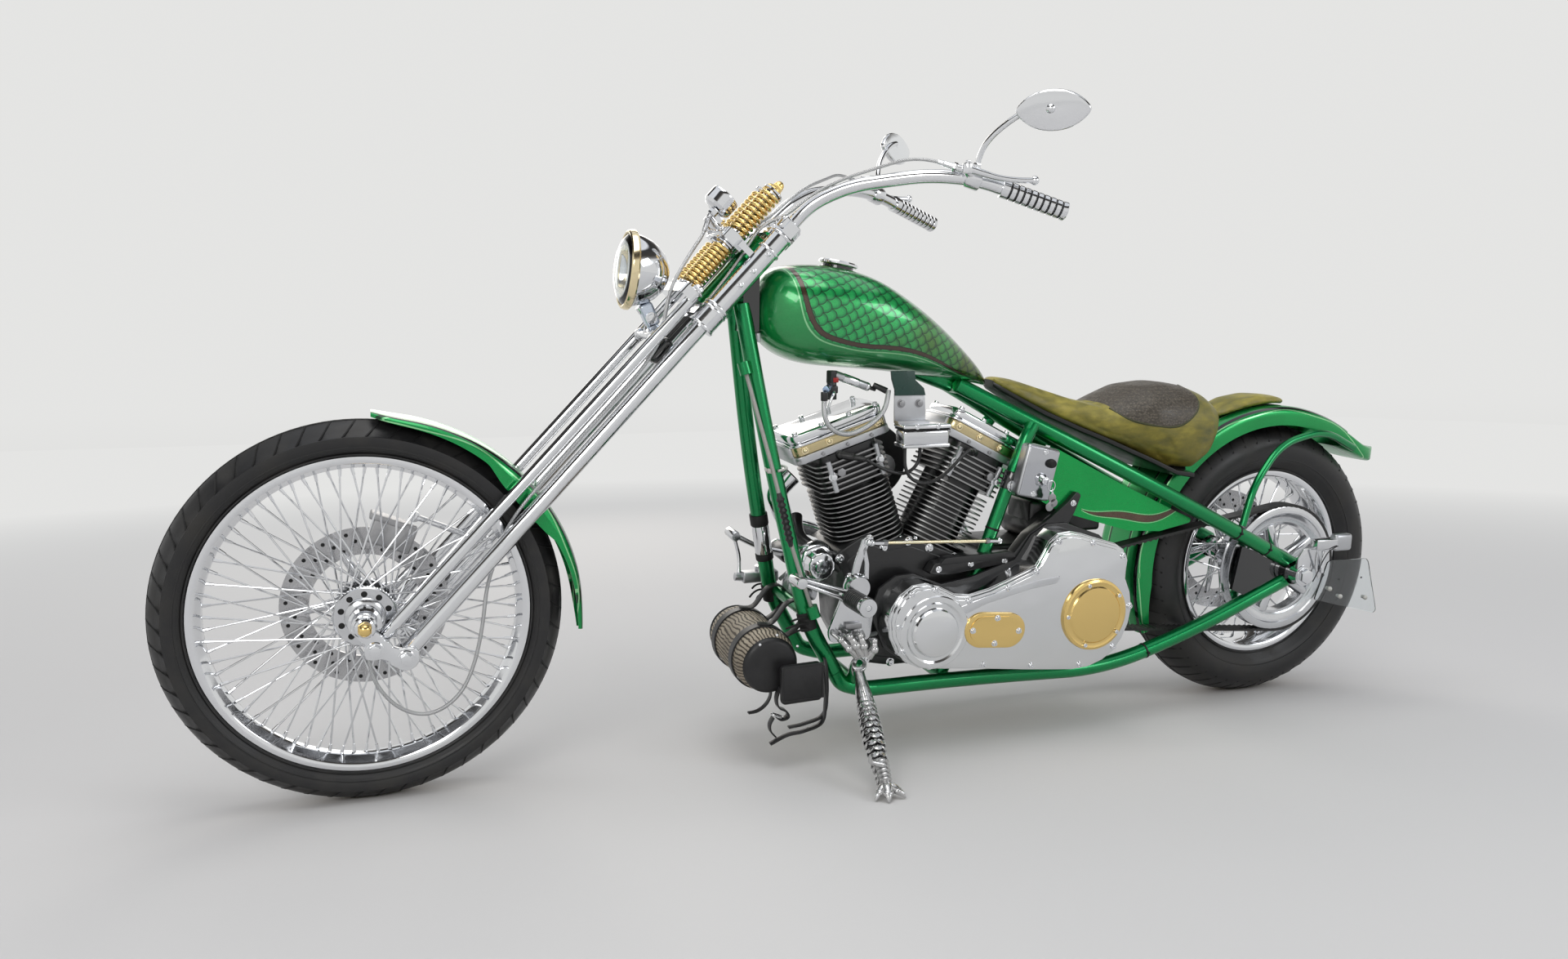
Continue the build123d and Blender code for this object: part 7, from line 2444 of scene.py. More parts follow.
    def levers(self) -> None:
        """Build the levers with ball ends, their perches and the brake reservoir."""
        levers = Shape()
        perch = neck_point(-399, 216, 197)
        along = (self.bar[-2] - self.bar[-1]).normalized()
        levers.rod(CHROME, perch - along * 14, perch + along * 14, 19, sides=36, rounding=3)
        levers.rod(CHROME, perch - along * 15, perch + along * 15, 15, sides=36, rounding=1)
        pivot = neck_point(-379, 232, 213)
        levers.rod(CHROME, perch, pivot, 11, 10, rounding=2)
        levers.rod(CHROME, pivot + Vector((0, 0, -9)), pivot + Vector((0, 0, 9)), 10, sides=28, rounding=1.5)
        levers.bolt(CHROME, pivot + Vector((0, 0, 9)), (0, 0, 1), 5, 4, "hex", 7)
        route = [pivot, neck_point(-402, 244, 205), neck_point(-434, 250, 197), neck_point(-470, 258, 194),
                 neck_point(-498, 262, 195)]
        levers.wire(CHROME, route, [8, 6.4, 5.2, 5.0, 5.2])
        levers.ball(CHROME, neck_point(-499, 262, 195), 8.2, 10)
        start, end = neck_point(-383, 225, 209), neck_point(-345, 205, 222)
        levers.rod(CHROME, start, end, 7, 5.6, sides=24, rounding=0.8)
        levers.rod(CHROME, start.lerp(end, 0.45), start.lerp(end, 0.62), 8.6, sides=6, rounding=0.8)
        levers.mirror()
        levers.block(CHROME, neck_point(-382, -206, 226), (44, 32, 18), 4.0,
                     Matrix.Rotation(radians(-30), 3, "Z"), 3)
        self.shop.deliver(levers, "ball_end_levers", Body.FORK, ("hand_levers",), "chrome")

    def mirror_pair(self) -> None:
        """Build the pointed oval mirrors on their stems."""
        pair = Shape()
        stem = [neck_point(-403, 219, 213), neck_point(-405, 222, 236), neck_point(-414, 240, 266),
                neck_point(-442, 268, 297), neck_point(-470, 295, 316), neck_point(-484, 305, 318)]
        pair.wire(CHROME, stem, 5.4)
        pair.rod(CHROME, stem[0], stem[0] + Vector((-1, 2, 12)), 9, 7, sides=6, rounding=1)
        centre = neck_point(-492, 322, 309)
        facing = Vector((-0.62, -0.76, 0.2)).normalized()
        level = Vector((facing.y, -facing.x, 0)).normalized()
        place = basis(centre, facing, level)
        outline = []
        for k in range(48):
            a = 2 * pi * k / 48
            c, s = cos(a), sin(a)
            outline.append((64.5 * c, 35.0 * s * (1 - 0.34 * abs(c) ** 3)))
        pair.plate(CHROME, outline, -7.4, 4.4, 3.4, place, 0, 3)
        pair.plate(MIRROR_GLASS, [(0.93 * x, 0.91 * y) for x, y in outline], 4.0, 4.9, 0.3, place)
        pair.ball(CHROME, centre - facing * 6 + Vector((2, -4, 3)), 9.0, 10)
        pair.mirror()
        self.shop.deliver(pair, "oval_mirrors", Body.FORK, ("mirrors",), "chrome", 30.0)

    def caliper(self) -> None:
        """Build the front caliper and its torque rod."""
        caliper = Shape()
        middle = FRONT_AXLE + Vector((-51, -50, 130))
        lean = Matrix.Rotation(radians(-22), 3, "Y")
        for y in (-62, -33):
            caliper.block(CAST, (middle.x, y, middle.z), (78, 14 if y < -50 else 8, 50), 4.0, lean, 3)
        caliper.block(CAST, middle + Vector((6, 2, 27)), (66, 40, 12), 3.0, lean, 3)
        for x in (-20, 18):
            spot = middle + lean @ Vector((x, 0, 0))
            caliper.rod(CAST, (spot.x, -66, spot.z), (spot.x, -73.5, spot.z), 17, sides=32, rounding=2)
            caliper.bolt(CHROME, (spot.x, -73.5, spot.z), -SIDEWAYS, 6, 0.4, "hex")
        start, end = FRONT_AXLE + Vector((-91, -48.4, 160)), FRONT_AXLE + Vector((-219, -48.4, 104))
        caliper.rod(CHROME, start, end, 5.6, sides=20)
        for spot in (start, end):
            caliper.rod(CHROME, spot - SIDEWAYS * 5.5, spot + SIDEWAYS * 5.5, 10, sides=24, rounding=1)
            caliper.bolt(CHROME, spot - SIDEWAYS * 5.5, -SIDEWAYS, 6, 4, "hex")
        self.shop.deliver(caliper, "front_brake_caliper", Body.FORK, ("front_caliper",), "satin_aluminium")

    def build(self) -> None:
        """Build everything on the fork."""
        self.springs()
        self.perch()
        self.rockers()
        self.headlamp()
        self.speedometer()
        self.grips()
        self.levers()
        self.mirror_pair()
        self.caliper()


@dataclass(frozen=True)
class Snakeskin(Finish):
    """Soft hide with fine wavy rows, and black leather at its ends.

    The piece carries the attribute marks: metres from the middle of the roll, metres round it.

    Attributes:
        pale: The colour between the rows.
        dark: The rows' colour.
        black: The leather's colour.
        band: How far from the middle the black leather starts, in metres.
    """

    pale: Colour = (0.52, 0.45, 0.35)
    dark: Colour = (0.07, 0.055, 0.04)
    black: Colour = (0.014, 0.013, 0.013)
    band: float = 0.112

    def dress(self, recipe: Recipe) -> None:
        """Fill in the material."""
        apart = recipe.carried("marks")
        sway = recipe.times(recipe.noise(26.0, 3.0), 0.022)
        row = recipe.times(recipe.plus(apart[1], sway), 720.0)
        rows = recipe.spread(recipe.math("SINE", row), 0.0, 1.0, -0.75, 0.1)
        wear_and_sheen = recipe.spread(recipe.noise(11.0, 4.0), 0.55, 1.0, 0.35, 0.6)
        hide = recipe.mix(recipe.times(rows, wear_and_sheen), self.dark, self.pale)
        off = recipe.math("ABSOLUTE", apart[0])
        end = recipe.spread(off, 0.0, 1.0, self.band - 0.0004, self.band + 0.0004)
        relief = recipe.times(rows, recipe.minus(1.0, end))
        recipe.set(Base_Color=recipe.mix(end, hide, self.black), Roughness=recipe.spread(end, 0.62, 0.42),
                   Normal=recipe.bump(relief, 0.0005, 0.6,
                                      recipe.bump(recipe.cells(800.0).outputs["Distance"], 0.0001)))


SNAKESKIN = Snakeskin("snakeskin")
BLACK_LEATHER = Rubber("black_leather", (0.012, 0.012, 0.013), (0.03, 0.03, 0.032), (0.34, 0.52), 0.00025,
                       420.0)
STRAP_GREEN = Enamel("strap_green", (0.0, 0.05, 0.035), (0.0, 0.035, 0.025), (0.2, 0.35), 0.4)
CLAW_METAL = Plated("cast_claw", (0.60, 0.60, 0.60), (0.14, 0.34), 0.0002)
ROD_GOLD = Plated("passivated_rod", (0.75, 0.66, 0.45), (0.18, 0.3))


def eased(points: Sequence[Point], steps: int = 8) -> list[Vector]:
    """Return a smooth line through points, with this many steps between each two."""
    ends = [points[0], *points, points[-1]]
    line = []
    for a, b, c, d in zip(ends, ends[1:], ends[2:], ends[3:]):
        a, b, c, d = (Vector(p) for p in (a, b, c, d))
        for k in range(steps):
            t = k / steps
            line.append(0.5 * ((2 * b) + (c - a) * t + (2 * a - 5 * b + 4 * c - d) * t * t
                               + (3 * b - a - 3 * c + d) * t ** 3))
    return line + [Vector(points[-1])]


def strip(points: Sequence[Point], thickness: float) -> list[Vector]:
    """Return the outline of a strap that follows a smooth line seen from the side."""
    line = eased(points)
    left, right = [], []
    for k, point in enumerate(line):
        run = (line[min(k + 1, len(line) - 1)] - line[max(k - 1, 0)]).normalized()
        left.append(point + Vector((-run.y, run.x)) * thickness / 2)
        right.append(point - Vector((-run.y, run.x)) * thickness / 2)
    return left + right[::-1]


@dataclass
class Drive:
    """The toothed belt, the air cleaner, the oil filter, the coil's cover and the ignition box.

    Attributes:
        shop: The workshop.
        big: The belt's inner radius at the wheel.
        small: The same at the gearbox.
        pitch: The distance from tooth to tooth.
    """

    shop: Workshop
    big: float = 141.8
    small: float = 70.8
    pitch: float = 14.0

    def belt_line(self) -> tuple[list[Vector], list[Vector], list[float]]:
        """Return points along the belt's inner face, their outward directions and the way along."""
        run = BELT_WHEEL - REAR_AXLE
        tilt = atan2(run.z, run.x)
        spread = (self.big - self.small) / run.length
        upper = tilt + pi / 2 - spread
        lower = tilt - pi / 2 + spread
        spans = ((REAR_AXLE, self.big, upper, lower + 2 * pi), (BELT_WHEEL, self.small, lower, upper))
        points, ways = [], []
        for centre, radius, start, end in spans:
            count = max(2, round((end - start) * radius / 3.5))
            for k in range(count + 1):
                way = Vector((cos(start + (end - start) * k / count), 0,
                              sin(start + (end - start) * k / count)))
                points.append(centre + way * radius)
                ways.append(way)
            forwards = centre == REAR_AXLE
            goal_centre, goal_radius = (BELT_WHEEL, self.small) if forwards else (REAR_AXLE, self.big)
            way = ways[-1]
            goal = goal_centre + way * goal_radius
            gap = goal - points[-1]
            count = round(gap.length / 3.5)
            points += [points[-1] + gap * k / count for k in range(1, count)]
            ways += [way] * (count - 1)
        return points, ways, running_lengths(points)

    def belt(self) -> None:
        """Build the toothed belt."""
        points, ways, along = self.belt_line()
        total = along[-1] + (points[0] - points[-1]).length
        teeth = round(total / self.pitch)
        count = len(points)
        blank = bmesh.new()
        bmesh.ops.create_grid(blank, x_segments=count, y_segments=4, size=1.0)
        for vertex in blank.verts:
            k = round((vertex.co.x + 1) / 2 * count) % count
            corner = round((vertex.co.y + 1) / 2 * 4) % 4
            tooth = 1.6 * (1 + max(-0.7, min(0.7, 1.6 * sin(2 * pi * teeth * along[k] / total))))
            rise = (tooth - 1.0, 6.6, 6.6, tooth - 1.0)[corner]
            across = (81.0, 81.0, 111.0, 111.0)[corner]
            place = points[k] + ways[k] * rise
            vertex.co = Vector((place.x, across, place.z))
        bmesh.ops.remove_doubles(blank, verts=blank.verts, dist=0.01)
        bmesh.ops.recalc_face_normals(blank, faces=blank.faces)
        belt = Shape()
        belt.stamp(blank, BELT_RUBBER)
        self.shop.deliver(belt, "toothed_belt", Body.FRAME, ("drive_belt",), "belt_rubber", 30.0)

    def cleaner(self) -> None:
        """Build the round air cleaner on the right side."""
        middle = Vector((908, 0, 560))
        cleaner = Shape()
        cleaner.rod(CAST, middle + Vector((0, -77, 0)), middle + Vector((0, -147, 0)), 25.5, rounding=2)
        cleaner.lathe(ENGINE_BLACK, [(0, 146), (80, 146), (82, 148), (82, 151), (0, 151)], middle,
                      (0, -1, 0), 64)
        ribs = [(76 + (1.6 if k % 2 else 0), 151 + k * 0.9) for k in range(29)]
        cleaner.lathe(BLACK_LEATHER, ribs, middle, (0, -1, 0), 64)
        cleaner.lathe(CHROME, [(74, 176), (86, 176), (87.6, 178), (87.6, 184), (86, 187), (70, 190),
                               (66, 190.5), (64, 193), (56, 194.6), (22, 195.6), (20, 194), (0, 194)],
                      middle, (0, -1, 0), 72)
        cleaner.bolt(CHROME, middle + Vector((0, -193.5, 0)), (0, -1, 0), 8, 3.4, "socket", 13)
        for k in range(5):
            angle = radians(36 + 72 * k)
            spot = middle + Vector((78 * cos(angle), -187.8, 78 * sin(angle)))
            cleaner.bolt(SATIN, spot, (0, -1, 0), 3.4, 2.4, "socket")
        self.shop.deliver(cleaner, "round_air_cleaner", Body.FRAME, ("air_cleaner",), "chrome", 32.0)

    def filter(self) -> None:
        """Build the oil filter's chrome can with its fluted end."""
        can = Shape()
        middle = Vector((1108, 0, 392))
        can.lathe(CHROME, [(0, -30), (38, -30), (42.5, -27), (43.6, -22), (43.6, 40), (42, 49), (37.5, 55),
                           (33, 57.6), (0, 57.6)], middle, (0, 1, 0), 56)
        can.lathe(ENGINE_BLACK, [(0, -37), (30, -37), (38, -34), (38, -29.5), (0, -29.5)], middle,
                  (0, 1, 0), 40)
        flutes = bmesh.new()
        made = bmesh.ops.create_cone(flutes, cap_ends=True, segments=56, radius1=32, radius2=28, depth=24)
        for vertex in made["verts"]:
            angle = atan2(vertex.co.y, vertex.co.x)
            vertex.co.xy *= 1 - 0.035 * max(0.0, cos(14 * angle))
        top = [e for e in flutes.edges if all(v.co.z > 11 for v in e.verts)]
        round_edges(flutes, top, 5.0, 4)
        can.stamp(flutes, CHROME, basis(middle + Vector((0, 69.5, 0)), (0, 1, 0)))
        can.lathe(CHROME, [(0, 81), (14, 81), (15, 81.6), (13, 83.4), (0, 83.8)], middle, (0, 1, 0), 32)
        self.shop.deliver(can, "chrome_oil_filter", Body.FRAME, ("oil_filter",), "chrome", 38.0)

    def coil(self) -> None:
        """Build the coil's polished cover and the strap that carries it."""
        coil = Shape()
        coil.block(POLISHED, (914, 108, 648), (99, 43, 34), 7.0, segments=3)
        coil.block(CHROME, (914, 108, 670.5), (104, 47, 9), 3.4, segments=3)
        coil.block(CHROME, (914, 108, 633), (102, 46, 8), 3.2, segments=3)
        coil.block(BLACK_AND_PAINTED_SHADE, (914, 108, 664.4), (100, 44.6, 2.4), 0.6)
        for x in (892, 937):
            coil.bolt(CHROME, (x, 131.2, 671), (0, 1, 0), 4.4, 2.6, "socket", 5.6)
        coil.plate(SATIN, [(898, 674), (966, 674), (968, 732), (902, 732)], 84.5, 88.5, 0.8)
        coil.plate(SATIN, [(898, 674), (966, 674), (966, 679), (898, 679)], 84.5, 106, 1.0)
        for x in (914, 953):
            coil.bolt(STEEL, (x, 88.5, 712), (0, 1, 0), 6.6, 4.4, "hex", 8.6)
        coil.plate(STRAP_GREEN, [(902, 728), (968, 728), (969, 740), (976, 760), (978, 776), (927, 776),
                                 (925, 758), (906, 742)], 86.5, 92.5, 1.2)
        self.shop.deliver(coil, "coil_cover_and_strap", Body.FRAME, ("coil_cover",), "satin_aluminium")

    def ignition(self) -> None:
        """Build the ignition box with its knob, its switch and the keys."""
        box = Shape()
        place = basis((665, 125, 571), SIDEWAYS, (0.97, 0, 0.22))
        turn = place.to_3x3()

        def at(along: float, up: float, out: float) -> Vector:
            """Return a point given from the box's middle."""
            return place @ Vector((along, -up, out))

        box.block(SATIN, at(0, 0, 0), (78, 108, 33), 8.0, turn, 3)
        box.block(BLACK_AND_PAINTED_SHADE, at(0, 0, 8), (76.6, 106.6, 2.0), 1.0, turn, 2)
        # The front plate's darker chrome is painted shade.
        box.block(CHROME_PAINTED_SHADE, at(0, 0, 15.6), (70, 100, 3.2), 1.2, turn, 3)
        box.lathe(BLACK_AND_PAINTED_SHADE, [(0, 17), (9.5, 17), (9.5, 20), (8, 26), (6, 28), (0, 28.4)],
                  at(-20, 24, 0), SIDEWAYS, 28)
        for along, up in ((-2, 44), (4, -44)):
            box.bolt(CHROME, at(along, up, 17), SIDEWAYS, 4.4, 2.6, "socket", 5.6)
        switch = at(-8, -12, 0)
        box.lathe(CHROME, [(0, 17), (13, 17), (13.6, 19), (12.4, 25), (9, 30), (8, 33), (0, 34)], switch,
                  SIDEWAYS, 32)
        key = switch + SIDEWAYS * 38
        box.block(CHROME, key, (3.2, 11, 12), 1.4, turn, 2)
        ring = [key + Vector((-8 + 9 * cos(a), 3, -9 + 11 * sin(a))) for a in (k * pi / 5 for k in range(10))]
        box.wire(CHROME, ring, 0.9, sides=2, closed=True)
        for along, down, tilt in ((-12, -34, 0.2), (-7, -52, -0.25), (-16, -44, 0.5)):
            fob = key + Vector((along, 2, down))
            box.rod(STEEL, fob - Vector((0, 1.2, 0)), fob + Vector((0, 1.2, 0)), 9, sides=24, rounding=0.8)
            box.plate(CHROME, [(fob.x - 3, fob.z + 4), (fob.x + 3, fob.z + 4),
                               (fob.x + 4 * tilt, fob.z + 22)], fob.y - 1, fob.y + 1, 0.4)
        box.rod(CHROME, at(-18, 58, -6), at(-18, 50, -6), 5, sides=6)
        self.shop.deliver(box, "ignition_box_and_keys", Body.FRAME, ("ignition_box",), "satin_aluminium",
                          34.0)

    def build(self) -> None:
        """Build all of them."""
        self.belt()
        self.cleaner()
        self.filter()
        self.coil()
        self.ignition()


@dataclass
class Fittings:
    """The foot controls, the rear caliper, the plate's bracket and the small clamps and ties.

    Attributes:
        shop: The workshop.
        foot_plate: The outline of the foot controls' plates, as x and z.
    """

    shop: Workshop
    foot_plate: tuple[tuple[float, float], ...] = ((1097, 337), (1086, 372), (1054, 372), (1040, 340),
                                                   (1026, 310), (1031, 268), (1036, 258), (1112, 258),
                                                   (1118, 268), (1119, 282))

    def left_control(self) -> None:
        """Build the left foot control: plate, lever, peg, toe arm and shift rod."""
        control = Shape()
        control.plate(POLISHED, self.foot_plate, 140.5, 149.5, 1.4, corners=5)
        control.plate(BLACK_AND_PAINTED_SHADE, [(1090, 340), (1078, 350), (1058, 348), (1050, 330)], 149.0, 150.0, 0.2,
                      corners=4)
        arms = ([(1084, 362), (1070, 420), (1056, 462), (1046, 466), (1040, 458), (1056, 418), (1070, 366)],
                [(1066, 366), (1050, 372), (1050, 412), (1056, 440), (1050, 448), (1042, 412), (1042, 366)])
        for outline in arms:
            control.plate(POLISHED, outline, 150.5, 157.5, 1.2, corners=3)
        control.lathe(POLISHED, [(0, 150), (25, 150), (27, 152), (27, 160), (22, 170), (0, 170)],
                      (1066, 0, 368), SIDEWAYS, 40)
        control.bolt(CHROME, (1048, 157.5, 457), SIDEWAYS, 7.4, 6, "hex", 8.4)
        control.ball(CHROME, (1047, 166, 456), 6.4, 8)
        rod = (Vector((1040, 162, 454)), Vector((744, 131, 434)))
        control.rod(ROD_GOLD, *rod, 3.6)
        run = (rod[1] - rod[0]).normalized()
        for end, way in ((rod[0], run), (rod[1], -run)):
            control.rod(CHROME, end, end + way * 26, 5.2, sides=6)
            control.rod(STEEL, end + way * 26, end + way * 34, 6.2, sides=6)
            control.ball(CHROME, end, 7.4, 8)
        peg = (Vector((1086, 150, 352)), Vector((1086, 261, 356)))
        out = (peg[1] - peg[0]).normalized()
        control.rod(POLISHED, peg[0], peg[0] + out * 26, 16, 14, rounding=1.5)
        profile = [(0, 26), (17, 26), (18.4, 28)]
        for k in range(9):
            start = 30 + k * 7.4
            profile += [(18.6, start), (18.6, start + 5), (16.2, start + 5.6), (16.2, start + 7)]
        control.lathe(CORD_RUBBER, profile + [(16, 98), (0, 98)], peg[0], out, 36)
        control.lathe(POLISHED, [(0, 97), (17, 97), (19, 99), (19, 105), (17, 110), (6, 111), (5.4, 109.6),
                                 (0, 109.6)], peg[0], out, 40)
        control.bolt(CHROME, peg[0] + out * 109.4, out, 4.6, 1.6, "socket")
        for drop in (0, 1):
            start = Vector((1080, 176, 360 - 16 * drop))
            control.rod(POLISHED, start, (1196, 186, 402 - 8 * drop), 4.6, 4.0, rounding=0.8)
        control.block(POLISHED, (1202, 182, 397), (13, 10, 22), 3.0, segments=2)
        roller = (Vector((1206, 178, 402)), Vector((1206, 235, 404)))
        along = (roller[1] - roller[0]).normalized()
        control.lathe(POLISHED, [(0, 0), (7, 0), (8, 2), (8, 6), (10, 8), (11, 11), (11, 52), (9.6, 55.4),
                                 (5, 56.6), (0, 56.8)], roller[0], along, 32)
        for x, z in ((1106, 276), (1090, 268), (1066, 272), (1050, 268)):
            control.bolt(STEEL, (x, 149.5, z), SIDEWAYS, 5.4, 4.6, "hex", 7.2)
        control.block(STEEL, (1070, 154, 290), (34, 8, 12), 2.0)
        control.rod(STEEL, (1010, 128, 262), (1056, 152, 266), 4.5)
        self.shop.deliver(control, "left_foot_control", Body.FRAME, ("foot_controls",), "satin_aluminium")

    def right_control(self) -> None:
        """Build the right foot control: plate, peg, brake lever and master cylinder."""
        control = Shape()
        control.plate(POLISHED, self.foot_plate, -149.5, -140.5, 1.4, corners=5)
        peg = (Vector((1086, -150, 352)), Vector((1086, -261, 356)))
        out = (peg[1] - peg[0]).normalized()
        control.rod(POLISHED, peg[0], peg[0] + out * 26, 16, 14, rounding=1.5)
        control.lathe(CORD_RUBBER, [(0, 26), (17, 26), (18.6, 30), (18.6, 94), (16, 98), (0, 98)], peg[0],
                      out, 36)
        control.lathe(POLISHED, [(0, 97), (17, 97), (19, 99), (19, 105), (17, 110), (0, 111)], peg[0], out,
                      40)
        lever = [(1080, -176, 356), (1130, -180, 366), (1172, -184, 384), (1206, -186, 404)]
        control.wire(POLISHED, lever, [8, 6.4, 5.6, 6], sides=3)
        control.lathe(POLISHED, [(0, 0), (9, 0), (11, 3), (11, 50), (9, 56), (0, 57)], (1206, -178, 402),
                      (0, -1, 0.03), 32)
        control.block(SATIN, (1156, -169, 315), (80, 30, 24), 4.0, segments=3)
        control.rod(SATIN, (1196, -169, 315), (1212, -169, 317), 9, rounding=1.2)
        control.lathe(CHROME, [(0, 0), (15, 0), (16, 1.6), (16, 12), (13, 14), (0, 14)], (1150, -169, 325),
                      (0, 0, 1), 32)
        for x in (1128, 1188):
            control.bolt(CHROME, (x, -184, 315), (0, -1, 0), 5.4, 3, "socket")
        control.wire(POLISHED, [(1200, -176, 322), (1196, -184, 352), (1203, -188, 384), (1208, -188, 404)],
                     [4.5, 4, 4, 5], sides=3)
        control.rod(STEEL, (1112, -160, 306), (1090, -148, 330), 4.6)
        self.shop.deliver(control, "right_foot_control", Body.FRAME)

    def caliper(self) -> None:
        """Build the rear brake caliper over its disc."""
        caliper = Shape()
        middle = REAR_AXLE + Vector((125, 0, 71))
        for low, high, finish in ((-111.5, -95, SATIN), (-84.5, -70.5, SATIN)):
            caliper.block(finish, middle + Vector((0, (low + high) / 2, 0)), (49, high - low, 100), 6.0,
                          segments=3)
        for up in (-41, 41):
            caliper.block(SATIN, middle + Vector((12, -90, up)), (22, 26, 16), 4.0)
        for up in (-22, 22):
            caliper.lathe(CHROME, [(0, 0), (17, 0), (17.6, 1), (15, 2.6), (0, 2.6)],
                          middle + Vector((0, -111, up)), (0, -1, 0), 32)
        for up in (-42, 42):
            caliper.bolt(STEEL, middle + Vector((2, -111.4, up)), (0, -1, 0), 5.4, 4, "socket")
        self.shop.deliver(caliper, "rear_brake_caliper", Body.FRAME, ("rear_caliper",), "satin_aluminium")

    def plate(self) -> None:
        """Build the number plate's bracket and the clear plate with its screws."""
        def off(x: float, y: float, z: float) -> Vector:
            """Return a point given from the rear axle."""
            return REAR_AXLE + Vector((x, y, z))

        holder = Shape()
        side = [(18, 40), (18, -20), (-24, -20), (-24, 10), (-58, 30), (-58, 62), (2, 62)]
        holder.plate(POLISHED, [(x, 320 + z) for x, z in side], 172.5, 179.5, 1.6, corners=4)
        holder.ring(POLISHED, REAR_AXLE, 170.5, 182.0, 23.5, 40)
        holder.block(POLISHED, off(-50, 182.5, 70), (62, 24, 24), 3.5, segments=3)
        holder.block(SATIN, off(-93, 184, 72), (48, 22, 38), 7.0, segments=3)
        holder.plate(POLISHED, [(x, 320 + z) for x, z in ((-6, 60), (-30, 60), (-56, -4), (-40, -10))],
                     180.0, 184.0, 1.0, corners=4)
        holder.block(CHROME, off(-42, 188.5, 30), (9, 6, 50), 2.0)
        holder.wire(CORD_RUBBER, [off(-74, 196, 66), off(-52, 197, 60), off(-36, 197, 40),
                                  off(-30, 192, 12), off(-22, 186, -14)], 1.2, sides=2)
        nut = off(0, 182, 0)
        holder.bolt(CHROME, nut, SIDEWAYS, 17, 10, "hex", 19)
        self.shop.deliver(holder, "plate_bracket_and_clamp", Body.FRAME, ("plate_bracket",),
                          "satin_aluminium")
        clear = Shape()
        outline = [(x, 320 + z) for x, z in ((-32, -56), (-60, 28), (-70, 32), (-170, 30), (-178, 22),
                                             (-215, -94), (-209, -101))]
        clear.plate(ACRYLIC, outline, 182.6, 186.8, 0.8, corners=4)
        self.shop.deliver(clear, "clear_plate_sheet", Body.FRAME, ("clear_plate",), "clear", 10.0)
        screws = Shape()
        for x, z in ((-72, -34), (-178, -62), (-104, -54)):
            foot = off(x, 186.8, z)
            screws.bolt(TIE_WHITE, foot, SIDEWAYS, 6.0, 5, "dome")
            screws.rod(TIE_WHITE, off(x, 182.4, z), off(x, 176, z), 4.0)
        for x in (-96, -160):
            screws.rod(BLACK_AND_PAINTED_SHADE, off(x, 186.9, -14), off(x, 187.2, -14), 2.2, sides=16)
        self.shop.deliver(screws, "plate_screws", Body.FRAME)

    def ties(self) -> None:
        """Add the cable ties, the clamp and the blank sleeve on the frame's tubes."""
        extras = Shape()
        post = (Vector((711, 89, 524)), Vector((842, 89, 152)))
        rail = (Vector((400, 132, 541)), REAR_AXLE + Vector((-8, 139, 16)))
        cradle = (Vector((470, 126, 136)), Vector((250, 131, 202)))
        for (start, end), share, radius in ((post, 0.2, 14.9), (post, 0.62, 14.9), (rail, 0.60, 17.0),
                                            (rail, 0.80, 17.0), (cradle, 0.45, 17.0)):
            spot, run = start.lerp(end, share), (end - start).normalized()
            extras.rod(BLACK_AND_PAINTED_SHADE, spot - run * 2, spot + run * 2, radius, sides=28, rounding=0.4)
            extras.block(BLACK_AND_PAINTED_SHADE, spot + Vector((0, radius + 0.5, 0)), (6, 5, 5), 0.8)
        tubes = (Vector((1216.3, -69.7, 613.9)), Vector((1150.2, -112.2, 292.2)))
        for high, low, finish, radius in ((470, 447, BLACK_AND_PAINTED_SHADE, 19.0), (446, 385, CHROME, 18.0),
                                          (384, 370, BLACK_AND_PAINTED_SHADE, 18.8)):
            ends = [tubes[0].lerp(tubes[1], (613.9 - z) / 321.7) for z in (high, low)]
            extras.rod(finish, *ends, radius, sides=36, rounding=0.8)
        for side in (-1, 1):
            joint = Vector((1150.2, side * 112.2, 292.2))
            extras.rod(BLACK_AND_PAINTED_SHADE, joint + Vector((4, side * -3, 20)), joint - Vector((4, side * -3, 14)),
                       17.4, sides=32, rounding=1)
            for k, (lift, span) in enumerate(((14, 26), (2, 34), (-9, 22))):
                spot = joint + Vector((10, 0, lift))
                extras.wire(BLACK_AND_PAINTED_SHADE, [spot + Vector((-6, side * 17, 0)),
                                           spot + Vector((14, side * (22 + k), 4)),
                                           spot + Vector((span, side * (12 - 8 * k), -6 - 4 * k))], 2.2,
                            sides=2)
        clamp = Vector((700, 89, 548))
        extras.rod(GLOSS_BLACK, clamp + Vector((-6, 0, 18)), clamp + Vector((6, 0, -18)), 18.0, sides=32,
                   rounding=1.5)
        extras.bolt(CHROME, clamp + Vector((6, 18, -8)), SIDEWAYS, 9, 7, "hex", 12)
        self.shop.deliver(extras, "ties_and_clamps", Body.FRAME)

    def build(self) -> None:
        """Build all of them."""
        self.left_control()
        self.right_control()
        self.caliper()
        self.plate()
        self.ties()


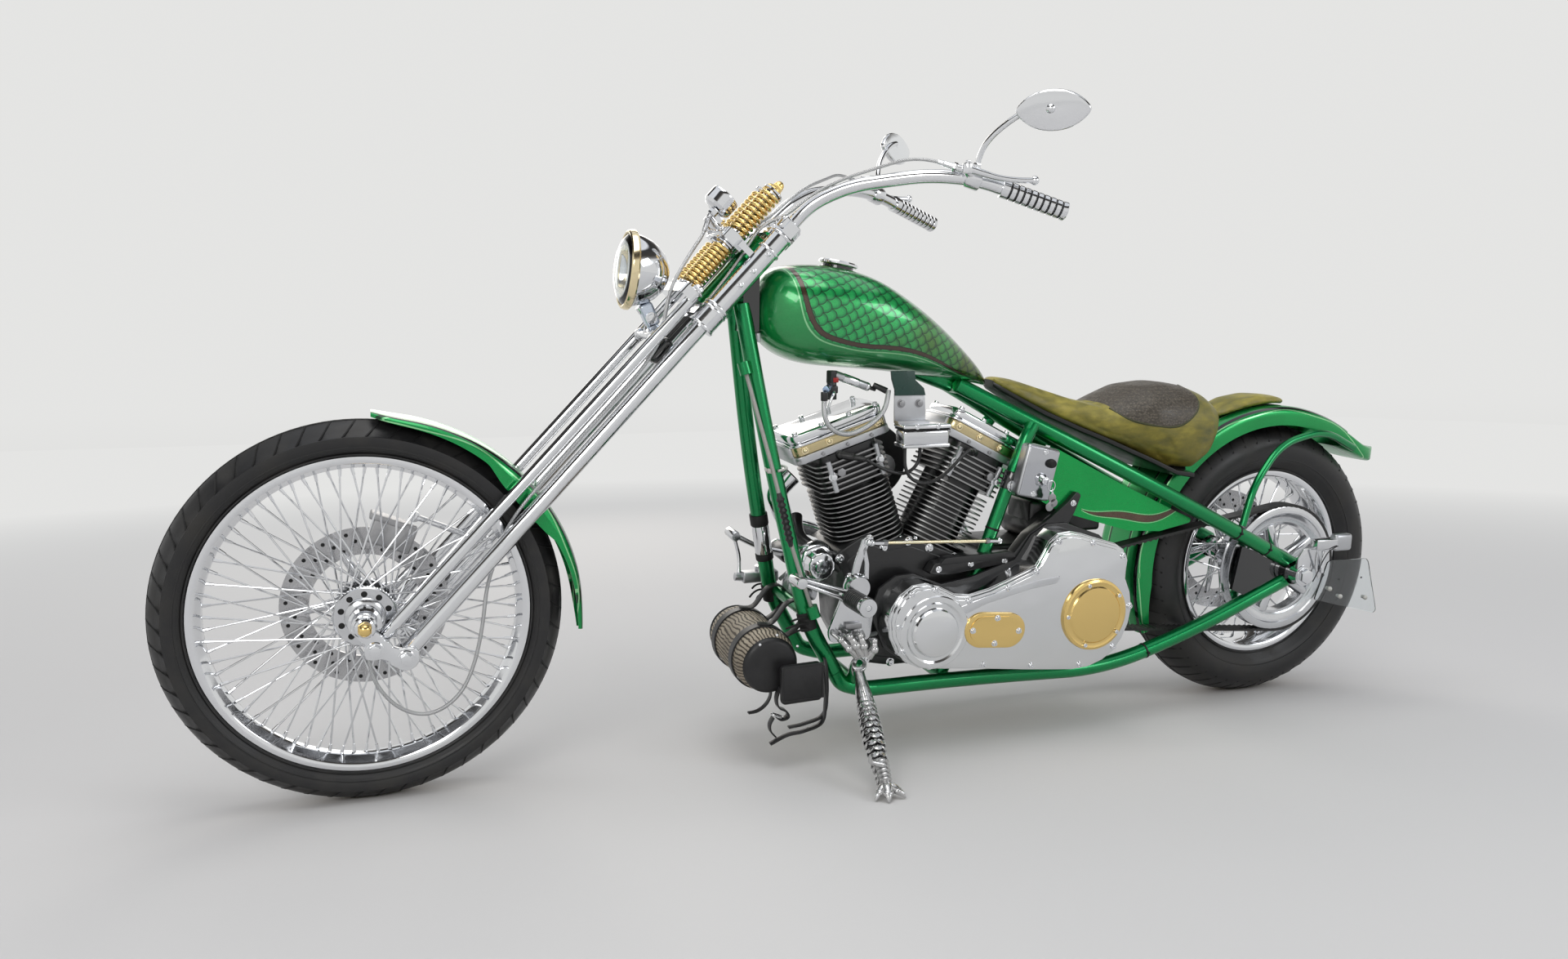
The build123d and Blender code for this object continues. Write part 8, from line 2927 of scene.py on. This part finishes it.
@dataclass
class ToolRoll:
    """The soft snakeskin tool roll, its straps, its pouch and its hangers.

    Attributes:
        shop: The workshop.
        centre: The middle of the roll.
        radius: Its radius.
        half: Half its length.
        straps: Where its two straps are.
    """

    shop: Workshop
    centre: Vector = field(default_factory=lambda: Vector((1226.2, 0.0, 214.0)))
    radius: float = 61.5
    half: float = 121.5
    straps: tuple[float, float] = (-60.0, 60.0)

    def hide(self) -> None:
        """Build the roll itself as stuffed cloth that its straps hold in."""
        steps = [(s * self.half, 0.72 + 0.28 * (1 - abs(s) ** 9)) for s in (k / 12 - 1 for k in range(25))]
        sections = [(y, -self.radius * r, self.radius * r, self.radius * r) for y, r in steps]
        blank = round_loft(sections, 56, (1.0, 1.0, 1.0))
        turn = Matrix.Translation(self.centre) @ Matrix.Rotation(radians(90), 4, "Z")
        bmesh.ops.transform(blank, matrix=turn, verts=blank.verts)
        stuffer = Upholstery(self.shop, 0.0055)
        data = stuffer.stuff(blank, "stuffed_roll",
                             lambda p: abs(p.y) > 116 or min(abs(p.y - s) for s in self.straps) < 7, 0.005)

        def marks(point: Vector) -> Point:
            """Return the hide's coordinates on the roll."""
            off = point - self.centre
            return (off.y / MM_PER_M, atan2(off.z, off.x) * 0.064, 0.0)

        stuffer.cover(data, "snakeskin_roll", SNAKESKIN, "tool_roll", "roll_leather", 0.7, marks)

    def leather(self) -> None:
        """Build the straps, the pouch, the buckles and the rivets."""
        straps = Shape()
        x, z = self.centre.x, self.centre.z
        for y in self.straps:
            band = [(self.radius + 0.6, -10.5), (self.radius + 3.4, -10), (self.radius + 3.4, 10),
                    (self.radius + 0.6, 10.5)]
            straps.lathe(BLACK_LEATHER, band + band[:1], (x, y, z), SIDEWAYS, 64)
            loop = [(x - 94, 306), (x - 78, 322), (x - 52, 318), (x - 22, 282), (x + 6, 281)]
            straps.plate(BLACK_LEATHER, strip(loop, 3.0), y - 10, y + 10, 0.6)
            under = [(x - 94, 306), (x - 92, 288), (x - 68, 262), (x - 52, 252)]
            straps.plate(BLACK_LEATHER, strip(under, 3.0), y - 10, y + 10, 0.6)
        pouch = (x - 55, 141, 181)
        tilt = Matrix.Rotation(radians(2), 3, "Y")
        straps.block(BLACK_LEATHER, pouch, (84, 21, 78), 9.0, tilt, 4)
        flap = Vector(pouch) + Vector((0, 11.0, 4))
        straps.block(BLACK_LEATHER, flap, (86, 3.2, 72), 1.5, tilt, 2)
        edge = [flap + Vector((sx * 40, 1.6, sz * 33)) for sx, sz in ((-1, 1), (1, 1), (1, -1), (-1, -1))]
        straps.wire(CORD_RUBBER, [*edge, edge[0]], 1.1, smooth=False, sides=2)
        hang = [(x - 98, 214), (x - 103, 186), (x - 105, 140), (x - 98, 98), (x - 60, 84), (x - 26, 80)]
        for shift, y, thick, end in ((0, 146, 4.0, [(x + 8, 66)]), (-6, 138, 3.4, [])):
            line = [(px + shift, pz - 2 * shift) for px, pz in hang + end]
            straps.plate(BLACK_LEATHER, strip(line, thick), y - 6, y + 6, 0.8)
        drop = [(x - 16, 172), (x - 10, 150), (x - 14, 132), (x - 30, 122), (x - 34, 110), (x - 20, 106),
                (x - 10, 112)]
        straps.plate(BLACK_LEATHER, strip(drop, 3.2), 118, 136, 0.8)
        ring = [(x - 12 + 12 * cos(k * pi / 6), 127 + 9 * sin(k * pi / 6), 114 + 5 * cos(k * pi / 6))
                for k in range(12)]
        straps.wire(CHROME, ring, 1.9, sides=2, closed=True)
        low = [(x - 4, 112), (x + 3, 98), (x + 1, 84), (x - 9, 72)]
        straps.plate(BLACK_LEATHER, strip(low, 3.0), 119, 135, 0.8)
        wisp = [(x - 4, 170), (x - 2, 148), (x + 8, 132), (x + 24, 122), (x + 42, 120)]
        straps.plate(BLACK_LEATHER, strip(wisp, 2.6), 106, 118, 0.6)
        for along, up in ((-38, 58), (-10, 62), (24, 46), (-52, 36)):
            if hypot(along, up) < self.radius + 2:
                straps.bolt(CHROME, (x + along, 126.6, z + up), SIDEWAYS, 3.4, 1.8, "dome")
        for side in (-1, 1):
            straps.lathe(BLACK_LEATHER, [(0, 5), (30, 4.6), (46, 3), (53, -0.5), (55.5, -6), (53, -9),
                                         (0, -9)], (x, side * (self.half + 0.6), z), (0, side, 0), 56)
        self.shop.deliver(straps, "roll_straps_and_pouch", Body.FRAME, sharp=40.0)

    def build(self) -> None:
        """Build the roll and its leather."""
        self.hide()
        self.leather()


@dataclass
class Stand:
    """The side stand in the shape of an animal's leg, and the fixed talons over its pivot.

    Attributes:
        shop: The workshop.
        pivot: The middle of its pivot.
        foot: The middle of its foot on the ground.
        axis: The direction of its pivot.
    """

    shop: Workshop
    pivot: Vector = field(default_factory=lambda: Vector((1058.0, 152.0, 205.0)))
    foot: Vector = field(default_factory=lambda: Vector((1084.0, 358.0, 31.06)))
    axis: Vector = field(default_factory=lambda: Vector((0.0338, 0.6424, 0.7656)))

    def leg(self) -> None:
        """Build the leg with its overlapping scales, its ankle and its foot."""
        leg = Shape()
        run = self.foot - self.pivot
        way = run.normalized()
        leg.rod(CLAW_METAL, self.pivot - self.axis * 12.6, self.pivot + self.axis * 12.6, 15.8, sides=36,
                rounding=2)
        stations = ((0.04, 11), (0.12, 11.5), (0.2, 15.5), (0.3, 18), (0.42, 17.5), (0.56, 14.5),
                    (0.7, 11.5), (0.84, 10), (0.93, 10))
        leg.wire(CLAW_METAL, [self.pivot + run * share for share, _ in stations], [r for _, r in stations],
                 sides=5)
        across = way.cross(Vector((0, 0, 1))).normalized()
        over = across.cross(way)
        for ring in range(17):
            share = 0.17 + 0.044 * ring
            centre = self.pivot + run * share
            thick = 11 + 8.5 * sin(pi * min(1.0, (share - 0.10) / 0.75)) ** 1.2
            count = 8 if share < 0.55 else 6
            for k in range(count):
                angle = 2 * pi * (k + 0.5 * (ring % 2)) / count
                out = across * cos(angle) + over * sin(angle)
                lean_out = (way + out * 0.42).normalized()
                side = lean_out.cross(out).normalized()
                turn = Matrix((side, lean_out, side.cross(lean_out))).transposed()
                size = (thick * pi / count * 1.12, 10.5, 2.4)
                leg.ball(CLAW_METAL, centre + out * (thick - 2.2), size, 5, turn)
        ground = Vector((0, -sin(radians(LEAN)), cos(radians(LEAN))))
        ankle = self.foot + ground * 26 - way * 10
        for k in range(5):
            leg.ball(CLAW_METAL, ankle - way * (k * 8.5 - 4), (11.5 + 0.5 * k, 12 + 0.5 * k, 5.2), 7,
                     basis((0, 0, 0), way).to_3x3())
        flat = Vector((0, cos(radians(LEAN)), sin(radians(LEAN))))
        ahead = Vector((1, 0, 0))
        toes = ((ahead * 0.28 + flat, 32.0, 11.0), (ahead * -0.72 + flat * 0.55, 35.0, 9.0),
                (ahead * 0.85 + flat * 0.45, 31.0, 9.0), (ahead * 0.35 - flat * 0.9, 22.0, 8.0))
        for aim, length, thick in toes:
            aim = aim.normalized()
            path = [(0.0, 22.0), (0.3, 21.0), (0.62, 14.0), (0.86, 9.5), (1.0, 2.6)]
            radii = [thick, thick, thick * 0.8, thick * 0.55, 1.8]
            points = [self.foot + aim * (length * share) + ground * max(up, r * 1.02) for (share, up),
                      r in zip(path, radii)]
            leg.wire(CLAW_METAL, points, radii, sides=4)
            for share, up in ((0.3, 25.0), (0.58, 18.0)):
                leg.ball(CLAW_METAL, self.foot + aim * (length * share) + ground * (up - 3),
                         (thick, thick, thick * 0.7), 6)
            leg.ball(CHROME, self.foot + aim * (length * 0.84) + ground * 11, (4.6, 4.6, 4.2), 6)
        spur = self.foot + ground * 48 - way * 16 + Vector((20, -6, 0))
        leg.wire(CLAW_METAL, [spur - Vector((16, 0, 4)), spur, spur + Vector((8, 2, 8)),
                              spur + Vector((6, 6, 16))], [7, 6, 4, 1.4], sides=3)
        self.shop.deliver(leg, "scaled_stand_leg", Body.STAND, ("side_stand",), "chrome", 45.0)

    def talons(self) -> None:
        """Build the fixed talons that curl up from the pivot."""
        talons = Shape()
        lines = (((1066, 166, 234), (1086, 172, 252), (1102, 170, 270), (1116, 162, 280)),
                 ((1060, 170, 236), (1074, 178, 258), (1086, 176, 276), (1094, 166, 276)),
                 ((1052, 170, 236), (1058, 178, 256), (1064, 176, 276), (1068, 166, 276)),
                 ((1042, 168, 230), (1034, 176, 246), (1034, 174, 262), (1040, 164, 264)))
        for line in lines:
            talons.wire(CLAW_METAL, line, [8.5, 7.6, 6.2, 2.2], sides=4)
            for k, size in ((1, 9.0), (2, 7.2)):
                talons.ball(CLAW_METAL, line[k], size, 8)
        for x, up in ((1112, 279), (1066, 280)):
            talons.bolt(STEEL, (x, 152, up), SIDEWAYS, 5.6, 8, "acorn")
        self.shop.deliver(talons, "pivot_talons", Body.FRAME, sharp=45.0)

    def build(self) -> None:
        """Build the leg and the talons."""
        self.leg()
        self.talons()


@dataclass
class Studio:
    """The floor, the light and the camera.

    Attributes:
        shop: The workshop.
        camera_from_axle: Where the camera is from the rear axle, in metres.
        lens: The camera's focal length for a 36 mm wide picture.
        right: The camera's own right.
        over: Its up.
        backdrop: The colour of the pale background.
    """

    shop: Workshop
    camera_from_axle: Vector = field(default_factory=lambda: Vector((1.90763, 2.14559, 0.43430)))
    lens: float = 26.04
    right: Vector = field(default_factory=lambda: Vector((-0.9432, 0.3320, -0.0131)))
    over: Vector = field(default_factory=lambda: Vector((-0.0417, -0.0791, 0.9960)))
    backdrop: Colour = (0.78, 0.78, 0.77)

    def camera(self) -> None:
        """Put the camera where the photographer stood."""
        data = bpy.data.cameras.new("photographer")
        data.lens = self.lens
        data.sensor_width = 36.0
        data.sensor_fit = "HORIZONTAL"
        right = self.right.normalized()
        back = right.cross(self.over).normalized()
        over = back.cross(right)
        turn = Matrix((right, over, back)).transposed().to_4x4()
        camera = linked("photographer", data)
        camera.matrix_world = Matrix.Translation(self.shop.axle + self.camera_from_axle) @ turn
        bpy.context.scene.camera = camera

    def floor(self) -> None:
        """Lay a plain pale floor."""
        blank = bmesh.new()
        bmesh.ops.create_grid(blank, x_segments=2, y_segments=2, size=14.0)
        data = mesh_of(blank, "floor")
        recipe = Recipe("pale_floor")
        seen = recipe.seen()
        apart = recipe.apart(recipe.place)
        far = recipe.math("SQRT", recipe.plus(recipe.times(apart[0], apart[0]),
                                              recipe.times(apart[1], apart[1])))
        fade = recipe.spread(far, 0.0, 1.0, 1.9, 6.5)
        near = recipe.mix(seen, (0.30, 0.29, 0.28), (0.70, 0.69, 0.68))
        recipe.set(Base_Color=recipe.mix(fade, near, (0.0, 0.0, 0.0)), Roughness=0.8,
                   Specular_IOR_Level=0.0, Emission_Color=self.backdrop,
                   Emission_Strength=recipe.times(seen, fade))
        data.materials.append(recipe.material)
        floor = linked("floor", data)
        floor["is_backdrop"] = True

    def world(self) -> None:
        """Make a soft surrounding light, pale where it is seen and shaded where metal reflects it."""
        world = bpy.data.worlds.new("studio")
        world.use_nodes = True
        around = ((0.0, (0.14, 0.13, 0.12)), (0.46, (0.24, 0.21, 0.18)), (0.5, (0.03, 0.025, 0.02)),
                  (0.54, (0.07, 0.055, 0.04)), (0.62, (0.30, 0.25, 0.19)), (0.72, (0.55, 0.54, 0.53)),
                  (0.85, (0.62, 0.65, 0.70)), (1.0, (0.3, 0.34, 0.4)))
        seen = ((0.0, (0.1, 0.1, 0.1)), (0.49, self.backdrop), (0.705, self.backdrop),
                (0.735, (0.22, 0.21, 0.20)), (0.77, (0.06, 0.055, 0.05)), (0.865, (0.04, 0.04, 0.04)),
                (0.885, (0.9, 0.92, 0.95)), (1.0, (0.5, 0.52, 0.55)))
        tree = NodeTree(world.node_tree)
        height = tree.spread(tree.apart(tree.coordinates["Generated"])[2], 0.0, 1.0, -1.0, 1.0)
        light = tree.mix(tree.seen(), tree.ramp(height, *around), tree.ramp(height, *seen))
        tree.link(light, world.node_tree.nodes["Background"].inputs["Color"])
        bpy.context.scene.world = world

    def lamps(self) -> None:
        """Hang soft lamps over and in front of the motorcycle."""
        table = (("over", (0.4, 0.6, 4.2), (0.0, 0.0, 0.4), 3.6, 52.0, (1.0, 0.98, 0.95)),
                 ("front_left", (2.8, 3.6, 2.6), (0.2, 0.0, 0.6), 2.2, 46.0, (1.0, 0.99, 0.97)),
                 ("rear_left", (-3.0, 3.2, 2.4), (-0.3, 0.0, 0.5), 2.2, 34.0, (0.95, 0.97, 1.0)),
                 ("behind", (0.0, -3.6, 2.4), (0.0, 0.0, 0.6), 3.0, 34.0, (1.0, 0.95, 0.88)))
        for name, place, aim, size, power, colour in table:
            data = bpy.data.lights.new(name, "AREA")
            data.shape = "RECTANGLE"
            data.size = size
            data.size_y = 0.6 * size
            data.energy = power
            data.color = colour
            linked(name, data).matrix_world = basis(place, Vector(place) - Vector(aim))

    def build(self) -> None:
        """Set up the whole studio."""
        self.camera()
        self.floor()
        self.world()
        self.lamps()
        bpy.context.scene.view_settings.view_transform = "Standard"


def dress_frame(shop: Workshop) -> None:
    """Give the CAD nodes that stay their finishes."""
    table = {FRAME_GREEN: ("frame_backbone", "frame_downtubes", "frame_cradle", "frame_seat_rails",
                           "fender_stays"),
             EDGED_GREEN: ("oil_tank",),
             GLOSS_BLACK: ("axle_plates", "neck_cover"),
             CHROME: ("fork_legs", "fork_spring_legs", "handlebar", "exhaust_pipes", "rear_axle")}
    for finish, nodes in table.items():
        for node in nodes:
            shop.dress_node(node, finish)


def main() -> None:
    """Build every sub-assembly in order."""
    logging.basicConfig(level=logging.INFO, format="%(message)s")
    shop = Workshop()
    dress_frame(shop)
    parts: tuple[Any, ...] = (Studio(shop), Cords(shop), Tank(shop), front_wheel(shop), rear_wheel(shop),
                              Engine(shop), Fork(shop), Upholstery(shop), Fenders(shop), Drive(shop),
                              Fittings(shop), ToolRoll(shop), Stand(shop))
    for part in parts:
        part.build()
    record_sizes(shop)


def record_sizes(shop: Workshop) -> None:
    """Work out the CAD model's box and the visual model's box."""
    boxes = {"cad": shop.cad_bounds, "visual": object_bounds()}
    {name: [list(corner) for corner in box] for name, box in boxes.items()}


if __name__ == "__main__":
    main()
